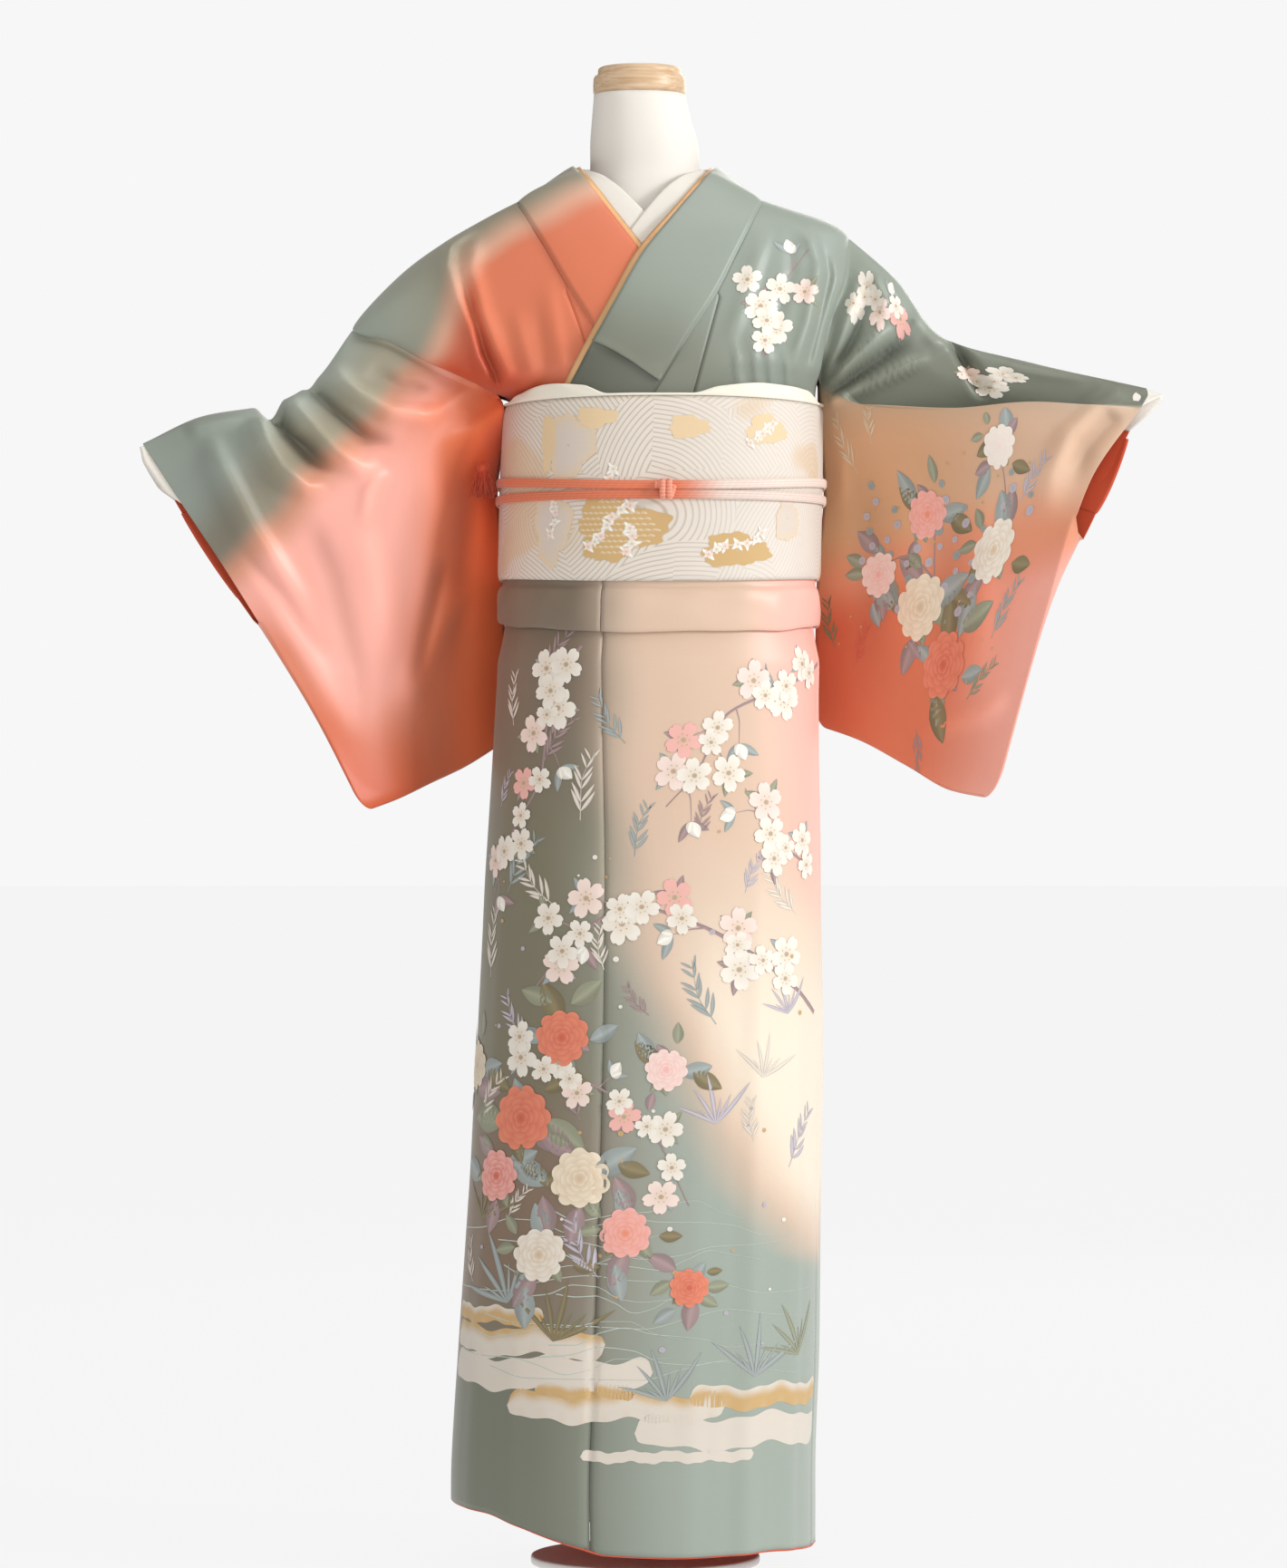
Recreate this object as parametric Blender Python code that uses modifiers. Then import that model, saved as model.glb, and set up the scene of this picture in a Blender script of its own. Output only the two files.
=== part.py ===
# Homongi kimono with its obi set on a limbless dress form. Metres, +Z up, the front faces -Y.
# The wearer's right is at -X. Every cloth is an open sheet given its wall by Solidify.
import math

import bmesh
import bpy
import numpy as np

COLLECTION = "homongi_kimono_on_dress_form"

# Walls and gaps
CLOTH = 0.0012
OBI_WALL = 0.0036
DRUM_WALL = 0.0030
TAIL_WALL = 0.0025
SEAM = 0.0003
LAYER = 0.0019  # pitch from one layer of cloth to the next
LAP = 0.0080  # how far the left front lies outside the right front where both collars cross
LAP_LOW = 0.0019  # how much less it lies outside by the sash
LAP_HEIGHTS = (1.440, 1.385, 1.262, 1.235)

# The dress form
FORM_FOOT = 0.700
POLE_RADIUS = 0.016
POLE_X = 0.006
BASE_RADIUS = 0.120
BASE_HEIGHT = 0.009
BASE_EDGE = 0.002

# Roundness of the plan sections: 2 is an ellipse, more is boxier
PLAN_POWER = 2.4

# Seams round the skirt and sash, as degrees from the front, positive to the wearer's left
LAP_EDGE = -82.0
LEFT_SIDE = 80.0
CENTRE_BACK = 180.0
RIGHT_SIDE = 280.0
UNDER_SEAM = 345.0
UNDER_EDGE = 392.0
LAP_IN = 0.006  # how far the inner end of the skirt lies inside the outer one
LAP_FROM = 100.0

OBI_FOOT = 1.024
OBI_TOP = 1.2144
OBI_SIDE_RISE = 0.005
OBI_SIDE_DROP = 0.005
AROUND = 48

SKIRT_SHARES = (0, 0.2, 0.4, 0.6, 0.8, 1)  # rows of a skirt panel, as shares of the way from hem to waist
SKIRT_WAIST = (0.940, 0.962, 0.985, 1.060)  # and its rows above that

CORD_HEIGHT = 0.0080
CORD_DEPTH = 0.0038
KNOT_X = 0.0216
KNOT_Z = 1.1176
KNOT_HALVES = (0.0125, 0.0052, 0.0088)
KNOT_ANGLE = 1.5  # where round the trunk the knot lies
KNOT_BEFORE = 0.0012  # and how far in front of the cords
TASSEL_AT = (-0.1695, -0.030, 1.146)
TASSEL_HEAD = 0.0065
TASSEL = {"length": 0.026, "uneven": 0.004, "turn": 2.4, "spread": 0.3, "tip": 0.45, "lowest": -0.15}

DRUM_CENTRE = 0.016
DRUM_HALF = 0.150
DRUM_CORE = (0.016, 0.150, 1.12)

UNDERARM_ROW, SHOULDER_ROW, NECK_ROW = 1.5, 6.0, 9.0
BODY_ROWS = (0, 1, 1.5, 2.2, 3, 3.8, 4.8, 6, 6.5, 7, 7.6, 8.2, 8.6, 8.93)
BODY_COLUMNS = 9
INNER_LIMIT = 0.975  # a ring of the upper body starts no further out than this share of its width


def table(names, *rows):
    """A short table read by the names of its columns."""
    return {name: np.array([row[i] for row in rows], float) for i, name in enumerate(names.split())}


# The visible surface from hem to sash, as level sections
TRUNK = table(
    "height centre_x half_width half_depth",
    (0.000, -0.014, 0.1900, 0.1460),
    (0.080, -0.014, 0.1900, 0.1460),
    (0.232, -0.008, 0.1880, 0.1430),
    (0.365, -0.003, 0.1840, 0.1410),
    (0.564, 0.004, 0.1800, 0.1385),
    (0.726, 0.008, 0.1760, 0.1370),
    (0.849, 0.011, 0.1715, 0.1370),
    (0.950, 0.0135, 0.1690, 0.1375),
    (1.029, 0.0145, 0.1690, 0.1380),
    (1.120, 0.0165, 0.1690, 0.1380),
    (1.2144, 0.0190, 0.1672, 0.1360),
)

# How far the skirt stands inside that surface where the fold hangs over it
SKIRT_INSET = table(
    "height inset",
    (0.000, 0.0),
    (0.940, 0.0),
    (0.958, 0.0032),
    (0.970, 0.0056),
    (0.985, 0.0076),
    (1.060, 0.0100),
)

# Height of the hem round the skirt
HEM = table(
    "angle height",
    (-82, 0.0700),
    (-50, 0.0660),
    (-34, 0.0545),
    (-21, 0.0420),
    (-12, 0.0335),
    (-6, 0.0275),
    (10, 0.0242),
    (31, 0.0258),
    (44, 0.0270),
    (70, 0.0240),
    (95, 0.0210),
    (150, 0.0220),
    (200, 0.0270),
    (225, 0.0380),
    (250, 0.0600),
    (275, 0.0820),
    (300, 0.0980),
    (345, 0.1080),
    (395, 0.1120),
)

# The seam between okumi and front panel, as an angle at each height
OKUMI_SEAM = table("height angle", (0.03, -9.8), (0.36, -10.8), (0.70, -12.5), (0.97, -16.6), (1.06, -17.0))

# Soft upright folds of the skirt, raised outwards, each from its top to the hem
SKIRT_FOLDS = table(
    "angle half_span depth top",
    (34, 8, 0.0035, 0.80),
    (55, 9, 0.0030, 0.70),
    (96, 10, 0.0040, 0.74),
    (122, 10, 0.0035, 0.66),
    (150, 11, 0.0040, 0.72),
    (205, 12, 0.0040, 0.70),
    (238, 11, 0.0035, 0.62),
)

# The upper body as rings, each from the front centre over the edge to the centre back. Rows 0 to 6 end on
# the armhole seam, rows 6 to 10 meet on the ridge of the shoulder, and row 9 is the collar's outer seam.
UPPER = table(
    "front_z front_y back_z back_y right_x right_z right_front right_back left_x left_z left_front left_back",
    (1.0640, -0.1180, 1.064, 0.1220, -0.1455, 1.0640, -0.002, 0.002, 0.1785, 1.0640, -0.002, 0.002),
    (1.2345, -0.1175, 1.228, 0.1235, -0.1405, 1.2125, -0.006, 0.006, 0.1775, 1.2160, -0.010, 0.010),
    (1.2620, -0.1130, 1.255, 0.1260, -0.1660, 1.2260, -0.046, 0.048, 0.1830, 1.2500, -0.045, 0.045),
    (1.3020, -0.1050, 1.295, 0.1275, -0.1882, 1.2365, -0.056, 0.060, 0.1894, 1.2852, -0.048, 0.050),
    (1.3380, -0.0950, 1.330, 0.1275, -0.2276, 1.2543, -0.058, 0.056, 0.1980, 1.3129, -0.043, 0.046),
    (1.3680, -0.0850, 1.360, 0.1265, -0.2657, 1.2748, -0.050, 0.040, 0.2078, 1.3411, -0.033, 0.034),
    (1.3960, -0.0740, 1.388, 0.1250, -0.3053, 1.2905, -0.028, -0.028, 0.2124, 1.3869, -0.006, -0.006),
    (1.4240, -0.0620, 1.406, 0.1220, -0.2486, 1.3549, -0.008, -0.008, 0.1739, 1.4099, 0.002, 0.002),
    (1.4480, -0.0500, 1.420, 0.1195, -0.1911, 1.3930, 0.004, 0.004, 0.1427, 1.4165, 0.007, 0.007),
    (1.4640, -0.0350, 1.430, 0.1180, -0.1361, 1.4186, 0.010, 0.010, 0.1247, 1.4205, 0.010, 0.010),
    (1.4720, -0.0200, 1.440, 0.1080, -0.0752, 1.4625, 0.012, 0.012, 0.0742, 1.4616, 0.012, 0.012),
)

# The collar's edges from the shoulder ridge down each front
COLLAR_RIGHT = table(
    "inner_x inner_z outer_x outer_z",
    (-0.0752, 1.4625, -0.1361, 1.4186),
    (-0.0634, 1.4460, -0.1269, 1.4040),
    (-0.0395, 1.4132, -0.1082, 1.3727),
    (-0.0037, 1.3650, -0.0834, 1.3285),
    (0.0240, 1.3250, -0.0523, 1.2785),
    (0.0540, 1.2730, -0.0205, 1.2265),
    (0.0853, 1.2140, 0.0130, 1.1700),
)
COLLAR_LEFT = table(
    "inner_x inner_z outer_x outer_z",
    (0.0742, 1.4616, 0.1247, 1.4205),
    (0.0530, 1.4346, 0.1146, 1.3985),
    (0.0282, 1.4037, 0.0970, 1.3614),
    (-0.0037, 1.3632, 0.0777, 1.3210),
    (-0.0290, 1.3176, 0.0486, 1.2756),
    (-0.0560, 1.2680, 0.0300, 1.2440),
    (-0.0866, 1.2100, 0.0050, 1.2030),
)
# The same for the white inner collar, whose outer edge runs under the kimono's collar
INNER_RIGHT = table(
    "inner_x inner_z outer_x outer_z",
    (-0.0672, 1.4650, -0.0830, 1.4570),
    (-0.0500, 1.4580, -0.0710, 1.4405),
    (-0.0302, 1.4427, -0.0520, 1.4185),
    (-0.0100, 1.4225, -0.0360, 1.3965),
    (0.0080, 1.4025, -0.0200, 1.3750),
    (0.0263, 1.3817, -0.0020, 1.3510),
)
INNER_LEFT = table(
    "inner_x inner_z outer_x outer_z",
    (0.0672, 1.4645, 0.0820, 1.4560),
    (0.0450, 1.4570, 0.0670, 1.4385),
    (0.0198, 1.4369, 0.0450, 1.4110),
    (0.0010, 1.4150, 0.0270, 1.3870),
    (-0.0150, 1.3934, 0.0120, 1.3680),
    (-0.0412, 1.3545, -0.0120, 1.3290),
)
RIDGE_Y = 0.011
# The same collars round the back of the neck: the ring through each edge
NECK_RINGS = {
    "collar": {"side": 0.0747, "side_y": 0.012, "back_y": 0.098, "side_z": 1.4620, "back_z": 1.4700},
    "inner_top": {"side": 0.0672, "side_y": 0.012, "back_y": 0.0950, "side_z": 1.4648, "back_z": 1.4755},
    "inner_foot": {"side": 0.0825, "side_y": 0.012, "back_y": 0.1080, "side_z": 1.4565, "back_z": 1.4500},
}
# The rows of a collar from the ridge down, and where the over-collar ends at its inner and outer edge
COLLAR_ROWS = (0, 0.10, 0.30, 0.60, 1.0, 1.5, 2.1, 2.7, 3.4, 4.1, 4.7, 5.3, 6.0)
NAPE = (0.0, 0.02, 1.40)
COLLAR_EDGE = 0.96
OVER_EDGE = 0.975
OVER_BEND = 1.5  # how the over-collar's end curves from its inner to its outer edge
OVER_LAST = 0.2  # the last whole row lies at least this far above that end
GOLD_ACROSS = (-0.07, 0.025, 0.12)
INNER_SHARE = 5 / 6
INNER_DEPTH = (3.1, 2.1)  # layers under the collar on the right front and on the left
OVER_END_RIGHT = (3.40, 4.30)
OVER_END_LEFT = (4.95, 5.40)

# The seam of each okumi on the chest, from its point on the collar down
CHEST_SEAM_RIGHT = table(
    "height x", (1.0640, -0.0040), (1.1300, -0.0150), (1.2155, -0.0419), (1.2640, -0.0597), (1.3285, -0.0834)
)
CHEST_SEAM_LEFT = table("height x", (1.0640, 0.0100), (1.1000, 0.0177), (1.2260, 0.0522), (1.3210, 0.0777))
CHEST_OKUMI_FOOT = 1.190
CHEST_OKUMI_POINT = 0.018  # how far below its seam's top the wedge ends

# The sleeves: rows from the shoulder fold down, with four places from body to cuff
SLEEVE_COLUMNS = "down x1 y1 z1 x2 y2 z2 x3 y3 z3 x4 y4 z4"
SLEEVE_RIGHT_FRONT = table(
    SLEEVE_COLUMNS,
    (0.00, -0.346, -0.045, 1.234, -0.389, -0.062, 1.210, -0.456, -0.080, 1.197, -0.518, -0.100, 1.167),
    (0.17, -0.290, -0.088, 1.207, -0.351, -0.100, 1.174, -0.416, -0.108, 1.141, -0.480, -0.104, 1.108),
    (0.38, -0.220, -0.078, 1.168, -0.290, -0.094, 1.123, -0.360, -0.102, 1.080, -0.433, -0.100, 1.037),
    (0.60, -0.209, -0.004, 1.037, -0.266, -0.050, 1.005, -0.322, -0.080, 0.974, -0.378, -0.090, 0.948),
    (0.80, -0.199, 0.026, 0.933, -0.247, -0.022, 0.912, -0.293, -0.060, 0.890, -0.338, -0.080, 0.880),
    (1.00, -0.190, 0.038, 0.834, -0.224, -0.004, 0.817, -0.258, -0.042, 0.800, -0.292, -0.068, 0.787),
)
SLEEVE_RIGHT_BACK = table(
    SLEEVE_COLUMNS,
    (0.00, -0.346, -0.045, 1.234, -0.389, -0.062, 1.210, -0.456, -0.080, 1.197, -0.518, -0.100, 1.167),
    (0.17, -0.298, 0.000, 1.214, -0.361, -0.028, 1.180, -0.424, -0.052, 1.147, -0.490, -0.066, 1.113),
    (0.38, -0.227, 0.012, 1.173, -0.297, -0.022, 1.126, -0.369, -0.050, 1.083, -0.445, -0.068, 1.041),
    (0.60, -0.212, 0.034, 1.039, -0.269, -0.010, 1.007, -0.326, -0.050, 0.975, -0.381, -0.083, 0.949),
    (0.80, -0.201, 0.050, 0.934, -0.249, 0.006, 0.912, -0.296, -0.038, 0.891, -0.340, -0.073, 0.880),
    (1.00, -0.190, 0.038, 0.834, -0.224, -0.004, 0.817, -0.258, -0.042, 0.800, -0.292, -0.068, 0.787),
)
SLEEVE_LEFT_FRONT = table(
    SLEEVE_COLUMNS,
    (0.00, 0.261, -0.030, 1.343, 0.310, -0.040, 1.281, 0.403, -0.048, 1.254, 0.520, -0.058, 1.227),
    (0.12, 0.252, -0.056, 1.295, 0.312, -0.056, 1.242, 0.404, -0.058, 1.228, 0.521, -0.066, 1.221),
    (0.25, 0.236, -0.044, 1.203, 0.319, -0.044, 1.192, 0.404, -0.056, 1.202, 0.517, -0.074, 1.213),
    (0.33, 0.233, -0.070, 1.209, 0.317, -0.082, 1.205, 0.401, -0.088, 1.211, 0.511, -0.080, 1.203),
    (0.50, 0.257, 0.004, 1.117, 0.327, -0.038, 1.117, 0.394, -0.068, 1.129, 0.460, -0.086, 1.130),
    (0.75, 0.242, 0.026, 0.983, 0.301, -0.012, 0.974, 0.358, -0.048, 0.973, 0.415, -0.078, 0.988),
    (1.00, 0.226, 0.040, 0.862, 0.274, 0.002, 0.835, 0.319, -0.034, 0.809, 0.363, -0.060, 0.800),
)
SLEEVE_LEFT_BACK = table(
    SLEEVE_COLUMNS,
    (0.00, 0.261, -0.030, 1.343, 0.310, -0.040, 1.281, 0.403, -0.048, 1.254, 0.520, -0.058, 1.227),
    (0.12, 0.255, 0.018, 1.305, 0.318, 0.004, 1.253, 0.406, -0.018, 1.237, 0.523, -0.046, 1.222),
    (0.33, 0.254, 0.040, 1.217, 0.326, 0.020, 1.200, 0.408, -0.012, 1.198, 0.500, -0.050, 1.175),
    (0.50, 0.257, 0.046, 1.119, 0.329, 0.012, 1.120, 0.399, -0.024, 1.124, 0.470, -0.058, 1.101),
    (0.75, 0.243, 0.050, 0.984, 0.303, 0.014, 0.975, 0.360, -0.030, 0.974, 0.416, -0.071, 0.988),
    (1.00, 0.226, 0.040, 0.862, 0.274, 0.002, 0.835, 0.319, -0.034, 0.809, 0.363, -0.060, 0.800),
)
# The free inner edge below the armhole
FURI_RIGHT = table(
    "down x front_y back_y z",
    (0.405, -0.1590, -0.032, 0.042, 1.207),
    (0.46, -0.163, 0.014, 0.054, 1.176),
    (0.56, -0.1592, 0.050, 0.078, 1.125),
    (0.61, -0.1560, 0.055, 0.081, 1.098),
    (0.70, -0.1510, 0.060, 0.086, 1.050),
    (0.85, -0.150, 0.070, 0.090, 0.960),
    (1.00, -0.150, 0.080, 0.080, 0.860),
)
FURI_LEFT = table(
    "down x front_y back_y z",
    (0.345, 0.1895, -0.010, 0.042, 1.208),
    (0.41, 0.1920, 0.022, 0.054, 1.168),
    (0.50, 0.1918, 0.048, 0.074, 1.120),
    (0.55, 0.1890, 0.053, 0.078, 1.093),
    (0.65, 0.1830, 0.060, 0.084, 1.040),
    (0.85, 0.1810, 0.068, 0.086, 0.950),
    (1.00, 0.1800, 0.078, 0.078, 0.879),
)
SLEEVES = {
    "right": {
        "front": SLEEVE_RIGHT_FRONT,
        "back": SLEEVE_RIGHT_BACK,
        "furi": FURI_RIGHT,
        "armhole": 0.38,
        "beside": (-0.0013, -0.0024),
        "cuff": 0.52,
        "down": (0, 0.006, 0.03, 0.07, 0.12, 0.18, 0.25, 0.32, 0.38)
        + (0.45, 0.52, 0.61, 0.71, 0.80, 0.89, 0.96, 0.99, 1),
    },
    "left": {
        "front": SLEEVE_LEFT_FRONT,
        "back": SLEEVE_LEFT_BACK,
        "furi": FURI_LEFT,
        "armhole": 0.30,
        "beside": (0.0018, -0.0005),
        "cuff": 0.58,
        "down": (0, 0.006, 0.03, 0.07, 0.12, 0.18, 0.22, 0.25, 0.28, 0.305, 0.33)
        + (0.36, 0.42, 0.50, 0.58, 0.67, 0.77, 0.88, 0.96, 0.99, 1),
    },
}
SLEEVE_ROOM = 0.0056
CUFF_INSET = 0.0027
CUFF_SHOWS = {"right": 0.012, "left": 0.012}
LINING_SHOWS = {"right": 0.010, "left": 0.018}
SLEEVE_ALONG = (0, 0.07, 0.16, 0.27, 0.38, 0.49, 0.62, 0.77, 0.92, 1)
# Pinched troughs across the right sleeve's shoulder fold: place along, half width, depth, and how far down
SLEEVE_TROUGHS = table("along half_span depth down", (0.50, 0.075, 0.016, 0.22), (0.27, 0.06, 0.004, 0.16))

# The obi-age: height of its roll above the rim of the obi
OBIAGE = table(
    "angle rise",
    (-180, 0.0060),
    (-110, 0.0030),
    (-76, 0.0028),
    (-62, 0.0090),
    (-42, 0.0155),
    (-26, 0.0122),
    (-16, 0.0026),
    (7, 0.0026),
    (16, 0.0100),
    (35, 0.0155),
    (60, 0.0130),
    (76, 0.0028),
    (110, 0.0030),
    (180, 0.0060),
)
OBIAGE_IN = 0.0038

# The folded stretch at the hips: how far its foot hangs
FOLD_FOOT = table(
    "angle height",
    (-90, 0.986),
    (-45, 0.976),
    (0, 0.972),
    (45, 0.975),
    (90, 0.981),
    (180, 0.978),
    (270, 0.986),
)
# Its section: out from the trunk's surface, and up as a share of the way from its foot to the obi's foot
FOLD_SECTION = table(
    "out up",
    (-0.0052, 1.60),
    (-0.0052, 0.93),
    (-0.0018, 0.78),
    (0.0000, 0.58),
    (0.0004, 0.26),
    (0.0000, 0.07),
    (-0.0016, 0.00),
    (-0.0034, 0.07),
    (-0.0046, 0.26),
    (-0.0068, 0.84),
)

# The drum at the back, from its top front edge over the pillow down to the turned-up foot
DRUM = table(
    "y z",
    (0.1395, 1.200),
    (0.1400, 1.232),
    (0.1490, 1.260),
    (0.1670, 1.273),
    (0.1880, 1.266),
    (0.2020, 1.240),
    (0.2100, 1.190),
    (0.2130, 1.120),
    (0.2110, 1.055),
    (0.2050, 1.018),
    (0.1910, 0.999),
    (0.1730, 0.998),
    (0.1630, 1.012),
    (0.1610, 1.052),
)
TAIL = table("y z", (0.1540, 1.050), (0.1550, 1.000), (0.1530, 0.960), (0.1500, 0.922))
HAND = {"from": 112.5, "to": 247.5, "foot": 1.072, "top": 1.166, "out": 0.0044}

# The dress form's level sections
FORM = table(
    "height centre_x centre_y half_width half_depth",
    (0.700, 0.006, 0.004, 0.1240, 0.090),
    (0.760, 0.007, 0.004, 0.1370, 0.100),
    (0.900, 0.009, 0.004, 0.1450, 0.108),
    (1.000, 0.011, 0.004, 0.1400, 0.105),
    (1.100, 0.012, 0.004, 0.1340, 0.103),
    (1.2144, 0.012, 0.006, 0.1350, 0.106),
    (1.300, 0.010, 0.010, 0.1380, 0.100),
    (1.350, 0.008, 0.012, 0.1400, 0.086),
    (1.380, 0.006, 0.014, 0.1330, 0.076),
    (1.400, 0.004, 0.016, 0.1140, 0.069),
    (1.420, 0.002, 0.018, 0.0900, 0.064),
    (1.440, 0.001, 0.020, 0.0680, 0.0600),
    (1.462, 0.000, 0.020, 0.0580, 0.0560),
    (1.486, -0.001, 0.019, 0.0570, 0.0550),
    (1.512, -0.004, 0.016, 0.0523, 0.0520),
    (1.5395, -0.006, 0.013, 0.0480, 0.0480),
)
# The wooden cap: a wide ring with a smaller disc on it
CAP = table(
    "radius height",
    (0.0000, 0.0003),
    (0.0465, 0.0003),
    (0.0485, 0.0023),
    (0.0488, 0.0110),
    (0.0480, 0.0180),
    (0.0455, 0.0205),
    (0.0440, 0.0210),
    (0.0436, 0.0265),
    (0.0415, 0.0285),
    (0.0000, 0.0290),
)


# Curves and surfaces
def smooth(stations, values, at):
    """Cubic that never overshoots: h00 v0 + h10 d m0 + h01 v1 + h11 d m1, m the slopes' harmonic mean."""
    at = np.clip(np.asarray(at, float), stations[0], stations[-1])
    low = np.clip(np.searchsorted(stations, at, side="right") - 1, 0, len(stations) - 2)
    step = stations[low + 1] - stations[low]
    t = (at - stations[low]) / step
    rise = np.diff(values) / np.diff(stations)
    product = rise[1:] * rise[:-1]
    total = np.where(product > 0, rise[1:] + rise[:-1], 1.0)
    slope = np.concatenate([rise[:1], np.where(product > 0, 2 * product / total, 0.0), rise[-1:]])
    start = (2 * t**3 - 3 * t**2 + 1) * values[low] + (t**3 - 2 * t**2 + t) * step * slope[low]
    end = (3 * t**2 - 2 * t**3) * values[low + 1] + (t**3 - t**2) * step * slope[low + 1]
    return start + end


def step_up(value, low, high):
    """Rises from 0 at low to 1 at high as 3t^2 - 2t^3."""
    t = np.clip((value - low) / (high - low), 0, 1)
    return t * t * (3 - 2 * t)


def rounded(angle, power=PLAN_POWER):
    """The unit superellipse: |s|^p + |c|^p = 1, at this angle from the front."""
    s, c = np.sin(angle), np.cos(angle)
    return np.sign(s) * np.abs(s) ** (2 / power), np.sign(c) * np.abs(c) ** (2 / power)


def trunk(angle, height, out=0.0):
    """Points of the visible surface, degrees from the front: (cx + (a + out) s, -(b + out) c, height)."""
    angle, height, out = np.broadcast_arrays(np.asarray(angle, float), height, out)
    s, c = rounded(np.radians(angle))
    centre = smooth(TRUNK["height"], TRUNK["centre_x"], height)
    width = smooth(TRUNK["height"], TRUNK["half_width"], height)
    depth = smooth(TRUNK["height"], TRUNK["half_depth"], height)
    return np.stack([centre + (width + out) * s, -(depth + out) * c, height], axis=-1)


def skirt_out(angle, height):
    """The skirt's distance from the trunk: -inset - lap + folds, each fold depth * cos^2 across its span."""
    out = -smooth(SKIRT_INSET["height"], SKIRT_INSET["inset"], height)
    out = out - LAP_IN * step_up(angle, LAP_FROM, RIGHT_SIDE)
    for place, span, depth, top in zip(*SKIRT_FOLDS.values()):
        across = np.clip((angle - place) / span, -1, 1)
        out = out + depth * np.cos(across * math.pi / 2) ** 2 * step_up(-height, -top, -top + 0.25)
    return out


def obi_foot(angle):
    return OBI_FOOT + OBI_SIDE_RISE * np.sin(np.radians(angle)) ** 2


def obi_top(angle):
    return OBI_TOP - OBI_SIDE_DROP * np.sin(np.radians(angle)) ** 2


def edge_of(row, side, face="front"):
    """The edge of an upper ring: the armhole seam below the shoulder row, the ridge above it."""
    rows = np.arange(len(UPPER["front_z"]), dtype=float)
    x, z = smooth(rows, UPPER[side + "_x"], row), smooth(rows, UPPER[side + "_z"], row)
    y = smooth(rows, UPPER[side + "_front"], row)
    if face == "back":
        y = np.where(np.asarray(row) < SHOULDER_ROW, smooth(rows[:7], UPPER[side + "_back"][:7], row), y)
    return np.stack([x, y, z], axis=-1)


def upper(row, share, side, face="front"):
    """A point of the upper body: x = X s, y = Ye + (Yc - Ye) (1 - s^p)^(1/p), z = Zc + (Ze - Zc) s^2."""
    row, share = np.broadcast_arrays(np.asarray(row, float), np.asarray(share, float))
    rows = np.arange(len(UPPER["front_z"]), dtype=float)
    edge = edge_of(row, side, face)
    centre_y = smooth(rows, UPPER[face + "_y"], row)
    centre_z = smooth(rows, UPPER[face + "_z"], row)
    hollow = np.clip(1 - np.abs(share) ** PLAN_POWER, 0, 1) ** (1 / PLAN_POWER)
    x = edge[..., 0] * share
    y = edge[..., 1] + (centre_y - edge[..., 1]) * hollow
    z = centre_z + (edge[..., 2] - centre_z) * share**2
    return np.stack([x, y, z], axis=-1)


def lap_shift(z):
    """How far forward the left front lies at this height."""
    start, full, less, least = LAP_HEIGHTS
    return LAP * step_up(-z, -start, -full) - LAP_LOW * step_up(-z, -less, -least)


def front_at(x, z):
    """The upper body's front surface over (x, z): the ring whose height at x is z."""
    x, z = np.broadcast_arrays(np.asarray(x, float), np.asarray(z, float))
    rows = np.linspace(0, 10, 801)
    y = np.empty(x.shape)
    for side, chosen in (("right", x < 0), ("left", x >= 0)):
        if not chosen.any():
            continue
        edge = edge_of(rows, side)
        share = x[chosen][:, None] / edge[:, 0]
        centre = smooth(np.arange(11.0), UPPER["front_z"], rows)
        height = centre + (edge[:, 2] - centre) * np.minimum(share, 1) ** 2
        height = np.where((share > 1) & (rows < SHOULDER_ROW), -1.0, height)
        past = (height >= z[chosen][:, None]) | ((share > 1) & (rows > SHOULDER_ROW))
        found = np.where(past.any(axis=1), past.argmax(axis=1), len(rows) - 1)
        row = rows[found]
        s = np.minimum(x[chosen] / edge_of(row, side)[:, 0], 1)
        y[chosen] = upper(row, s, side)[:, 1]
    return np.stack([x, y, z], axis=-1)


def normals_of(grid):
    """Unit normals of a grid of points, from the cross product of its two directions."""
    across = np.cross(np.gradient(grid, axis=0), np.gradient(grid, axis=1))
    return across / np.maximum(np.linalg.norm(across, axis=-1, keepdims=True), 1e-12)


def moved_out(grid, distance, inside):
    """The grid moved along its normals, away from the point inside."""
    normal = normals_of(grid)
    side = np.sign((normal * (grid - np.asarray(inside))).sum())
    return grid + normal * side * np.asarray(distance)[..., None]


# Meshes
def material(name, colour, roughness, metallic=0.0):
    made = bpy.data.materials.new(name)
    made.use_nodes = True
    surface = made.node_tree.nodes["Principled BSDF"]
    surface.inputs["Base Color"].default_value = (*colour, 1)
    surface.inputs["Roughness"].default_value = roughness
    surface.inputs["Metallic"].default_value = metallic
    return made


def object_from(name, bm, finish):
    mesh = bpy.data.meshes.new(name)
    bm.to_mesh(mesh)
    bm.free()
    made = bpy.data.objects.new(name, mesh)
    made.data.materials.append(finish)
    bpy.data.collections[COLLECTION].objects.link(made)
    return made


def add_grid(bm, grid, wrap=False):
    """Vertices and quads of a grid of points, closed round its columns when wrap is set."""
    count, width = grid.shape[:2]
    points = [[bm.verts.new(point) for point in row] for row in grid]
    for i in range(count - 1):
        for j in range(width if wrap else width - 1):
            k = (j + 1) % width
            bm.faces.new((points[i][j], points[i][k], points[i + 1][k], points[i + 1][j]))
    return points


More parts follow.
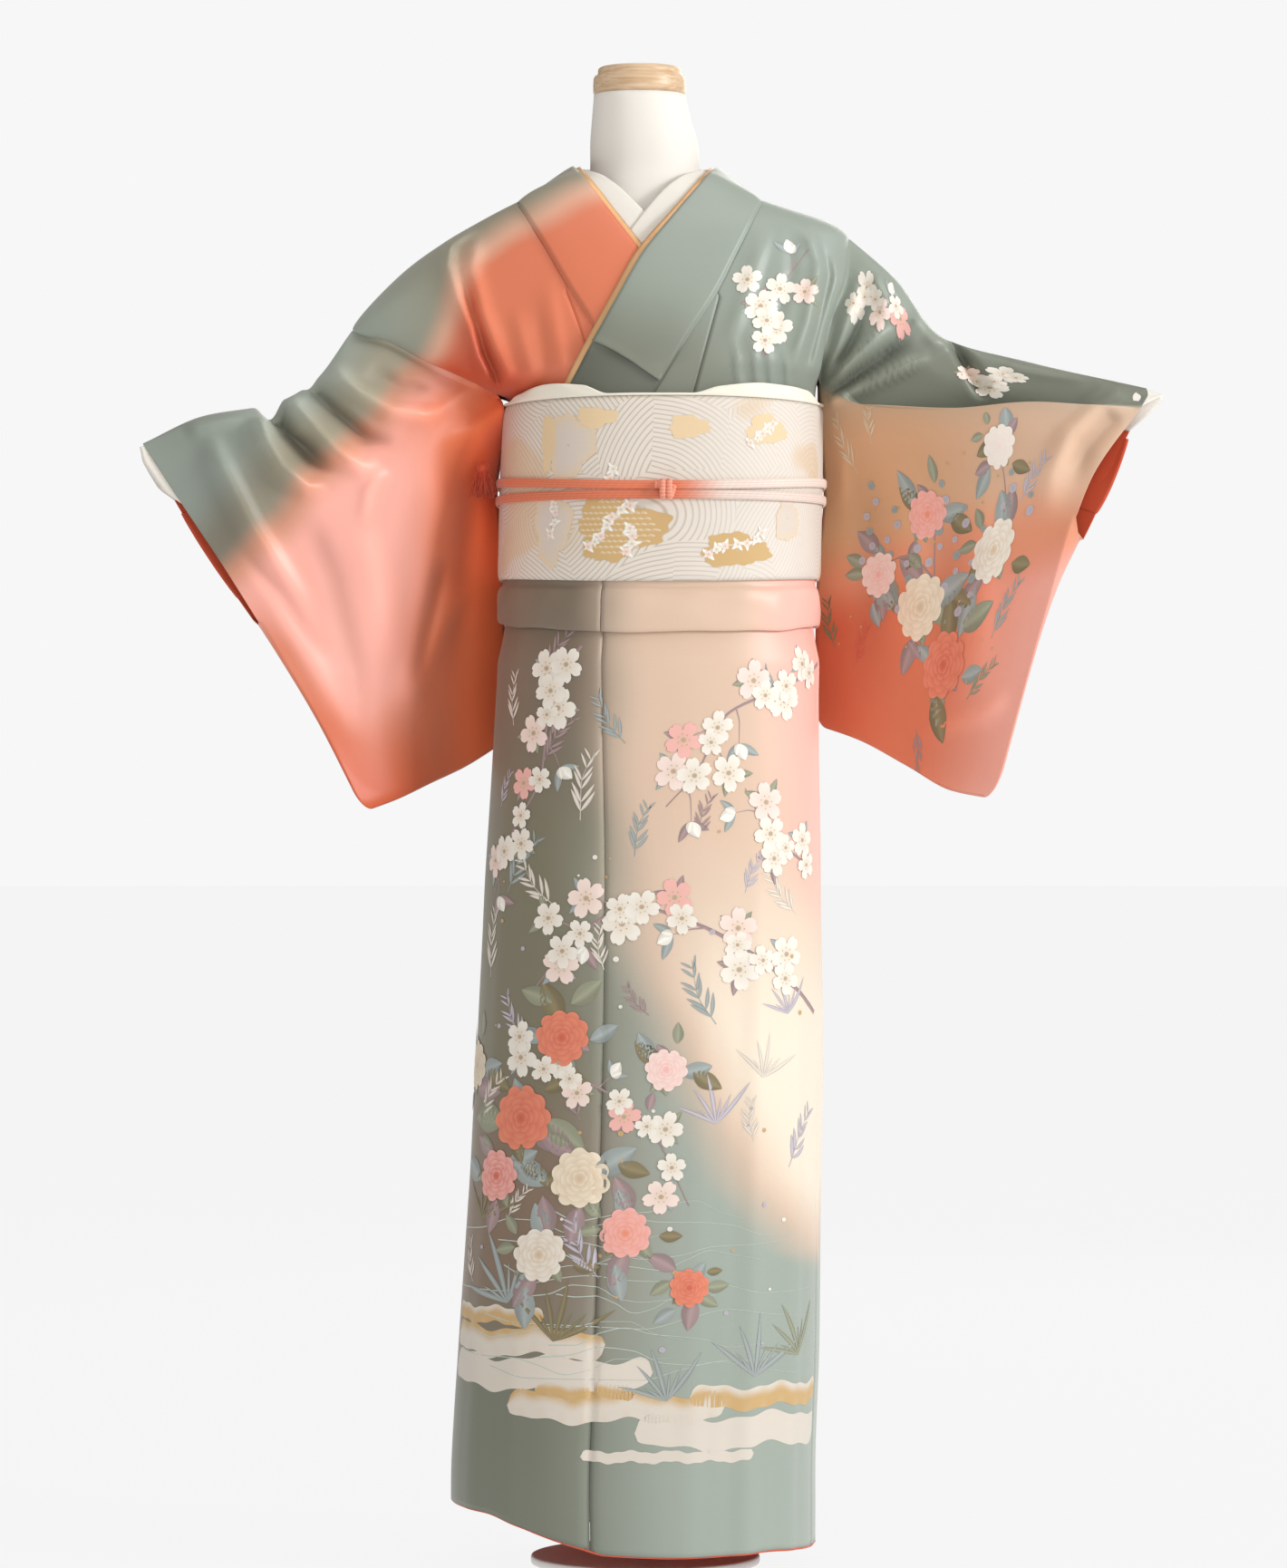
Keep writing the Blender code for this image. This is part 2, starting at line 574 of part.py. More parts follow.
def face_out(bm, inside):
    """Turns all faces so that they look away from inside, which is a point or a function of a point."""
    bmesh.ops.recalc_face_normals(bm, faces=bm.faces)
    total = 0.0
    for face in bm.faces:
        centre = face.calc_center_median()
        core = inside(centre) if callable(inside) else inside
        total += face.calc_area() * sum(n * (c - k) for n, c, k in zip(face.normal, centre, core))
    if total < 0:
        bmesh.ops.reverse_faces(bm, faces=bm.faces)


def body_axis(point):
    return (0.01, 0.0, point[2])


def sheet(name, grids, finish, wall=CLOTH, inside=body_axis, wrap=False, stitch=None):
    """An open sheet from one or more grids, with its wall on the inner side."""
    bm = bmesh.new()
    made = [add_grid(bm, grid, wrap) for grid in grids]
    if stitch:
        stitch(bm, made)
    bmesh.ops.remove_doubles(bm, verts=bm.verts, dist=1e-6)
    face_out(bm, inside)
    cloth = object_from(name, bm, finish)
    thick = cloth.modifiers.new("wall", "SOLIDIFY")
    thick.thickness = wall
    thick.offset = -1
    thick.use_even_offset = True
    return cloth


def lofted(name, rings, finish, closed=False):
    """A solid through level rings, with flat ends, or a closed band when the last ring meets the first."""
    bm = bmesh.new()
    grid = np.concatenate([rings, rings[:1]]) if closed else rings
    points = add_grid(bm, grid, wrap=True)
    if closed:
        bmesh.ops.remove_doubles(bm, verts=bm.verts, dist=1e-6)
    else:
        bm.faces.new(points[0])
        bm.faces.new(points[-1])
    bmesh.ops.recalc_face_normals(bm, faces=bm.faces)
    return object_from(name, bm, finish)


def turned(name, profile, finish, at, steps=24):
    """A turned piece: the profile of radius and height on a Screw modifier."""
    bm = bmesh.new()
    points = [bm.verts.new((radius, 0, height)) for radius, height in profile]
    for low, high in zip(points, points[1:]):
        bm.edges.new((low, high))
    made = object_from(name, bm, finish)
    screw = made.modifiers.new("turn", "SCREW")
    screw.steps = steps
    screw.render_steps = steps
    screw.use_merge_vertices = True
    screw.use_normal_flip = True
    screw.merge_threshold = 0.0001
    made.location = at
    return made


# The dress form
def build_form(finishes):
    angles = np.linspace(0, 2 * math.pi, 24, endpoint=False)
    rings = []
    for height, centre_x, centre_y, width, depth in zip(*FORM.values()):
        s, c = rounded(angles, 2.2)
        rings.append(np.stack([centre_x + width * s, centre_y - depth * c, np.full(24, height)], axis=-1))
    lofted("form_body", np.array(rings), finishes["form"])
    cap = list(zip(CAP["radius"], CAP["height"]))
    top_x, top_y, top_z = (FORM[name][-1] for name in ("centre_x", "centre_y", "height"))
    turned("form_cap", cap, finishes["wood"], (top_x, top_y, top_z))
    pole_foot = BASE_HEIGHT + SEAM
    pole_top = FORM_FOOT - SEAM
    pole = [(0, pole_foot), (POLE_RADIUS, pole_foot), (POLE_RADIUS, pole_top), (0, pole_top)]
    turned("form_pole", pole, finishes["steel"], (POLE_X, 0.004, 0), 20)
    rim = BASE_RADIUS - BASE_EDGE
    top = BASE_HEIGHT - BASE_EDGE
    base = [(0, 0), (rim, 0), (BASE_RADIUS, BASE_EDGE), (BASE_RADIUS, top)]
    base += [(rim, BASE_HEIGHT), (0, BASE_HEIGHT)]
    turned("form_base", base, finishes["base"], (0, 0, 0), 48)


# The skirt
def seam_angle(height):
    return smooth(OKUMI_SEAM["height"], OKUMI_SEAM["angle"], height)


def skirt_panel(name, start, end, columns, finish):
    """A panel between two angles, which may be functions of the height, from the hem to the waist."""
    across = np.linspace(0, 1, columns)
    up = np.array(SKIRT_SHARES)[:, None]
    gap = math.degrees(SEAM / 2 / TRUNK["half_width"][0])
    height = np.full((len(up), columns), SKIRT_WAIST[0] / 2)
    for _ in range(3):
        low = (start(height) if callable(start) else start) + gap
        high = (end(height) if callable(end) else end) - gap
        angle = low + (high - low) * across
        foot = smooth(HEM["angle"], HEM["height"], angle)
        height = foot + (SKIRT_WAIST[0] - foot) * up
    level = np.array(SKIRT_WAIST[1:])[:, None] * np.ones(columns)
    height = np.concatenate([height, level])
    low = (start(height) if callable(start) else start) + gap
    high = (end(height) if callable(end) else end) - gap
    angle = low + (high - low) * across
    grid = trunk(angle, height, skirt_out(angle, height))
    return sheet(name, [grid], finish)


def build_skirt(finishes):
    skirt_panel("skirt_okumi_left", LAP_EDGE, seam_angle, 9, finishes["coral"])
    skirt_panel("skirt_front_left", seam_angle, LEFT_SIDE, 15, finishes["peach"])
    skirt_panel("skirt_back_left", LEFT_SIDE, CENTRE_BACK, 15, finishes["peach"])
    skirt_panel("skirt_back_right", CENTRE_BACK, RIGHT_SIDE, 15, finishes["sage"])
    skirt_panel("skirt_front_right", RIGHT_SIDE, UNDER_SEAM, 9, finishes["sage"])
    skirt_panel("skirt_okumi_right", UNDER_SEAM, UNDER_EDGE, 7, finishes["sage"])


# The folded stretch over the hips
def build_hip_fold(finishes):
    stretches = (
        ("hip_fold_okumi_left", -88.0, -16.8, 9, "sage"),
        ("hip_fold_front_left", -16.8, 90.0, 13, "peach"),
        ("hip_fold_back_left", 90.0, 180.0, 9, "peach"),
        ("hip_fold_back_right", 180.0, 271.0, 9, "sage"),
    )
    gap = math.degrees(SEAM / TRUNK["half_width"][-2])
    for name, start, end, columns, finish in stretches:
        angle = np.linspace(start + gap, end - gap, columns)[:, None]
        foot = smooth(FOLD_FOOT["angle"], FOLD_FOOT["height"], angle)
        height = foot + (obi_foot(angle) - foot) * FOLD_SECTION["up"]
        grid = trunk(angle, height, FOLD_SECTION["out"])
        sheet(name, [grid], finishes[finish])


# The upper body
def inner_share(row, side):
    """How far out each ring of a front starts, where it crosses the collar's outer edge or the okumi seam."""
    collar = COLLAR_RIGHT if side == "right" else COLLAR_LEFT
    seam = CHEST_SEAM_RIGHT if side == "right" else CHEST_SEAM_LEFT
    sign = -1 if side == "right" else 1
    shares = np.linspace(0.0, 1.0, 1201)
    ring = upper(row, shares, side)
    on_collar = np.interp(ring[:, 2], collar["outer_z"][::-1], collar["outer_x"][::-1]) + sign * SEAM
    on_seam = np.interp(ring[:, 2], seam["height"], seam["x"]) + sign * SEAM
    line = np.where(ring[:, 2] > seam["height"][-1], on_collar, on_seam)
    beyond = (ring[:, 0] - line) * sign >= 0
    return shares[beyond.argmax()] if beyond.any() else 0.995


def build_bodies(finishes):
    rows = np.array(BODY_ROWS)
    for side, finish in (("right", "coral"), ("left", "sage")):
        front = []
        for row in rows:
            start = min(inner_share(row, side), INNER_LIMIT)
            start_angle = math.asin(min(start ** (PLAN_POWER / 2), 1))
            angles = np.linspace(start_angle, math.pi / 2, BODY_COLUMNS)
            front.append(upper(row, np.sin(angles) ** (2 / PLAN_POWER), side))
        front = np.array(front)
        if side == "left":
            front[..., 1] -= lap_shift(front[..., 2]) * np.linspace(1, 0, BODY_COLUMNS) ** 0.5
        angles = np.linspace(0, math.pi / 2, BODY_COLUMNS + 1)
        share = np.sin(angles)[::-1] ** (2 / PLAN_POWER)
        share[-1] = SEAM / 2 / 0.15
        back = upper(rows[:, None], share[None, :], side, "back")
        sheet("body_" + side, [front, back], finishes[finish])


def build_chest_okumi(finishes):
    """The wedge between the collar's outer edge and the okumi seam on each side of the chest."""
    for side, finish in (("right", "coral"), ("left", "sage")):
        collar = COLLAR_RIGHT if side == "right" else COLLAR_LEFT
        seam = CHEST_SEAM_RIGHT if side == "right" else CHEST_SEAM_LEFT
        sign = -1 if side == "right" else 1
        top = seam["height"][-1] - CHEST_OKUMI_POINT
        height = np.linspace(CHEST_OKUMI_FOOT, top, 11)[:, None]
        collar_x = np.interp(height, collar["outer_z"][::-1], collar["outer_x"][::-1]) + sign * SEAM
        seam_x = np.interp(height, seam["height"], seam["x"]) - sign * 2 * SEAM
        x = collar_x + (seam_x - collar_x) * np.linspace(0, 1, 6)
        grid = front_at(x, np.broadcast_to(height, x.shape))
        if side == "left":
            grid[..., 1] -= lap_shift(grid[..., 2])
        sheet("chest_okumi_" + side, [grid], finishes[finish])


# The collars
def neck_ring(ring, turn):
    """Round the back of the neck: turn runs from -1 at the right shoulder over 0 at the nape to 1."""
    s, c = rounded(turn * math.pi / 2)
    x = ring["side"] * s
    y = ring["side_y"] + (ring["back_y"] - ring["side_y"]) * c
    z = ring["back_z"] + (ring["side_z"] - ring["back_z"]) * s**2
    return np.stack([x, y, z], axis=-1)


def front_band(edges, rows, across):
    """A band down one front: straight between its edges, lying on the chest, its first row on the ridge."""
    stations = np.arange(len(edges["inner_x"]), dtype=float)
    inner = [smooth(stations, edges[name], rows) for name in ("inner_x", "inner_z")]
    outer = [smooth(stations, edges[name], rows) for name in ("outer_x", "outer_z")]
    x = inner[0] + (outer[0] - inner[0]) * across
    z = inner[1] + (outer[1] - inner[1]) * across
    grid = front_at(x, z)
    grid[0, :, 1] = RIDGE_Y
    return grid


def band(right, left, nape_inner, nape_outer, right_rows, left_rows, across):
    """A band from the right front's foot round the nape to the left front's foot, as one grid."""
    down_right = front_band(right, right_rows, across)
    down_left = front_band(left, left_rows, across)
    turn = np.linspace(-1, 1, 13)[1:-1, None]
    inner, outer = nape_inner(turn), nape_outer(turn)
    back = inner + (outer - inner) * across[..., None]
    down_left[..., 1] -= lap_shift(down_left[..., 2])
    return np.concatenate([down_right[::-1], back, down_left])


def collar_outer_back(turn):
    """The collar's outer seam round the back, which is ring 9 of the upper body."""
    s, c = rounded(turn * math.pi / 2)
    right = upper(NECK_ROW, np.abs(s), "right", "back")
    left = upper(NECK_ROW, np.abs(s), "left", "back")
    return np.where((turn < 0)[..., None], right, left)


def build_collars(finishes):
    across = np.linspace(0, COLLAR_EDGE, 5)
    fall = np.array(COLLAR_ROWS)[:, None]
    inner_back = lambda turn: neck_ring(NECK_RINGS["collar"], turn)
    whole = band(COLLAR_RIGHT, COLLAR_LEFT, inner_back, collar_outer_back, fall, fall, across)
    raised = moved_out(whole, np.full(whole.shape[:2], LAYER), NAPE)
    sheet("collar", [raised], finishes["sage"], inside=NAPE)

    falls = []
    for inner_end, outer_end in (OVER_END_RIGHT, OVER_END_LEFT):
        end = inner_end + (outer_end - inner_end) * across**OVER_BEND
        kept = fall[fall[:, 0] < inner_end - OVER_LAST] * np.ones(len(across))
        slanted = kept[-1] + (end - kept[-1]) * np.array([1 / 3, 2 / 3, 1])[:, None]
        falls.append(np.concatenate([kept, slanted]))
    narrower = across * OVER_EDGE
    over = band(COLLAR_RIGHT, COLLAR_LEFT, inner_back, collar_outer_back, falls[0], falls[1], narrower)
    raised = moved_out(over, np.full(over.shape[:2], 2 * LAYER), NAPE)
    sheet("over_collar", [raised], finishes["sage"], inside=NAPE)

    strip = np.array(GOLD_ACROSS)
    gold = band(COLLAR_RIGHT, COLLAR_LEFT, inner_back, collar_outer_back, fall[:-1], fall, strip)
    sunk = moved_out(gold, np.full(gold.shape[:2], -LAYER), NAPE)
    sheet("gold_collar", [sunk], finishes["gold"], inside=NAPE)

    edge_top = lambda turn: neck_ring(NECK_RINGS["inner_top"], turn)
    edge_foot = lambda turn: neck_ring(NECK_RINGS["inner_foot"], turn)
    inner_fall = fall * INNER_SHARE
    rows = len(inner_fall)
    white = band(INNER_RIGHT, INNER_LEFT, edge_top, edge_foot, inner_fall, inner_fall, np.linspace(0, 1, 4))
    white[-rows:, :, 1] += lap_shift(white[-rows:, :, 2])
    count = len(white)
    left_start = count - rows
    deep, shallow = INNER_DEPTH
    stations = [0, left_start, left_start + 5, count - 1]
    depth = np.interp(np.arange(count), stations, [deep, deep, shallow, shallow]) * -LAYER
    cloth = moved_out(white, np.broadcast_to(depth[:, None], white.shape[:2]), NAPE)
    sheet("inner_collar", [cloth], finishes["white"], inside=NAPE)


# The sleeves
def sleeve_sheet(side, face, along, down):
    """One layer of a sleeve: smooth through its rows, then from the body's edge out to the cuff."""
    spec = SLEEVES[side]
    rows, furi = spec[face], spec["furi"]
    bend = np.arccos(1 - 2 * rows["down"])
    turn = np.arccos(1 - 2 * down)
    columns = []
    seam_down = np.array([0.0, 0.25, 0.5, 0.75, 1.0]) * spec["armhole"]
    seam = edge_of(SHOULDER_ROW - (SHOULDER_ROW - UNDERARM_ROW) * seam_down / spec["armhole"], side, face)
    seam[:, [0, 2]] += spec["beside"]
    stations = np.concatenate([seam_down, furi["down"]])
    edge = [
        np.concatenate([seam[:, 0], furi["x"]]),
        np.concatenate([seam[:, 1], furi[face + "_y"]]),
        np.concatenate([seam[:, 2], furi["z"]]),
    ]
    columns.append(np.stack([smooth(stations, values, down) for values in edge], axis=-1))
    for i in range(1, 5):
        x = smooth(rows["down"], rows["x%d" % i], down)
        y = smooth(bend, rows["y%d" % i], turn)
        z = smooth(rows["down"], rows["z%d" % i], down)
        columns.append(np.stack([x, y, z], axis=-1))
    columns = np.array(columns)
    places = np.linspace(0, 1, 5)
    flat = columns.reshape(5, -1)
    lines = [smooth(places, flat[:, k], along) for k in range(flat.shape[1])]
    return np.stack(lines, axis=-1).reshape(len(along), len(down), 3)


def sleeve_layers(side, along, down):
    """Both layers of a sleeve, held apart by at least the room the cloth's own thickness needs."""
    front = sleeve_sheet(side, "front", along, down)
    back = sleeve_sheet(side, "back", along, down)
    room = SLEEVE_ROOM * np.sqrt(np.clip(np.minimum(down, 1 - down) / 0.02, 0, 1))
    short = np.maximum(room - (back[..., 1] - front[..., 1]), 0) / 2
    front[..., 1] -= short
    back[..., 1] += short
    if side == "right":
        for place, span, depth, reach in zip(*SLEEVE_TROUGHS.values()):
            share = np.clip((along - place) / span, -1, 1)
            dip = depth * np.cos(share * math.pi / 2)[:, None] ** 2 * (1 - step_up(down, 0, reach))
            front[..., 2] -= dip
            back[..., 2] -= dip
    return front, back


def build_sleeves(finishes):
    along = np.array(SLEEVE_ALONG)
    for side, finish in (("right", "coral"), ("left", "peach")):
        spec = SLEEVES[side]
        down = np.array(spec["down"], float)
        front, back = sleeve_layers(side, along, down)
        grid = np.concatenate([front, back[:, -2:0:-1]], axis=1)
        count = len(down)
        sewn = int(np.argmin(np.abs(down - spec["cuff"])))

        def close_outer_edge(bm, made):
            """Faces across the outer edge below the cuff opening, where front and back are sewn."""
            end = made[0][-1]
            for i in range(sewn, count - 1):
                front_pair = (end[i], end[i + 1])
                back_index = [(2 * (count - 1) - k) % len(end) for k in (i + 1, i)]
                back_pair = tuple(end[k] for k in back_index)
                corners = front_pair + back_pair
                unique = [v for k, v in enumerate(corners) if v not in corners[:k]]
                bm.faces.new(unique)

        core = grid.mean(axis=1)

        def sleeve_core(point):
            nearest = np.argmin(np.abs(core[:, 0] - point[0]))
            return core[nearest]

        name = "sleeve_" + side
        sheet(name, [grid], finishes[finish], inside=sleeve_core, wrap=True, stitch=close_outer_edge)


def build_cuffs(finishes):
    """The cream inner cuff in each sleeve opening and the coral lining strip behind it."""
    for side, cuff, strip in (("right", (0.03, 0.18), (0.25, 0.46)), ("left", (0.03, 0.305), (0.33, 0.51))):
        rows = np.array(SLEEVES[side]["down"])
        down = rows[(rows >= cuff[0]) & (rows <= cuff[1])]
        front, back = sleeve_layers(side, np.array([0.92, 1.0]), down)
        front += (0, CUFF_INSET, -CUFF_INSET)
        back += (0, -CUFF_INSET, -CUFF_INSET)
        ring = np.concatenate([front[:, ::-1], back], axis=1)
        reach = ring[1] - ring[0]
        reach = reach / np.linalg.norm(reach, axis=1, keepdims=True)
        grid = np.stack([ring[0], ring[1], ring[1] + reach * CUFF_SHOWS[side]])
        sheet("inner_cuff_" + side, [grid], finishes["white"], inside=tuple(grid.mean(axis=(0, 1))))

        down = rows[(rows >= strip[0]) & (rows <= strip[1])]
        back = sleeve_layers(side, np.array([0.92, 1.0]), down)[1] + (0, -CUFF_INSET, 0)
        reach = back[1] - back[0]
        reach = reach / np.linalg.norm(reach, axis=1, keepdims=True)
        shown = LINING_SHOWS[side] * np.sin(np.linspace(0.15, 1, len(down)) * math.pi)[:, None] ** 0.5
        grid = np.stack([back[0], back[1], back[1] + reach * shown])
        before = tuple(grid.mean(axis=(0, 1)) + (0, -1.0, 0))
        sheet("cuff_lining_" + side, [grid], finishes["lining"], inside=before)


# The obi set
def band_round(name, angles, heights, out, finish, wall, wrap):
    """A sheet round the trunk through rows of heights, with its outer face this far out."""
    grid = trunk(angles[:, None], heights, out)
    return sheet(name, [np.swapaxes(grid, 0, 1)], finish, wall=wall, wrap=wrap)


def cord_ring(name, height, finish):
    """A flat braid all round the obi, passing over the hand at the back."""
    angles = np.linspace(0, 360, AROUND, endpoint=False)
    over_hand = step_up(angles, 94, 109) - step_up(angles, 251, 266)
    centre = 0.0006 + CORD_DEPTH / 2 + (HAND["out"] + 0.0006) * over_hand
    section = np.array([(-1, -0.8), (1, -0.55), (1, 0.55), (-1, 0.8)])
    out = centre[:, None] + CORD_DEPTH / 2 * section[:, 0]
    level = height(angles)[:, None] + CORD_HEIGHT / 2 * section[:, 1]
    lofted(name, trunk(angles[:, None], level, out), finish, closed=True)


def build_obi(finishes):
    angles = np.linspace(0, 360, AROUND, endpoint=False)
    foot, rim = obi_foot(angles)[:, None], obi_top(angles)[:, None]
    heights = foot + (rim - foot) * np.linspace(0, 1, 3)
    band_round("obi_wrap", angles, heights, 0.0, finishes["obi"], OBI_WALL, True)

    angles = np.linspace(-180, 180, AROUND, endpoint=False)
    rim = obi_top(angles)[:, None] + SEAM
    rise = smooth(OBIAGE["angle"], OBIAGE["rise"], angles)[:, None]
    section = np.array([(-1.0, 0.0), (-0.1, 0.0), (0.1, 0.5), (-0.1, 0.9), (-0.5, 1.0), (-0.95, 0.6)])
    grid = trunk(angles[:, None], rim + rise * section[:, 1], OBIAGE_IN * section[:, 0])
    lofted("obi_age", grid, finishes["cream"], closed=True)

    cord_ring("obi_cord_upper", lambda a: 1.1225 + 0.0070 * np.sin(np.radians(a)) ** 2, finishes["cord"])
    cord_ring("obi_cord_lower", lambda a: 1.1128 - 0.0012 * np.sin(np.radians(a)) ** 2, finishes["cord"])
    build_knot(finishes)
    build_tassels(finishes)

    width = np.linspace(-DRUM_HALF, DRUM_HALF, 3) + DRUM_CENTRE
    for name, outline, count, wall in (("obi_drum", DRUM, 30, DRUM_WALL), ("obi_tail", TAIL, 4, TAIL_WALL)):
        stations = np.arange(len(outline["y"]), dtype=float)
        places = np.linspace(0, stations[-1], count)
        y, z = smooth(stations, outline["y"], places), smooth(stations, outline["z"], places)
        grid = np.stack(np.broadcast_arrays(width[None, :], y[:, None], z[:, None]), axis=-1)
        sheet(name, [grid], finishes["obi"], wall=wall, inside=DRUM_CORE)

    hand = np.arange(HAND["from"], HAND["to"] + 1, 360 / AROUND)
    levels = np.linspace(HAND["foot"], HAND["top"], 3)[None, :] * np.ones((len(hand), 1))
    band_round("obi_hand", hand, levels, HAND["out"], finishes["obi"], HAND["out"] - 0.0008, False)


def build_knot(finishes):
    bm = bmesh.new()
    bmesh.ops.create_uvsphere(bm, u_segments=14, v_segments=8, radius=1.0)
    bmesh.ops.scale(bm, vec=KNOT_HALVES, verts=bm.verts)
    knot = object_from("obi_cord_knot", bm, finishes["cord"])
    front = trunk(np.array([KNOT_ANGLE]), KNOT_Z, CORD_DEPTH + KNOT_BEFORE)[0]
    knot.location = (KNOT_X, front[1] - KNOT_HALVES[1] - SEAM, KNOT_Z)


def build_tassels(finishes):
    """The cord's fringed ends at the right side: strands drawn out of the lower faces of a small head."""
    bm = bmesh.new()
    bmesh.ops.create_icosphere(bm, subdivisions=2, radius=TASSEL_HEAD)
    lower = [face for face in bm.faces if face.normal.z < TASSEL["lowest"]]
    drawn = bmesh.ops.extrude_discrete_faces(bm, faces=lower)["faces"]
    for i, face in enumerate(drawn):
        centre = face.calc_center_median()
        length = TASSEL["length"] + TASSEL["uneven"] * math.sin(TASSEL["turn"] * i)
        tip = centre.copy()
        tip.x += TASSEL["spread"] * length * face.normal.x
        tip.y += TASSEL["spread"] * length * face.normal.y
        tip.z -= length
        for vert in face.verts:
            vert.co = tip + (vert.co - centre) * TASSEL["tip"]
    bmesh.ops.recalc_face_normals(bm, faces=bm.faces)
    tassels = object_from("obi_cord_tassels", bm, finishes["lining"])
    tassels.location = TASSEL_AT


def main():
    for old in list(bpy.data.objects):
        bpy.data.objects.remove(old, do_unlink=True)
    collection = bpy.data.collections.new(COLLECTION)
    bpy.context.scene.collection.children.link(collection)
    finishes = {
        "form": material("form_white", (0.86, 0.83, 0.78), 0.55),
        "wood": material("cap_wood", (0.62, 0.40, 0.22), 0.45),
        "steel": material("pole_steel", (0.70, 0.70, 0.70), 0.35, 1.0),
        "base": material("base_paint", (0.85, 0.85, 0.83), 0.5),
        "coral": material("silk_coral", (0.78, 0.25, 0.14), 0.55),
        "sage": material("silk_sage", (0.33, 0.38, 0.31), 0.55),
        "peach": material("silk_peach", (0.72, 0.48, 0.32), 0.55),
        "lining": material("silk_lining", (0.62, 0.10, 0.04), 0.6),
        "white": material("silk_white", (0.85, 0.80, 0.73), 0.6),
        "cream": material("silk_cream", (0.85, 0.80, 0.66), 0.6),
        "gold": material("silk_gold", (0.75, 0.52, 0.26), 0.45),
        "obi": material("obi_brocade", (0.86, 0.84, 0.78), 0.5),
        "cord": material("cord_silk", (0.72, 0.42, 0.33), 0.6),
    }
    build_form(finishes)
    build_skirt(finishes)
    build_hip_fold(finishes)
    build_bodies(finishes)
    build_chest_okumi(finishes)
    build_collars(finishes)
    build_sleeves(finishes)
    build_cuffs(finishes)
    build_obi(finishes)


main()
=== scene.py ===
import math

import bmesh
import bpy
import numpy as np
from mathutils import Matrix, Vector


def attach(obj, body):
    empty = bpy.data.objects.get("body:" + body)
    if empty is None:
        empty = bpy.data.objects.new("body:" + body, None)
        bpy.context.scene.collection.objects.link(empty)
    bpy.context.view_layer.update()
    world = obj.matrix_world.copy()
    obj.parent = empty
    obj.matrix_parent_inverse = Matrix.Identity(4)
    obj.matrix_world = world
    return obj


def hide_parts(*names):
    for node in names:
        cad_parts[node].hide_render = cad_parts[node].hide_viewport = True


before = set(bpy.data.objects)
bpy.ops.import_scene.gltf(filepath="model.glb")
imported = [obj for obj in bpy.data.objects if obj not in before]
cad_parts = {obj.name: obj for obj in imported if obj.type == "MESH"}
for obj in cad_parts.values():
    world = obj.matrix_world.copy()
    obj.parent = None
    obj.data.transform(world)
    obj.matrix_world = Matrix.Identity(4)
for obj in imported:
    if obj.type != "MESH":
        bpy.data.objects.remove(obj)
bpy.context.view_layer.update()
scene = bpy.context.scene
chance = np.random.default_rng(11)
print("frame loaded:", len(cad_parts), "nodes")

# The view that the layout is drawn in: 1420 x 1730 pixels, the camera level at this height
camera = {
    "x": -0.0019, "distance": 6.0, "height": 0.816, "lens": 131.4, "pixel": 0.00095,  # metres to a pixel
    "middle": (710.0, 865.0),
}

seam = 0.0003  # gap between two pieces
cloth = {"wall": 0.0010, "layer": 0.0019}  # thickness of a wall, pitch of layers that lie on each other
lap = {"out": 0.0080, "less": 0.0019, "heights": (1.440, 1.385, 1.262, 1.235)}  # left front over right front
planPower = 2.4
underarmRow, shoulderRow, neckRow = 1.5, 6.0, 9.0


def table(names, *rows):  # a short table read by the names of its columns
    return {name: np.array([row[i] for row in rows], float) for i, name in enumerate(names.split())}


def joined(*parts):  # arrays side by side as the coordinates of points
    return np.stack(np.broadcast_arrays(*parts), axis=-1)


def circle(count):  # even turns round a full circle
    return np.linspace(0, 2 * math.pi, count, endpoint=False)


def unit(vectors):  # each divided by its length
    return vectors / np.maximum(np.linalg.norm(vectors, axis=-1, keepdims=True), 1e-12)


def summed(steps):  # the running sum, from 0
    return np.concatenate([[0], np.cumsum(steps)])


def lengthAlong(line):  # how far along the line each of its points lies
    return summed(np.linalg.norm(np.diff(line, axis=0), axis=1))


# The surface from hem to sash, as level sections
trunkRows = table(
    "height centreX halfWidth halfDepth", (0.000, -0.014, 0.1900, 0.1460), (0.080, -0.014, 0.1900, 0.1460),
    (0.232, -0.008, 0.1880, 0.1430), (0.365, -0.003, 0.1840, 0.1410), (0.564, 0.004, 0.1800, 0.1385),
    (0.726, 0.008, 0.1760, 0.1370), (0.849, 0.011, 0.1715, 0.1370), (0.950, 0.0135, 0.1690, 0.1375),
    (1.029, 0.0145, 0.1690, 0.1380), (1.120, 0.0165, 0.1690, 0.1380), (1.2144, 0.0190, 0.1672, 0.1360),
)
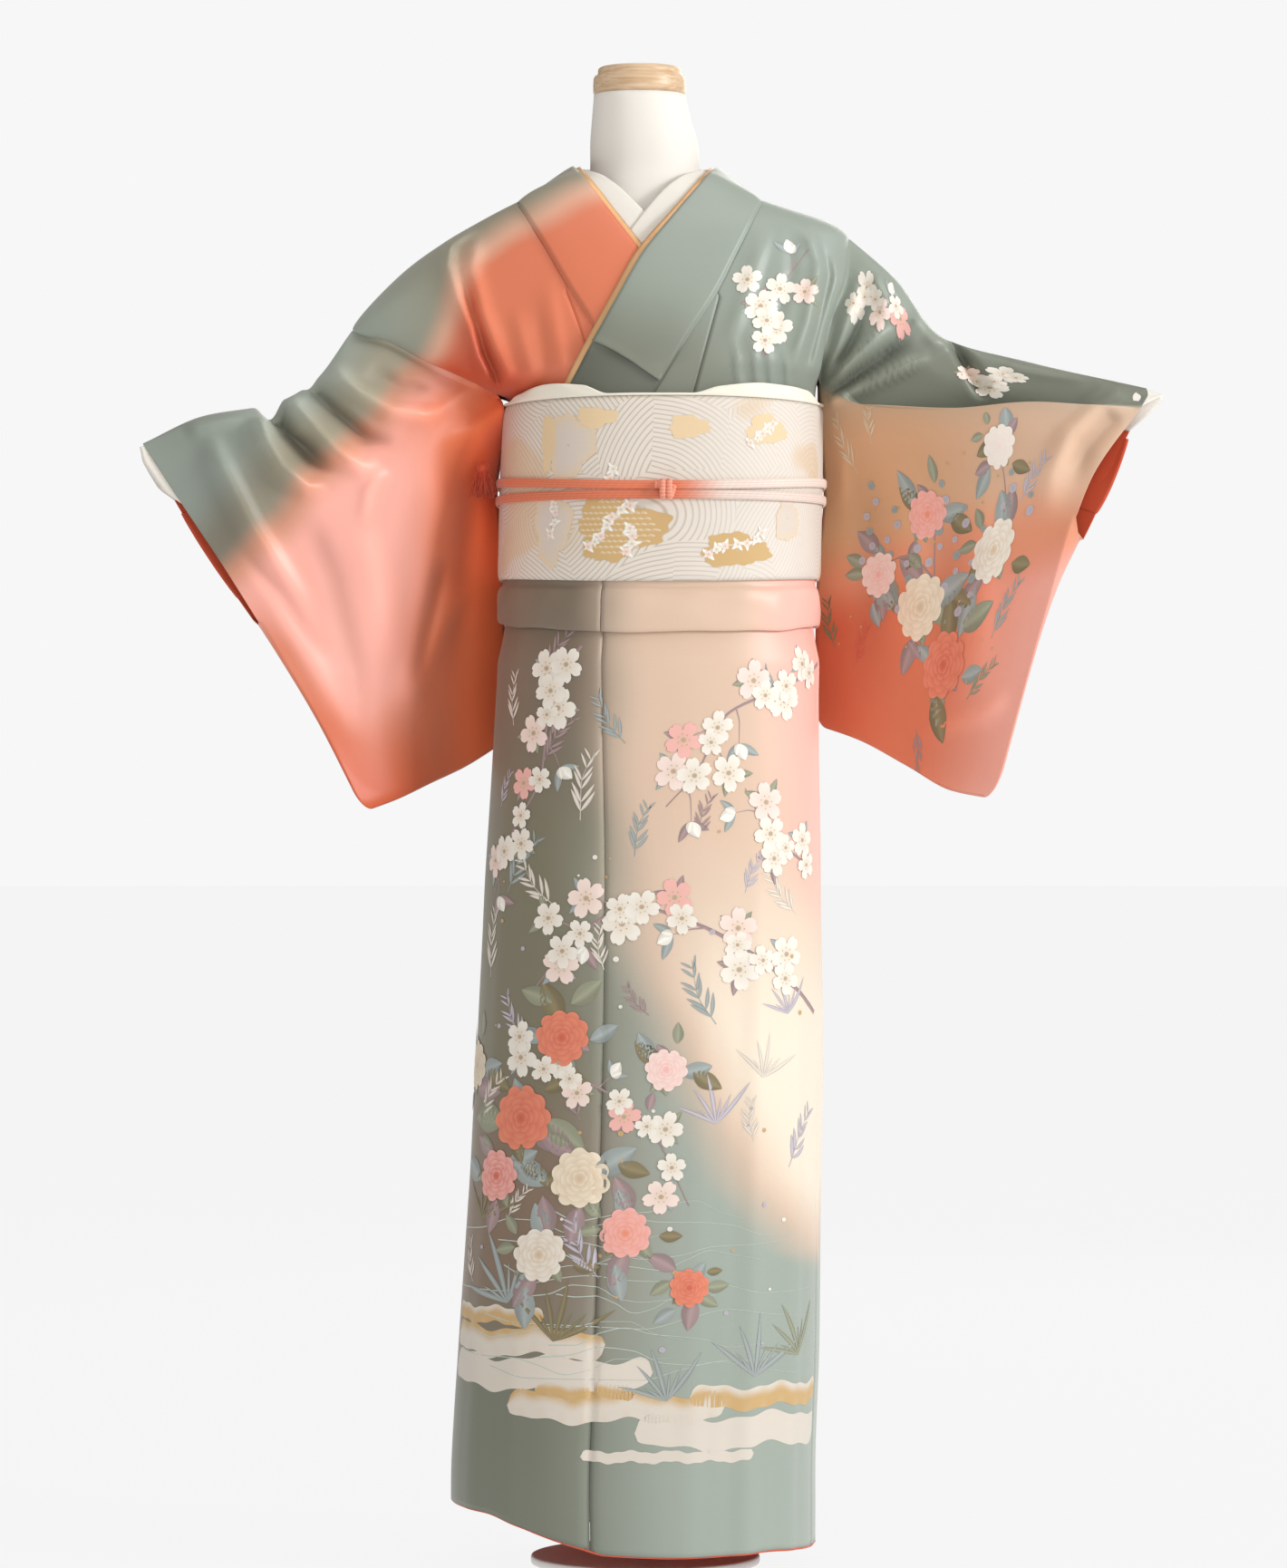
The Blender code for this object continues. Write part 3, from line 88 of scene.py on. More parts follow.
# The upper body as rings from the front centre to the edge and on to the centre back
upperRows = table(
    "frontZ frontY backZ backY rightX rightZ rightFront rightBack leftX leftZ leftFront leftBack",
    (1.0640, -0.1180, 1.064, 0.1220, -0.1455, 1.0640, -0.002, 0.002, 0.1785, 1.0640, -0.002, 0.002),
    (1.2345, -0.1175, 1.228, 0.1235, -0.1405, 1.2125, -0.006, 0.006, 0.1775, 1.2160, -0.010, 0.010),
    (1.2620, -0.1130, 1.255, 0.1260, -0.1660, 1.2260, -0.046, 0.048, 0.1830, 1.2500, -0.045, 0.045),
    (1.3020, -0.1050, 1.295, 0.1275, -0.1882, 1.2365, -0.056, 0.060, 0.1894, 1.2852, -0.048, 0.050),
    (1.3380, -0.0950, 1.330, 0.1275, -0.2276, 1.2543, -0.058, 0.056, 0.1980, 1.3129, -0.043, 0.046),
    (1.3680, -0.0850, 1.360, 0.1265, -0.2657, 1.2748, -0.050, 0.040, 0.2078, 1.3411, -0.033, 0.034),
    (1.3960, -0.0740, 1.388, 0.1250, -0.3053, 1.2905, -0.028, -0.028, 0.2124, 1.3869, -0.006, -0.006),
    (1.4240, -0.0620, 1.406, 0.1220, -0.2486, 1.3549, -0.008, -0.008, 0.1739, 1.4099, 0.002, 0.002),
    (1.4480, -0.0500, 1.420, 0.1195, -0.1911, 1.3930, 0.004, 0.004, 0.1427, 1.4165, 0.007, 0.007),
    (1.4640, -0.0350, 1.430, 0.1180, -0.1361, 1.4186, 0.010, 0.010, 0.1247, 1.4205, 0.010, 0.010),
    (1.4720, -0.0200, 1.440, 0.1080, -0.0752, 1.4625, 0.012, 0.012, 0.0742, 1.4616, 0.012, 0.012),
)


# Curves and surfaces
# Cubic that never overshoots: each slope is the harmonic mean of its neighbours' rises
def smooth(stations, values, at):
    at = np.clip(np.asarray(at, float), stations[0], stations[-1])
    low = np.clip(np.searchsorted(stations, at, side="right") - 1, 0, len(stations) - 2)
    step = stations[low + 1] - stations[low]
    t = (at - stations[low]) / step
    rise = np.diff(values) / np.diff(stations)
    product = rise[1:] * rise[:-1]
    total = np.where(product > 0, rise[1:] + rise[:-1], 1.0)
    slope = np.concatenate([rise[:1], np.where(product > 0, 2 * product / total, 0.0), rise[-1:]])
    start = (2 * t**3 - 3 * t**2 + 1) * values[low] + (t**3 - 2 * t**2 + t) * step * slope[low]
    return start + (3 * t**2 - 2 * t**3) * values[low + 1] + (t**3 - t**2) * step * slope[low + 1]


def curve(rows, name, at):  # a table's column over its first one
    return smooth(next(iter(rows.values())), rows[name], at)


def byRow(rows, name, at):  # a table's column over the number of the row
    return smooth(np.arange(float(len(rows[name]))), rows[name], at)


def stepUp(value, low, high):  # rises from 0 at low to 1 at high as 3t^2 - 2t^3
    t = np.clip((value - low) / (high - low), 0, 1)
    return t * t * (3 - 2 * t)


def rootUp(value, span):  # rises from 0 to 1 over the span as a square root does
    return np.sqrt(np.clip(value / span, 0, 1))


def bell(distance, width):  # 1 on the line, falling off as exp(-(d / w)^2)
    return np.exp(-((distance / width) ** 2))


def rounded(angle, power=planPower):  # the unit superellipse at this angle from the front
    s, c = np.sin(angle), np.cos(angle)
    return np.sign(s) * np.abs(s) ** (2 / power), np.sign(c) * np.abs(c) ** (2 / power)


def turnOf(share):  # the angle from the front at which a section reaches this share of its half width
    return np.arcsin(np.clip(share, 0, 1) ** (planPower / 2))


def trunk(angle, height, out=0.0):  # (cx + (a + out) s, -(b + out) c, height), degrees from the front
    angle, height, out = np.broadcast_arrays(np.asarray(angle, float), height, out)
    s, c = rounded(np.radians(angle))
    centre, width, depth = (curve(trunkRows, k, height) for k in ("centreX", "halfWidth", "halfDepth"))
    return joined(centre + (width + out) * s, -(depth + out) * c, height)


def edgeOf(row, side, face="front"):  # the armhole seam below the shoulder row, the ridge above it
    x, z, y = (byRow(upperRows, side + k, row) for k in ("X", "Z", "Front"))
    if face == "back":
        low = np.arange(shoulderRow + 1)
        y = np.where(np.asarray(row) < shoulderRow, smooth(low, upperRows[side + "Back"][:7], row), y)
    return joined(x, y, z)


# A point of the upper body: x = X s, y = Ye + (Yc - Ye)(1 - s^p)^(1/p), z = Zc + (Ze - Zc) s^2
def upper(row, share, side, face="front"):
    row, share = np.broadcast_arrays(np.asarray(row, float), np.asarray(share, float))
    edge = edgeOf(row, side, face)
    centreY, centreZ = byRow(upperRows, face + "Y", row), byRow(upperRows, face + "Z", row)
    hollow = np.clip(1 - np.abs(share) ** planPower, 0, 1) ** (1 / planPower)
    y = edge[..., 1] + (centreY - edge[..., 1]) * hollow
    return joined(edge[..., 0] * share, y, centreZ + (edge[..., 2] - centreZ) * share**2)


def lapShift(z):  # how far forward the left front lies at this height
    start, full, less, least = lap["heights"]
    return lap["out"] * stepUp(-z, -start, -full) - lap["less"] * stepUp(-z, -less, -least)


# The ring of the upper body whose front passes over (x, z), and the share of its width there
def rowAt(x, z):
    x, z = np.broadcast_arrays(np.asarray(x, float), np.asarray(z, float))
    rows = np.linspace(0, 10, 1601)
    row, share = np.empty(x.shape), np.empty(x.shape)
    for side, chosen in (("right", x < 0), ("left", x >= 0)):
        if not chosen.any():
            continue
        edge = edgeOf(rows, side)
        part = x[chosen][:, None] / edge[:, 0]
        centre = byRow(upperRows, "frontZ", rows)
        height = centre + (edge[:, 2] - centre) * np.minimum(part, 1) ** 2
        height = np.where((part > 1) & (rows < shoulderRow), -1.0, height)
        past = (height >= z[chosen][:, None]) | ((part > 1) & (rows > shoulderRow))
        found = np.where(past.any(axis=1), past.argmax(axis=1), len(rows) - 1)
        before, here = np.maximum(found - 1, 0), np.arange(len(found))
        span = np.maximum(height[here, found] - height[here, before], 1e-9)
        between = np.clip((z[chosen] - height[here, before]) / span, 0, 1)
        row[chosen] = rows[before] + (rows[found] - rows[before]) * between
        share[chosen] = np.minimum(x[chosen] / edgeOf(row[chosen], side)[:, 0], 1)
    return row, share


def frontAt(x, z):  # the upper body's front over (x, z)
    row, share = rowAt(x, z)
    x, z = np.broadcast_arrays(np.asarray(x, float), np.asarray(z, float))
    y = np.where(x < 0, upper(row, share, "right")[..., 1], upper(row, share, "left")[..., 1])
    return joined(x, y, z)


def onView(points):  # where a point lands in the 1420 x 1730 view
    scale = camera["pixel"] * (camera["distance"] + points[..., 1]) / camera["distance"]
    across = camera["middle"][0] + (points[..., 0] - camera["x"]) / scale
    return joined(across, camera["middle"][1] - (points[..., 2] - camera["height"]) / scale)


def fromView(across, down, y=-0.12):  # the point at depth y that lands there
    scale = camera["pixel"] * (camera["distance"] + y) / camera["distance"]
    x = camera["x"] + (np.asarray(across, float) - camera["middle"][0]) * scale
    return x, camera["height"] + (camera["middle"][1] - np.asarray(down, float)) * scale


# Distance from view points to a polyline, the share of the way along it, and on which side they lie
def alongLine(view, line):
    line = np.array(line, float)
    length = lengthAlong(line)
    best = np.full(view.shape[:-1], 1e9)
    share, side = np.zeros_like(best), np.ones_like(best)
    for i, (start, end) in enumerate(zip(line[:-1], line[1:])):
        reach = end - start
        t = np.clip(((view - start) @ reach) / (reach @ reach), 0, 1)
        away = view - (start + t[..., None] * reach)
        distance = np.hypot(away[..., 0], away[..., 1])
        nearer = distance < best
        best = np.where(nearer, distance, best)
        share = np.where(nearer, (length[i] + t * (length[i + 1] - length[i])) / length[-1], share)
        side = np.where(nearer, np.sign(reach[0] * away[..., 1] - reach[1] * away[..., 0]), side)
    return best, share, side


# Creases listed one by one: each is height (mm, towards the viewer), width on its left and on its right (px),
# how its ends fade, and its line. Shift = height * bell(distance) * fade(share)
def creaseShift(points, creases):
    view = onView(points)
    shift = np.zeros(view.shape[:-1])
    for height, widthA, widthB, fadeIn, fadeOut, line in creases:
        distance, share, side = alongLine(view, line)
        width = np.where(side > 0, widthA, widthB)
        ends = stepUp(share, 0, max(fadeIn, 1e-3)) * stepUp(-share, -1, -1 + max(fadeOut, 1e-3))
        shift += height * 0.001 * bell(distance, width) * ends
    return shift


def worn(relief):  # painted crease shade: the dye darker in a valley and a little lighter on a ridge
    return np.clip(1 + 22 * relief, 0.55, 1.25)[..., None]


def normalsOf(grid):  # unit normals of a grid, from the cross product of its two directions
    return unit(np.cross(np.gradient(grid, axis=0), np.gradient(grid, axis=1)))


def movedOut(grid, distance, inside):  # the grid moved along its normals, away from the point inside
    normal = normalsOf(grid)
    side = np.sign((normal * (grid - np.asarray(inside))).sum())
    return grid + normal * side * np.asarray(distance)[..., None]


def ripple(points, size, depth, turn=0.0):  # low uneven swelling: three sine waves at odd angles
    x, z = points[..., 0] + turn, points[..., 2]
    waves = np.sin(x / size + 1.3 * np.sin(z / (2.3 * size)))
    waves = waves + 0.7 * np.sin((0.6 * x + 0.8 * z) / (1.4 * size) + 2.1)
    return depth * (waves + 0.5 * np.sin((0.8 * x - 0.6 * z) / (0.8 * size) + 0.7)) / 2.2


def gridFaces(rows, columns, wrap=False):  # four-cornered faces between the points of a grid
    i, j = np.meshgrid(np.arange(rows - 1), np.arange(columns if wrap else columns - 1), indexing="ij")
    k = (j + 1) % columns
    low, high = i * columns, (i + 1) * columns
    return np.stack([low + j, low + k, high + k, high + j], axis=-1).reshape(-1, 4)


def newPiece(name, points, faces, finishes, dyes=None, uv=None):
    mesh = bpy.data.meshes.new(name + "_detail")
    points = np.asarray(points, np.float32).reshape(-1, 3)
    faces = np.asarray(faces, np.int32)
    corners = faces.shape[1]
    mesh.vertices.add(len(points))
    mesh.vertices.foreach_set("co", points.ravel())
    mesh.loops.add(faces.size)
    mesh.loops.foreach_set("vertex_index", faces.ravel())
    mesh.polygons.add(len(faces))
    mesh.polygons.foreach_set("loop_start", np.arange(len(faces), dtype=np.int32) * corners)
    mesh.polygons.foreach_set("use_smooth", np.ones(len(faces), bool))
    mesh.update(calc_edges=True)
    if dyes is not None:
        colours = np.ones((len(points), 4), np.float32)
        colours[:, :3] = np.asarray(dyes).reshape(-1, 3)
        mesh.color_attributes.new("dyeAndShade", "FLOAT_COLOR", "POINT").data.foreach_set("color", colours.ravel())
    if uv is not None:
        at = np.asarray(uv, np.float32).reshape(-1, 2)[faces.ravel()]
        mesh.uv_layers.new(name="cut").data.foreach_set("uv", at.ravel())
    made = bpy.data.objects.new(mesh.name, mesh)
    scene.collection.objects.link(made)
    for finish in finishes if isinstance(finishes, (list, tuple)) else [finishes]:
        mesh.materials.append(finish)
    return made


def turnedOut(points, faces, outward):  # the faces turned so that most look along outward
    corner = np.asarray(points, float).reshape(-1, 3)[faces]
    normal = np.cross(corner[:, 1] - corner[:, 0], corner[:, 2] - corner[:, 0])
    centre = corner.mean(axis=1)
    way = outward(centre) if callable(outward) else np.asarray(outward, float)
    return faces[:, ::-1] if (normal * way).sum() < 0 else faces


def fromAxis(centre):  # away from the upright axis of the body
    return (centre - (0.01, 0.0, 0.0)) * (1, 1, 0)


def cutSize(grid):  # the cloth's own coordinates in metres: lengths along both directions of the grid
    across = np.linalg.norm(np.diff(grid, axis=1), axis=-1).mean(axis=0)
    down = np.linalg.norm(np.diff(grid, axis=0), axis=-1).mean(axis=1)
    return joined(summed(across)[None, :], summed(down)[:, None])


def addWall(piece, wall, inner=0):
    thick = piece.modifiers.new("wall", "SOLIDIFY")
    thick.thickness = wall
    thick.offset = -1
    thick.use_even_offset = False
    thick.material_offset = inner


# A cloth from one or more grids, merged where they meet, with its wall on the inner side
def clothFrom(name, grids, finish, dyeAndShade, outward=fromAxis, wall=None):
    points, faces, places, start = [], [], [], 0
    for grid in grids:
        shape = grid.shape
        faces.append(turnedOut(grid, gridFaces(shape[0], shape[1]), outward) + start)
        points.append(grid.reshape(-1, 3))
        places.append(cutSize(grid).reshape(-1, 2))
        start += shape[0] * shape[1]
    points, faces, places = np.concatenate(points), np.concatenate(faces), np.concatenate(places)
    made = newPiece(name, points, faces, finish, dyeAndShade(points) if callable(dyeAndShade) else dyeAndShade, places)
    if len(grids) > 1:
        mergeNear(made, 1e-5)
    addWall(made, wall or cloth["wall"], len(made.data.materials) - 1)
    return settle(made)


def mergeNear(piece, distance):
    shape = bmesh.new()
    shape.from_mesh(piece.data)
    bmesh.ops.remove_doubles(shape, verts=shape.verts, dist=distance)
    shape.to_mesh(piece.data)
    shape.free()


# The piece rides on the root and stands for the solid of its name
def settle(piece, solid=True):
    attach(piece, "root")
    name = piece.data.name.removesuffix("_detail")
    if solid:
        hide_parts(name)
    return piece


# A closed solid through rings of points, each ring joined to the next, the ends capped unless it is a loop
def closedFrom(name, rings, finish, dyeAndShade, loop=False, solid=True):
    rows, columns = rings.shape[:2]
    faces = gridFaces(rows + 1 if loop else rows, columns, True) % (rows * columns)
    made = newPiece(name, rings, faces, finish, dyeAndShade)
    shape = bmesh.new()
    shape.from_mesh(made.data)
    if not loop:
        shape.verts.ensure_lookup_table()
        for first in (0, (rows - 1) * columns):
            shape.faces.new([shape.verts[first + k] for k in range(columns)])
    bmesh.ops.recalc_face_normals(shape, faces=shape.faces)
    shape.to_mesh(made.data)
    shape.free()
    return settle(made, solid)


# Finishes
def wire(tree, node, inputs):  # each input is set to its value, or linked where that is another node's output
    for key, value in inputs.items():
        if isinstance(value, bpy.types.NodeSocket):
            tree.links.new(value, node.inputs[key])
        else:
            node.inputs[key].default_value = value
    return node


def nodeMaker(tree):  # gives add(kind, inputs, settings), which makes a wired node
    def add(kind, inputs=(), **settings):
        node = tree.nodes.new("ShaderNode" + kind)
        for key, value in settings.items():
            setattr(node, key, value)
        return wire(tree, node, dict(inputs))

    return add


def started(name):  # a new material, its add, and a function that wires its surface
    made = bpy.data.materials.new(name)
    made.use_nodes = True
    tree = made.node_tree
    return made, nodeMaker(tree), lambda inputs: wire(tree, tree.nodes["Principled BSDF"], inputs)


def maths(add, operation, *values):
    return add("Math", dict(enumerate(values)), operation=operation).outputs[0]


def spread(add, value, centre, half):  # noise of 0 to 1 carried to centre - half to centre + half
    return add("MapRange", {"Value": value, "To Min": centre - half, "To Max": centre + half}).outputs[0]


def bumped(add, height, strength, distance):
    return add("Bump", {"Height": height, "Strength": strength, "Distance": distance}).outputs[0]


def ramp(add, value, *stops):  # a colour ramp of two stops, each a position and a colour
    node = add("ValToRGB", {0: value})
    for element, (position, colour) in zip(node.color_ramp.elements, stops):
        element.position, element.color = position, (*colour, 1)
    return node.outputs[0]


# Silk: colour = dye, with any painted shade it carries, * (1 +- variation * noise), bump = thread waves
# across the cut + fine crepe noise
def wovenFinish(name, look):
    look = {**plainCloth, **look}
    made, add, surface = started(name)
    place = add("TexCoord").outputs
    if "colour" in look:
        colour = add("RGB").outputs[0]
        colour.default_value = (*look["colour"], 1)
    else:
        colour = add("Attribute", attribute_name="dyeAndShade").outputs["Color"]
    cloudy = add("TexNoise", {"Vector": place["Object"], "Scale": 9.0, "Detail": 5.0}).outputs[0]
    stretched = add("Mapping", {"Vector": place["UV"], "Scale": (60, 1400, 60)}).outputs[0]
    # faint threads along the cut
    slub = add("TexNoise", {"Vector": stretched, "Scale": 1.0, "Detail": 3.0}).outputs[0]
    clouds, lengths = spread(add, cloudy, 1, look["variation"]), spread(add, slub, 1, look["slub"])
    uneven = maths(add, "MULTIPLY", clouds, lengths)
    tint = add("VectorMath", {0: colour, "Scale": uneven}, operation="SCALE").outputs[0]
    threads = {"Vector": place["UV"], "Scale": look["threads"], "Distortion": 0.6, "Detail Scale": 2.0}
    warp, weft = (add("TexWave", threads, bands_direction=way).outputs["Fac"] for way in "XY")
    crepe = add("TexNoise", {"Vector": place["Object"], "Scale": look["crepe"], "Detail": 3.0}).outputs[0]
    relief = maths(add, "MULTIPLY_ADD", maths(add, "MULTIPLY", warp, weft), look["threadShare"], crepe)
    surface({
        "Base Color": tint, "Normal": bumped(add, relief, look["bump"], look["depth"]),
        "Roughness": spread(add, cloudy, look["roughness"], 0.06), "Sheen Weight": look["sheen"],
        "Sheen Roughness": 0.45, "Sheen Tint": (1, 0.97, 0.93, 1), "Specular IOR Level": look["specular"],
        "Metallic": look["metallic"],
    })
    return made


plainCloth = {
    "variation": 0.06, "slub": 0.03, "threads": 450, "threadShare": 0.5, "crepe": 700, "bump": 0.25,
    "depth": 0.0002, "sheen": 0.3, "specular": 0.35, "metallic": 0.0,
}
looks = {  # what differs from plain cloth; a cloth without a colour takes its dye and painted shade from the mesh
    "silk": {"roughness": 0.40, "sheen": 0.2, "specular": 0.42, "bump": 0.22, "variation": 0.035},
    "paint": {"roughness": 0.55, "sheen": 0.15, "specular": 0.3, "variation": 0.05},
    "lining": {"colour": (0.62, 0.085, 0.032), "roughness": 0.5},
    "white": {
        "colour": (0.80, 0.765, 0.70), "roughness": 0.6, "sheen": 0.25, "crepe": 520, "bump": 0.35,
        "depth": 0.0003,
    },
    "cream": {
        "colour": (0.84, 0.80, 0.69), "roughness": 0.55, "sheen": 0.25, "crepe": 380, "bump": 0.6,
        "depth": 0.0004,
    },
    "gold": {
        "colour": (0.74, 0.43, 0.20), "roughness": 0.42, "sheen": 0.2, "specular": 0.6, "metallic": 0.35,
    },
    "cord": {"roughness": 0.52, "sheen": 0.35, "threads": 700, "bump": 0.5, "slub": 0.08},
    "linen": {
        "colour": (0.80, 0.765, 0.71), "roughness": 0.72, "sheen": 0.15, "threads": 520, "threadShare": 1.6,
        "bump": 0.5, "slub": 0.05, "variation": 0.03,
    },
}
finishes = {name: wovenFinish(name + "Finish", look) for name, look in looks.items()}


# Wood: noise stretched along x gives the grain, which sets its colour between a dark and a light tone and its
# bump
def woodFinish(look):
    made, add, surface = started("capWood")
    place = add("TexCoord").outputs["Object"]
    stretched = add("Mapping", {"Vector": place, "Scale": (7, 60, 260)}).outputs[0]
    grain = add("TexNoise", {"Vector": stretched, "Scale": 1.6, "Detail": 6.0, "Distortion": 0.7}).outputs[0]
    surface({
        "Base Color": ramp(add, grain, (0.33, look["dark"]), (0.68, look["light"])), "Roughness": 0.42,
        "Normal": bumped(add, grain, 0.25, 0.0003), "Coat Weight": 0.15, "Coat Roughness": 0.3,
    })
    return made


# Paint and steel: an even colour broken by faint cloudy noise, with a fine orange-peel bump
def hardFinish(name, look):
    made, add, surface = started(name)
    place = add("TexCoord").outputs["Object"]
    noise = add("TexNoise", {"Vector": place, "Scale": look["grain"], "Detail": 4.0}).outputs[0]
    surface({
        "Base Color": ramp(add, noise, (0, 0.93 * np.array(look["colour"])), (1, look["colour"])),
        "Normal": bumped(add, noise, 0.1, 0.0001), "Roughness": look["roughness"],
        "Metallic": look["metallic"],
    })
    return made


wood = woodFinish({"dark": (0.55, 0.355, 0.195), "light": (0.74, 0.55, 0.37)})
basePaint = hardFinish("basePaint", {
    "colour": (0.84, 0.83, 0.81), "grain": 160, "roughness": 0.45, "metallic": 0.0,
})
poleSteel = hardFinish("poleSteel", {
    "colour": (0.62, 0.62, 0.63), "grain": 90, "roughness": 0.32, "metallic": 1.0,
})
print("finishes made")

# Dyes
dyes = {
    "sage": (0.345, 0.395, 0.345), "deepSage": (0.200, 0.215, 0.165), "olive": (0.225, 0.205, 0.150),
    "bark": (0.200, 0.145, 0.105), "coral": (0.700, 0.195, 0.100), "deepCoral": (0.560, 0.080, 0.028),
    "pink": (0.900, 0.450, 0.375), "peach": (0.700, 0.390, 0.270), "tan": (0.690, 0.500, 0.375),
    "ochre": (0.560, 0.320, 0.175), "cream": (0.860, 0.755, 0.615),
}
dyes = {name: np.array(value) for name, value in dyes.items()}


def blended(under, over, share):  # under where share is 0, over where it is 1
    share = np.clip(np.asarray(share, float), 0, 1)[..., None]
    return under * (1 - share) + np.asarray(over) * share


def allOver(name, places, factor=1.0):  # one dye at every place
    return np.broadcast_to(dyes[name] * factor, places.shape + (3,))


def mottle(view, size, strength):  # a soft uneven edge for a brushed dye: three sine waves, in pixels
    u, v = view[..., 0] / size, view[..., 1] / size
    waves = np.sin(u + 1.7 * np.sin(0.7 * v)) + np.sin(1.3 * v + 1.1 * np.sin(0.9 * u))
    return strength * (waves + 0.6 * np.sin(2.1 * u - 1.6 * v)) / 2.6


# Each dye is laid over the last where its soft mask says, with edges that follow lines of the layout
def skirtDye(view):
    u, v = view[..., 0] + mottle(view, 42, 7), view[..., 1] + mottle(view[..., ::-1], 35, 8)
    levels = [640, 850, 1000, 1100, 1200, 1300, 1380, 1430]
    middle = np.interp(v, levels, [668, 672, 690, 716, 760, 815, 880, 990])
    bark = dyes["bark"] * (1.15, 1.1, 1.05)
    side = blended(allOver("olive", u, (0.92, 0.92, 0.85)), bark, stepUp(v, 1150, 1300))
    side = blended(side, dyes["deepSage"] * 0.95, stepUp(v, 1380, 1560))
    base = blended(side, dyes["sage"], stepUp(u, 590, 780))
    base = blended(base, dyes["bark"], 0.75 * (1 - stepUp(v, 740, 960)) * (1 - stepUp(u, 640, 700)))
    colour = blended(base, dyes["tan"], stepUp(u, middle - 45, middle + 45))
    colour = blended(colour, dyes["cream"], stepUp(v, 880, 1180) * stepUp(u, middle + 5, middle + 90))
    edge = np.interp(v, [640, 800, 900, 1000, 1060], [848, 856, 874, 896, 930])
    blush = stepUp(u, edge - 38, edge + 34) * (1 - stepUp(v, 960, 1080))
    return blended(colour, dyes["pink"] * (1, 1.1, 1.12), blush)


# The edge where green turns to coral runs from the neck over the shoulder and out along the sleeve
dyeEdge = table(
    "down across", (176, 722), (204, 664), (222, 628), (240, 592), (256, 560), (272, 532), (290, 514),
    (320, 502), (350, 494), (390, 476), (430, 446), (470, 404), (520, 356), (570, 312), (610, 276),
    (640, 246), (700, 200),
)


def pastEdge(u, v):  # how far inside the edge, in pixels, square to it
    slope = np.gradient(dyeEdge["across"], dyeEdge["down"])
    across = np.interp(v, dyeEdge["down"], dyeEdge["across"])
    return (u - across) / np.sqrt(1 + np.interp(v, dyeEdge["down"], slope) ** 2)


def chestDye(view, side):
    u, v = view[..., 0] + mottle(view, 30, 5), view[..., 1] + mottle(view, 37, 5)
    sage = allOver("sage", u)
    if side == "left":
        # the left front: sage deepening towards the lower middle, deeper dye with painted shade below the
        # over-collar's end
        low = stepUp(v + 0.35 * (800 - u), 320, 430) * (1 - stepUp(u, 740, 880))
        return blended(sage * 0.88, dyes["deepSage"] * 0.9, 0.62 * low + 0.3 * stepUp(v, 250, 400))
    inside = pastEdge(u, v)
    green = blended(sage, dyes["olive"] * (1.25, 1.15, 1.0), 0.7 * stepUp(u, 380, 520))
    colour = blended(green, dyes["peach"], stepUp(inside, -24, 6))
    colour = blended(colour, dyes["coral"], stepUp(inside, -2, 26))
    # painted shade in the fold below the arm, and deeper coral lower down
    fold = stepUp(v - 0.5 * (u - 530), 350, 425) * (1 - stepUp(u, 560, 640))
    deep = 0.9 * fold + 0.25 * stepUp(v, 360, 440)
    colour = blended(colour, dyes["deepCoral"], deep * stepUp(inside, 0, 40))
    pit = bell(u - 528 - 0.3 * (v - 395), 15) * bell(v - 395, 48)  # the shadow in the armpit's deepest fold
    return blended(colour, dyes["deepCoral"] * 0.8, 0.8 * pit)


# Green from the shoulder to the cuff, a dull peach edge, pink, then deep coral by the body
def rightSleeveDye(view, down):
    u, v = view[..., 0] + mottle(view, 34, 6), view[..., 1] + mottle(view, 31, 6)
    inside = pastEdge(u, v)
    green = blended(allOver("sage", u, 1.02), dyes["olive"] * 1.2, stepUp(inside, -95, -30))
    # painted shade: the green darker towards the sleeve's outer edge, lighter further in
    green = green * (0.70 + 0.30 * stepUp(u, 235, 320) + 0.25 * stepUp(u, 330, 430))[..., None]
    colour = blended(green, dyes["peach"] * (0.85, 0.68, 0.62), stepUp(inside, -26, 6))
    colour = blended(colour, dyes["pink"] * (0.98, 0.90, 0.88), stepUp(inside, -4, 34))
    deep = stepUp(u + 0.2 * (v - 600), 430, 545)
    top = 1 - stepUp(v, 430, 540) * (1 - stepUp(u, 430, 520))
    colour = blended(colour, dyes["coral"], np.clip(deep + 0.75 * top, 0, 1) * stepUp(inside, 4, 44))
    # deeper coral along the sleeve's outer edge and at its foot, and painted light by the body, where the
    # body's shadow falls
    outer = np.interp(v, [600, 640, 700, 760, 830, 900], [240, 262, 300, 332, 368, 400])
    colour = blended(colour, dyes["coral"], 0.85 * (1 - stepUp(u, outer, outer + 34)) * stepUp(v, 640, 720))
    colour = blended(colour, dyes["coral"] * 0.92, 0.95 * stepUp(v - 0.12 * (u - 400), 730, 840))
    low = stepUp(v - 0.35 * (u - 400), 765, 880)
    colour = blended(colour, dyes["deepCoral"] * (1.1, 1.3, 1.3), 0.85 * low)
    light = stepUp(u, 475, 545) * stepUp(inside, 40, 110)
    return blended(colour, dyes["coral"] * (1.7, 1.1, 0.65), 0.75 * light)


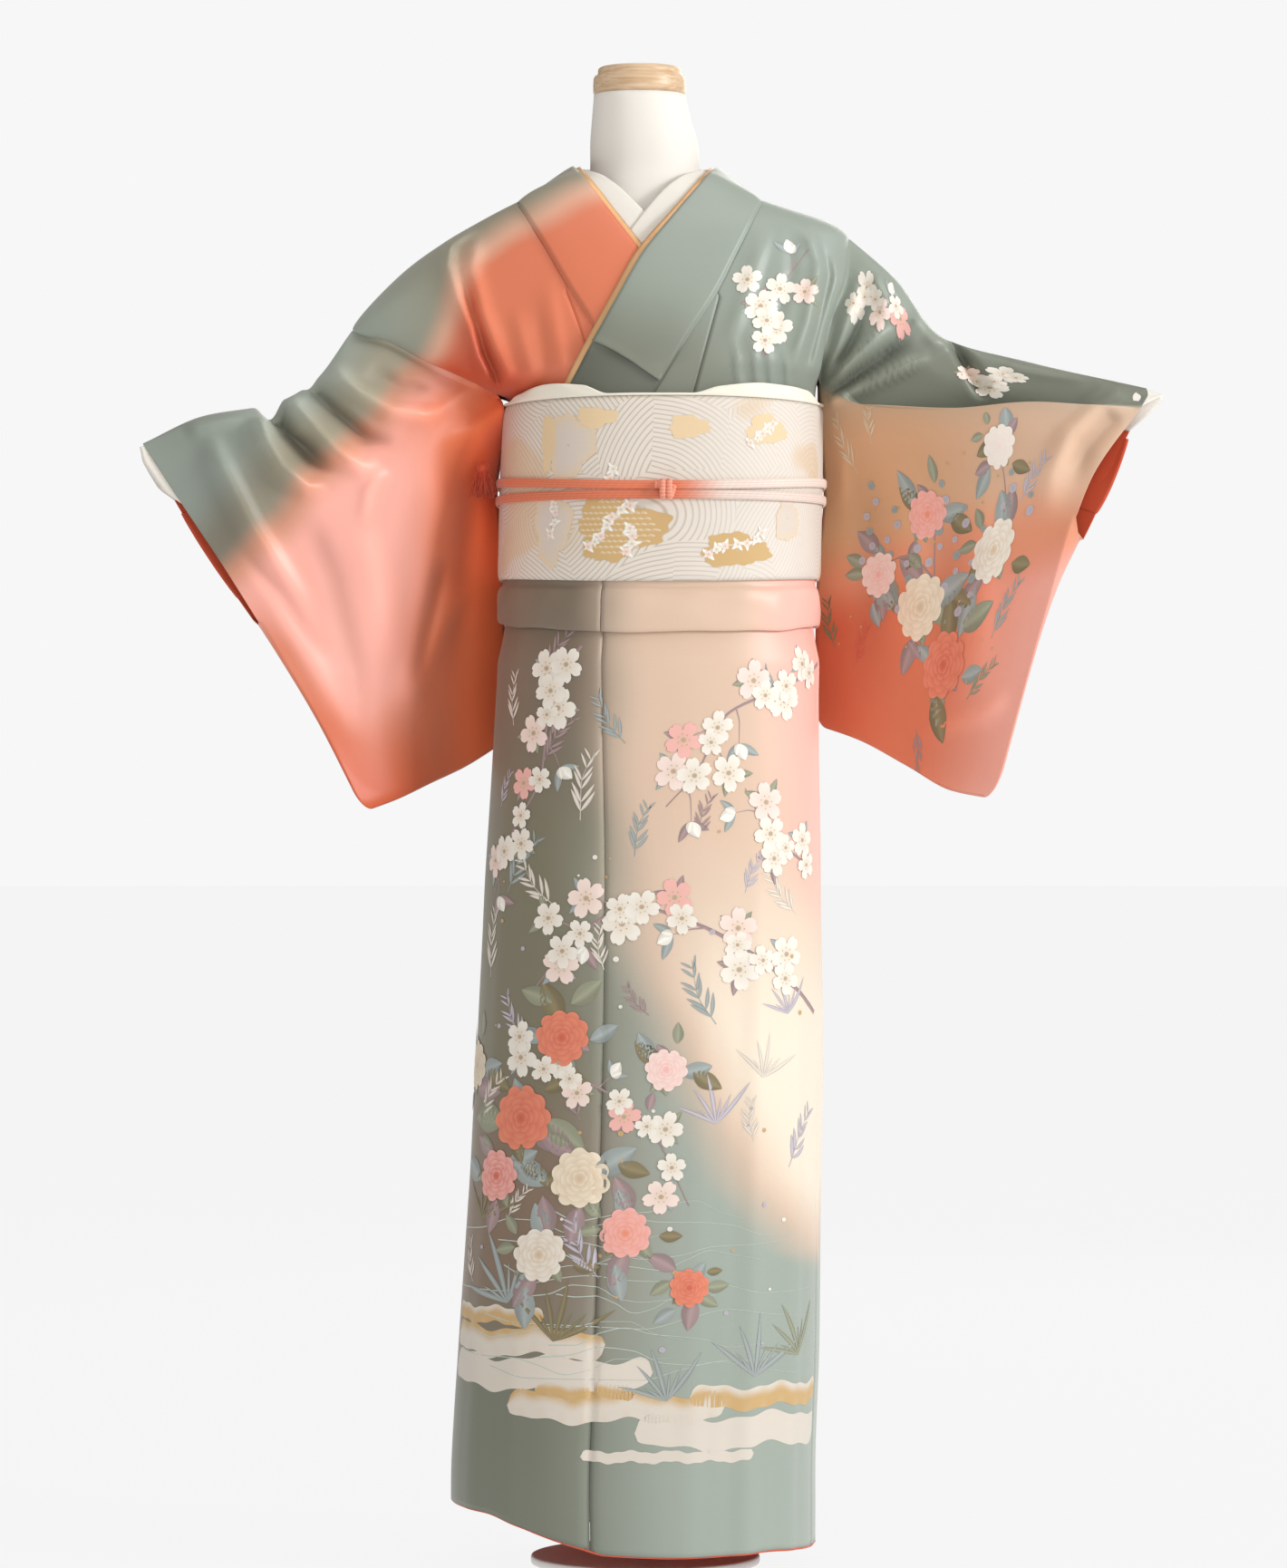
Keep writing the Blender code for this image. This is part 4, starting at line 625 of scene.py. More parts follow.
def leftSleeveDye(view, down):  # green over the arm, tan from the hanging fold down, then peach and coral
    u, v = view[..., 0] + mottle(view, 38, 6), view[..., 1] + mottle(view, 33, 9)
    # painted shade: the green deepens on the arm's underside
    green = blended(allOver("sage", u), dyes["deepSage"] * 0.85, 0.25 + 0.7 * stepUp(v, 330, 420))
    ochre = blended(allOver("ochre", u), dyes["tan"] * (1, 0.94, 0.88), stepUp(u, 1000, 1180))
    ochre = blended(ochre * (1.14, 1.12, 1.12), dyes["olive"] * 1.5, 0.4 * (1 - stepUp(down, 0.33, 0.42)))
    colour = blended(green, ochre, stepUp(down, 0.295, 0.335))
    line = np.interp(u, [880, 960, 1040, 1120, 1200], [648, 632, 606, 590, 575])
    hanging = stepUp(down, 0.3, 0.4)
    colour = blended(colour, dyes["peach"] * (1.05, 0.75, 0.62), stepUp(v, line - 60, line) * hanging)
    colour = blended(colour, dyes["coral"], stepUp(v, line - 10, line + 60) * hanging)
    colour = blended(colour, dyes["deepCoral"], 0.6 * (1 - stepUp(u, 900, 1000)) * stepUp(v, line, line + 60))
    colour = colour * (1 - 0.25 * bell(u - 1165, 85) * bell(v - 480, 65))[..., None]
    blush = stepUp(u + 0.25 * (v - 700), 1040, 1150) * stepUp(v, line, line + 60)
    return blended(colour, dyes["pink"], 0.8 * blush)


print("dyes ready")

# The skirt
skirt = {
    "lapEdge": -82.0, "leftSide": 80.0, "centreBack": 180.0, "rightSide": 280.0, "underSeam": 345.0,
    "underEdge": 392.0, "lapIn": 0.006, "waist": 1.060, "radius": 0.165, "seamAbout": -12.0,
    "groove": 0.0011,  # depth of a seam's line
    "hemEdge": 0.0021, "hemIn": 0.0011,  # the lining's rolled edge below the hem, and how far in it lies
}
skirtInset = table(
    "height inset", (0, 0), (0.940, 0), (0.958, 0.0032), (0.970, 0.0056), (0.985, 0.0076), (1.06, 0.0100),
)
hemRows = table(
    "angle height", (-82, 0.0700), (-50, 0.0660), (-34, 0.0545), (-21, 0.0420), (-12, 0.0335), (-6, 0.0275),
    (10, 0.0242), (31, 0.0258), (44, 0.0270), (70, 0.0240), (95, 0.0210), (150, 0.0220), (200, 0.0270),
    (225, 0.0380), (250, 0.0600), (275, 0.0820), (300, 0.0980), (345, 0.1080), (395, 0.1120),
)
okumiSeam = table("height angle", (0.03, -9.8), (0.36, -10.8), (0.70, -12.5), (0.97, -16.6), (1.06, -17.0))
skirtFolds = table(
    "angle span depth top", (34, 8, 0.0035, 0.80), (55, 9, 0.0030, 0.70), (96, 10, 0.0040, 0.74),
    (122, 10, 0.0035, 0.66), (150, 11, 0.0040, 0.72), (205, 12, 0.0040, 0.70), (238, 11, 0.0035, 0.62),
    (-58, 9, 0.0012, 0.90), (-38, 7, 0.0010, 0.60), (14, 6, 0.0011, 0.75),
)


def skirtOut(angle, height):  # -inset - lap + folds, each depth * cos^2 across its span
    out = -curve(skirtInset, "inset", height)
    out = out - skirt["lapIn"] * stepUp(angle, 100.0, skirt["rightSide"])
    for place, span, depth, top in zip(*skirtFolds.values()):
        across = np.clip((angle - place) / span, -1, 1)
        out = out + depth * np.cos(across * math.pi / 2) ** 2 * stepUp(-height, -top, -top + 0.25)
    return out


def seamAngle(height):
    return curve(okumiSeam, "angle", height)


def skirtSurface(angle, height, lift=0.0):
    angle, height = np.broadcast_arrays(np.asarray(angle, float), np.asarray(height, float))
    out = skirtOut(angle, height) + lift
    low = 1 - stepUp(height, 0.25, 0.72)  # the seams sink deeper towards the hem
    seams = [skirt[k] for k in ("leftSide", "centreBack", "rightSide", "underSeam")]
    for place in [seamAngle(height)] + seams:
        out = out - skirt["groove"] * (1 + 1.8 * low) * bell((angle - place) * 0.0032, 0.0022 + 0.0012 * low)
    plain = trunk(angle, height, out)
    soft = ripple(plain * (1, 1, 0.35), 0.034, 0.0007) + ripple(plain, 0.013, 0.00022, 0.3)
    below = 1 - stepUp(height, 0.90, 0.95)
    return trunk(angle, height, out + soft * below)


def skirtView(points, angle):  # layout place of a point: round the back the front's layout runs in reverse
    view = onView(points)
    back = (angle > 80) & (angle < 280)
    view[..., 0] = np.where(back, 905 - (angle - 80) * 1.95, view[..., 0])
    view[..., 0] = np.where(angle >= 280, 515 + (angle - 280) * 0.5, view[..., 0])
    return view


# grain: size of a mesh cell, larger where the panel is behind or under
def skirtPanel(name, start, end, grain):
    first, last = (skirt["seamAbout"] if callable(edge) else edge for edge in (start, end))
    columns, count = max(int(skirt["radius"] * math.radians(last - first) / grain), 12), int(0.85 / grain)
    across, up = np.linspace(0, 1, columns), np.linspace(0, 1, count)[:, None]
    gap = math.degrees(seam / 2 / trunkRows["halfWidth"][0])
    height = np.full((count, columns), 0.5)
    for _ in range(3):
        low = (start(height) if callable(start) else start) + gap
        high = (end(height) if callable(end) else end) - gap
        angle = low + (high - low) * across * np.ones((count, 1))
        foot = curve(hemRows, "height", angle)
        height = foot + (skirt["waist"] - foot) * up
    grid = skirtSurface(angle, height)
    colour = skirtDye(skirtView(grid, angle)).reshape(-1, 3)
    clothFrom(name, [grid], [finishes["silk"], finishes["lining"]], colour)
    return np.stack([angle[0], foot[0]])


hemLine = []
for name, start, end, slot, grain in (
    ("skirt_okumi_left", skirt["lapEdge"], seamAngle, "silk_sage", 0.0048),
    ("skirt_front_left", seamAngle, skirt["leftSide"], "silk_peach", 0.0048),
    ("skirt_back_left", skirt["leftSide"], skirt["centreBack"], "silk_peach", 0.0065),
    ("skirt_back_right", skirt["centreBack"], skirt["rightSide"], "silk_sage", 0.0065),
    ("skirt_front_right", skirt["rightSide"], skirt["underSeam"], "silk_sage", 0.0085),
    ("skirt_okumi_right", skirt["underSeam"], skirt["underEdge"], "silk_sage", 0.0085),
):
    hemLine.append(skirtPanel(name, start, end, grain))


# The lining's rolled edge under the hem: a half round strip that follows the hem's line
def hemEdge():
    line = np.concatenate(hemLine, axis=1)
    turn = np.linspace(-0.5, 1.5, 9) * math.pi
    size = skirt["hemEdge"] / 2
    centre = skirtOut(line[0], line[1])[:, None] - skirt["hemIn"]
    level = line[1][:, None] - size * 0.55 + size * np.sin(turn[:-1])
    rings = trunk(line[0][:, None], level, centre + 0.0009 * np.cos(turn[:-1]))
    return closedFrom("hem_edge", rings, finishes["lining"], None, solid=False)


hemEdge()
print("skirt made")

# The folded stretch over the hips
hipFold = {
    "pieces": (
        ("hip_fold_okumi_left", -88.0, -16.8, "silk_sage"),
        ("hip_fold_front_left", -16.8, 90.0, "silk_peach"),
        ("hip_fold_back_left", 90.0, 180.0, "silk_peach"),
        ("hip_fold_back_right", 180.0, 271.0, "silk_sage"),
    ),
    "obiFoot": 1.024, "sideRise": 0.005,
}
foldFoot = table(
    "angle height", (-90, 0.986), (-45, 0.976), (0, 0.972), (45, 0.975), (90, 0.981), (180, 0.978),
    (270, 0.986),
)
foldSection = table(
    "out up", (-0.0052, 1.60), (-0.0052, 0.93), (-0.0018, 0.78), (0.0000, 0.58), (0.0004, 0.26),
    (0.0000, 0.07), (-0.0016, 0.00), (-0.0034, 0.07), (-0.0046, 0.26), (-0.0068, 0.84),
)


def obiFoot(angle):
    return hipFold["obiFoot"] + hipFold["sideRise"] * np.sin(np.radians(angle)) ** 2


def buildHipFold():
    gap = math.degrees(seam / 0.169)
    turns = np.linspace(0, 9, 46)
    out, up = byRow(foldSection, "out", turns), byRow(foldSection, "up", turns)
    for name, start, end, slot in hipFold["pieces"]:
        angle = np.linspace(start + gap, end - gap, max(int((end - start) * 0.62), 20))[:, None]
        foot = curve(foldFoot, "height", angle)
        foot = foot + 0.0007 * np.sin(angle / 9.0) + 0.0004 * np.sin(angle / 4.1)
        height = foot + (obiFoot(angle) - foot) * up
        shown = stepUp(up, 0.1, 0.5) * (1 - stepUp(up, 0.8, 1.0))
        soft = (0.0007 * np.sin(angle / 6.3 + 4 * up) + 0.0004 * np.sin(angle / 2.7 - 3 * up)) * shown
        grid = trunk(angle, height, out + soft)
        view = skirtView(grid, np.broadcast_to(angle, grid.shape[:2]))
        view[..., 1] = 720.0
        clothFrom(name, [grid], finishes["silk"], skirtDye(view).reshape(-1, 3))


buildHipFold()
print("hip fold made")

# The upper body
collarRight = table(
    "innerX innerZ outerX outerZ", (-0.0752, 1.4625, -0.1361, 1.4186), (-0.0634, 1.4460, -0.1269, 1.4040),
    (-0.0395, 1.4132, -0.1082, 1.3727), (-0.0037, 1.3650, -0.0834, 1.3285),
    (0.0240, 1.3250, -0.0523, 1.2785), (0.0540, 1.2730, -0.0205, 1.2265), (0.0853, 1.2140, 0.0130, 1.1700),
)
collarLeft = table(
    "innerX innerZ outerX outerZ", (0.0742, 1.4616, 0.1247, 1.4205), (0.0530, 1.4346, 0.1146, 1.3985),
    (0.0282, 1.4037, 0.0970, 1.3614), (-0.0037, 1.3632, 0.0777, 1.3210), (-0.0290, 1.3176, 0.0486, 1.2756),
    (-0.0560, 1.2680, 0.0300, 1.2440), (-0.0866, 1.2100, 0.0050, 1.2030),
)
innerRight = table(
    "innerX innerZ outerX outerZ", (-0.0672, 1.4650, -0.0830, 1.4570), (-0.0500, 1.4580, -0.0710, 1.4405),
    (-0.0302, 1.4427, -0.0520, 1.4185), (-0.0100, 1.4225, -0.0360, 1.3965),
    (0.0080, 1.4025, -0.0200, 1.3750), (0.0263, 1.3817, -0.0020, 1.3510),
)
innerLeft = table(
    "innerX innerZ outerX outerZ", (0.0672, 1.4645, 0.0820, 1.4560), (0.0450, 1.4570, 0.0670, 1.4385),
    (0.0198, 1.4369, 0.0450, 1.4110), (0.0010, 1.4150, 0.0270, 1.3870), (-0.0150, 1.3934, 0.0120, 1.3680),
    (-0.0412, 1.3545, -0.0120, 1.3290),
)
chestSeamRight = table(
    "height x", (1.0640, -0.0040), (1.1300, -0.0150), (1.2155, -0.0419), (1.2640, -0.0597), (1.3285, -0.0834)
)
chestSeamLeft = table("height x", (1.0640, 0.0100), (1.1000, 0.0177), (1.2260, 0.0522), (1.3210, 0.0777))
bodySides = {
    "right": {"collar": collarRight, "seam": chestSeamRight, "sign": -1, "slot": "silk_coral"},
    "left": {"collar": collarLeft, "seam": chestSeamLeft, "sign": 1, "slot": "silk_sage"},
}
# height (mm), widths to either side (px), fades at both ends, line in the view
bodyCreases = {
    "right": (
        (
            9.5, 9, 5, 0.15, 0.1,
            ((529, 249), (497, 270), (495, 292), (507, 331), (520, 359), (528, 393), (546, 429)),
        ),
        (5.5, 6, 9, 0.2, 0.1, ((526, 252), (520, 298), (532, 344), (546, 380), (566, 428))),
        (-9.0, 5, 6, 0.3, 0.1, ((512, 300), (521, 345), (534, 388), (553, 430))),
        (2.6, 14, 7, 0.3, 0.2, ((604, 300), (612, 350), (622, 400), (628, 436))),
        (2.4, 9, 8, 0.4, 0.2, ((566, 330), (578, 380), (590, 430))),
        (-2.0, 8, 8, 0.4, 0.2, ((590, 330), (600, 380), (606, 430))),
        (-2.0, 3, 3, 0.2, 0.2, ((545, 405), (552, 432))),
    ),
    "left": (
        (7.5, 9, 6, 0.15, 0.25, ((886, 243), (905, 289), (892, 356), (870, 422))),
        (-5.0, 6, 6, 0.2, 0.2, ((898, 262), (916, 300), (904, 356), (886, 420))),
        (4.0, 6, 6, 0.2, 0.2, ((916, 275), (924, 310), (912, 362), (896, 414))),
        (3.0, 3, 5, 0.6, 0.02, ((804, 360), (812, 396), (815, 436))),
        (3.0, 3, 5, 0.6, 0.02, ((824, 352), (832, 394), (836, 436))),
        (2.6, 3, 4, 0.6, 0.02, ((842, 364), (849, 400), (852, 436))),
        (2.4, 3, 4, 0.6, 0.02, ((862, 378), (868, 404), (870, 436))),
        (4.6, 11, 7, 0.3, 0.3, ((850, 236), (842, 270), (824, 326), (800, 392))),
        (-3.2, 7, 7, 0.3, 0.3, ((872, 244), (874, 300), (856, 356), (842, 392))),
    ),
}


# How far out each ring of a front starts: at the collar's outer edge, or at the okumi seam, less the tuck
def innerShares(rows, side):
    spec = bodySides[side]
    shares = np.linspace(0.0, 1.0, 2401)
    ring = upper(rows[:, None], shares[None, :], side)
    onCollar = np.interp(ring[..., 2], spec["collar"]["outerZ"][::-1], spec["collar"]["outerX"][::-1])
    onSeam = np.interp(ring[..., 2], spec["seam"]["height"], spec["seam"]["x"])
    high = stepUp(ring[..., 2], spec["seam"]["height"][-1] - 0.004, spec["seam"]["height"][-1] + 0.004)
    line = onSeam + (onCollar - spec["sign"] * chest["tuck"] - onSeam) * high
    beyond = (ring[..., 0] - line) * spec["sign"] >= 0
    found = np.where(beyond.any(axis=1), shares[beyond.argmax(axis=1)], 0.995)
    return np.minimum(found, 0.975)


# The creases fade out at the shoulder's ridge, at the armhole and at the sash
def chestShift(points, side, shares=None):
    shift = creaseShift(points, bodyCreases[side]) + ripple(points, 0.022, 0.0006, 0.1)
    keep = stepUp(points[..., 2], 1.205, 1.235)
    return shift * keep * (1 if shares is None else 1 - stepUp(shares, 0.93, 1.0))


def bodyFront(row, share, side):  # the front with its lap and creases
    row, share = np.broadcast_arrays(row, share)
    start = turnOf(np.interp(row, chest["rows"], chest["start"][side]))
    ease = np.clip((turnOf(share) - start) / (math.pi / 2 - start), 0, 1)
    front = upper(row, share, side)
    if side == "left":
        front[..., 1] -= lapShift(front[..., 2]) * (1 - ease) ** 0.5
    front[..., 1] -= chestShift(front, side, share) * (1 - stepUp(row, 6.5, 8.6))
    return front


def buildBodies():
    rows = chest["rows"]
    for side, spec in bodySides.items():
        start = turnOf(chest["start"][side])[:, None]
        angles = start + (math.pi / 2 - start) * np.linspace(0, 1, 60)
        front = bodyFront(rows[:, None], np.sin(angles) ** (2 / planPower), side)
        share = np.sin(np.linspace(math.pi / 2, 0, 34)) ** (2 / planPower)
        share[-1] = seam / 2 / 0.15
        back = upper(rows[:, None], share[None, :], side, "back")
        keep = (1 - stepUp(rows, 6.5, 8.6))[:, None] * (1 - stepUp(share, 0.9, 1.0))
        keep = keep * stepUp(back[..., 2], 1.205, 1.235)
        folds = np.sin(back[..., 0] / 0.020 + 2.0 * np.sin(back[..., 2] / 0.09))
        keep = keep * stepUp(np.abs(back[..., 0]), 0.05, 0.12) * stepUp(-back[..., 2], -1.40, -1.28)
        back[..., 1] += chest["backFold"] * folds * keep - 0.0009 * bell(back[..., 0], 0.0022)
        spec["grid"] = front
        # painted crease shade on the front: its colour darkened in the creases' valleys, lightened on their
        # ridges
        relief = lambda points, side: chest["shade"] * chestShift(points, side) * (points[..., 1] < 0.01)
        colour = lambda points, side=side: chestDye(onView(points), side) * worn(relief(points, side))
        clothFrom("body_" + side, [front, back], [finishes["silk"], finishes["lining"]], colour)


# The wedge between collar and okumi seam: its edges tuck under both, and it reaches up to the seam's point
def buildChestOkumi():
    for side, spec in bodySides.items():
        height = np.linspace(1.190, spec["seam"]["height"][-1] + 0.004, 70)[:, None]
        tuck = spec["sign"] * chest["tuck"]
        collarX = np.interp(height, spec["collar"]["outerZ"][::-1], spec["collar"]["outerX"][::-1]) - tuck
        seamX = np.interp(height, spec["seam"]["height"], spec["seam"]["x"]) + tuck * 0.8
        x = collarX + (seamX - collarX) * np.linspace(0, 1, 34)
        grid = frontAt(x, np.broadcast_to(height, x.shape))
        if side == "left":
            grid[..., 1] -= lapShift(grid[..., 2])
        under = stepUp((x - (seamX - tuck * 0.8)) * spec["sign"], -0.004, 0.0008)
        grid[..., 1] += chest["step"] * under - chestShift(grid, side)
        colour = lambda points, side=side: chestDye(onView(points), side)
        clothFrom("chest_okumi_" + side, [grid], [finishes["silk"], finishes["lining"]], colour)


chest = {"tuck": 0.0055, "step": 0.0015, "backFold": 0.00175, "shade": 0.45}
chest["rows"] = np.concatenate([np.linspace(0, 1, 14)[:-1], np.linspace(1, 8.93, 118)])
chest["start"] = {side: innerShares(chest["rows"], side) for side in bodySides}
buildBodies()
buildChestOkumi()
print("bodies made")

# The collars
neckRings = {
    "collar": {"side": 0.0747, "sideY": 0.012, "backY": 0.098, "sideZ": 1.4620, "backZ": 1.4700},
    "innerTop": {"side": 0.0672, "sideY": 0.012, "backY": 0.0950, "sideZ": 1.4648, "backZ": 1.4755},
    "innerFoot": {"side": 0.0825, "sideY": 0.012, "backY": 0.1080, "sideZ": 1.4565, "backZ": 1.4500},
}
collars = {
    "ridgeY": 0.011, "edge": 0.96, "overEdge": 0.975, "overEndRight": (3.40, 4.30),
    "overEndLeft": (4.95, 5.40),
    "crown": 0.0013,  # swelling of the folded band between its edges
    "over": (0.055, 0.070),  # shares of the width laid over the seam at the back, and more at the right
}
nape = (0.0, 0.02, 1.40)


def neckRing(ring, turn):  # round the back of the neck, from -1 at the right shoulder to 1 at the left
    s, c = rounded(turn * math.pi / 2)
    y = ring["sideY"] + (ring["backY"] - ring["sideY"]) * c
    return joined(ring["side"] * s, y, ring["backZ"] + (ring["sideZ"] - ring["backZ"]) * s**2)


def collarOuterBack(turn):  # the collar's outer seam round the back, ring 9 of the upper body
    s = rounded(turn * math.pi / 2)[0]
    right, left = (upper(neckRow, np.abs(s), side, "back") for side in ("right", "left"))
    return np.where((turn < 0)[..., None], right, left)


def frontBand(edges, rows, across):  # straight between its edges, lying on the chest
    innerX, innerZ, outerX, outerZ = (byRow(edges, k, rows) for k in edges)
    grid = frontAt(innerX + (outerX - innerX) * across, innerZ + (outerZ - innerZ) * across)
    near = 1 - stepUp(np.broadcast_to(rows, grid.shape[:2]), 0.0, 0.10)
    grid[..., 1] = grid[..., 1] * (1 - near) + collars["ridgeY"] * near
    return grid


def band(right, left, napeInner, napeOuter, rightRows, leftRows, across):
    downRight, downLeft = frontBand(right, rightRows, across), frontBand(left, leftRows, across)
    turn = np.linspace(-1, 1, 90)[1:-1, None]
    inner, outer = napeInner(turn), napeOuter(turn)
    wide = across if np.ndim(across) == 1 else across[0]
    reach = (collars["over"][0] + collars["over"][1] * bell(turn + 0.80, 0.30)) * (1 - turn**16)
    back = inner + (outer - inner) * (wide * (1 + reach))[..., None]
    downLeft[..., 1] -= lapShift(downLeft[..., 2])
    return np.concatenate([downRight[::-1], back, downLeft])


def smoothed(grid, times):  # each row averaged with its neighbours, ends kept
    for _ in range(times):
        grid = np.concatenate([grid[:1], (grid[:-2] + 2 * grid[1:-1] + grid[2:]) / 4, grid[-1:]])
    return grid


def buildCollars():
    across = np.linspace(0, collars["edge"], 22)
    fall = np.linspace(0, 6, 130)[:, None]
    innerBack = lambda turn: neckRing(neckRings["collar"], turn)
    whole = smoothed(band(collarRight, collarLeft, innerBack, collarOuterBack, fall, fall, across), 4)
    crown = collars["crown"] * np.clip(1 - (2 * across / across[-1] - 1) ** 4, 0, 1)
    out = cloth["layer"] - 0.0008 + crown[None, :] * np.ones((len(whole), 1))
    grid = movedOut(whole, out, nape)
    count = len(fall)
    away = lambda centre: centre - np.array(nape)

    def tint(grid, under=1.0):  # the right half is dyed as the right front, the left half as the left
        row, rows = np.arange(len(grid))[:, None], len(grid)
        half = stepUp(row, rows / 2 - 18, rows / 2 + 4) * np.ones(grid.shape[1])
        view = onView(grid)
        colour = blended(chestDye(view, "right"), chestDye(view, "left") * 1.04, half)
        # painted shadow: below the over-collar's end the colour is multiplied by under
        near = stepUp(view[..., 1], 376, 392) * stepUp(row, rows * 0.6, rows * 0.62)
        return blended(colour, colour * under, near).reshape(-1, 3)

    # the collar with painted shadow, 0.62 of its colour, below the over-collar's end
    clothFrom("collar", [grid], finishes["silk"], tint(grid, 0.62), away)

    falls = []
    for innerEnd, outerEnd in (collars["overEndRight"], collars["overEndLeft"]):
        end = innerEnd + (outerEnd - innerEnd) * (across / across[-1]) ** 1.5
        falls.append(end[None, :] * np.linspace(0, 1, 130)[:, None])
    wide = across[None, :] * collars["overEdge"] * np.ones((130, 1))
    over = smoothed(band(collarRight, collarLeft, innerBack, collarOuterBack, *falls, wide), 4)
    lift = 2 * cloth["layer"] - 0.0006 + crown[None, :] * np.ones((len(over), 1))
    ends = np.minimum(np.arange(len(over)), np.arange(len(over))[::-1])[:, None]
    lift = lift + 0.0019 * bell(ends, 3.0)  # the folded end stands a little thicker
    over = movedOut(over, lift, nape)
    clothFrom("over_collar", [over], finishes["silk"], tint(over), away)

    strip = np.linspace(-0.075, 0.10, 7)
    gold = smoothed(band(collarRight, collarLeft, innerBack, collarOuterBack, fall[:-4], fall, strip), 4)
    arch = 0.0007 * np.clip(1 - (np.linspace(-1, 1, 7)) ** 2, 0, 1)
    gold = movedOut(gold, -cloth["layer"] + 0.0006 + arch[None, :] * np.ones((len(gold), 1)), nape)
    clothFrom("gold_collar", [gold], finishes["gold"], None, away)

    edgeTop = lambda turn: neckRing(neckRings["innerTop"], turn)
    edgeFoot = lambda turn: neckRing(neckRings["innerFoot"], turn)
    innerFall = fall * 5 / 6
    white = band(innerRight, innerLeft, edgeTop, edgeFoot, innerFall, innerFall, np.linspace(0, 1, 16))
    white[-count:, :, 1] += lapShift(white[-count:, :, 2])
    white = smoothed(white, 4)
    number = len(white)
    leftStart = number - count
    depth = np.interp(np.arange(number), [0, leftStart, leftStart + 48, number - 1], [3.1, 3.1, 2.1, 2.1])
    roll = 0.0005 * np.clip(1 - (2 * np.linspace(0, 1, 16) - 1) ** 4, 0, 1)
    white = movedOut(white, -cloth["layer"] * depth[:, None] + roll[None, :], nape)
    clothFrom("inner_collar", [white], finishes["white"], None, away)


buildCollars()
print("collars made")

# The sleeves
sleeveNames = "down x1 y1 z1 x2 y2 z2 x3 y3 z3 x4 y4 z4"
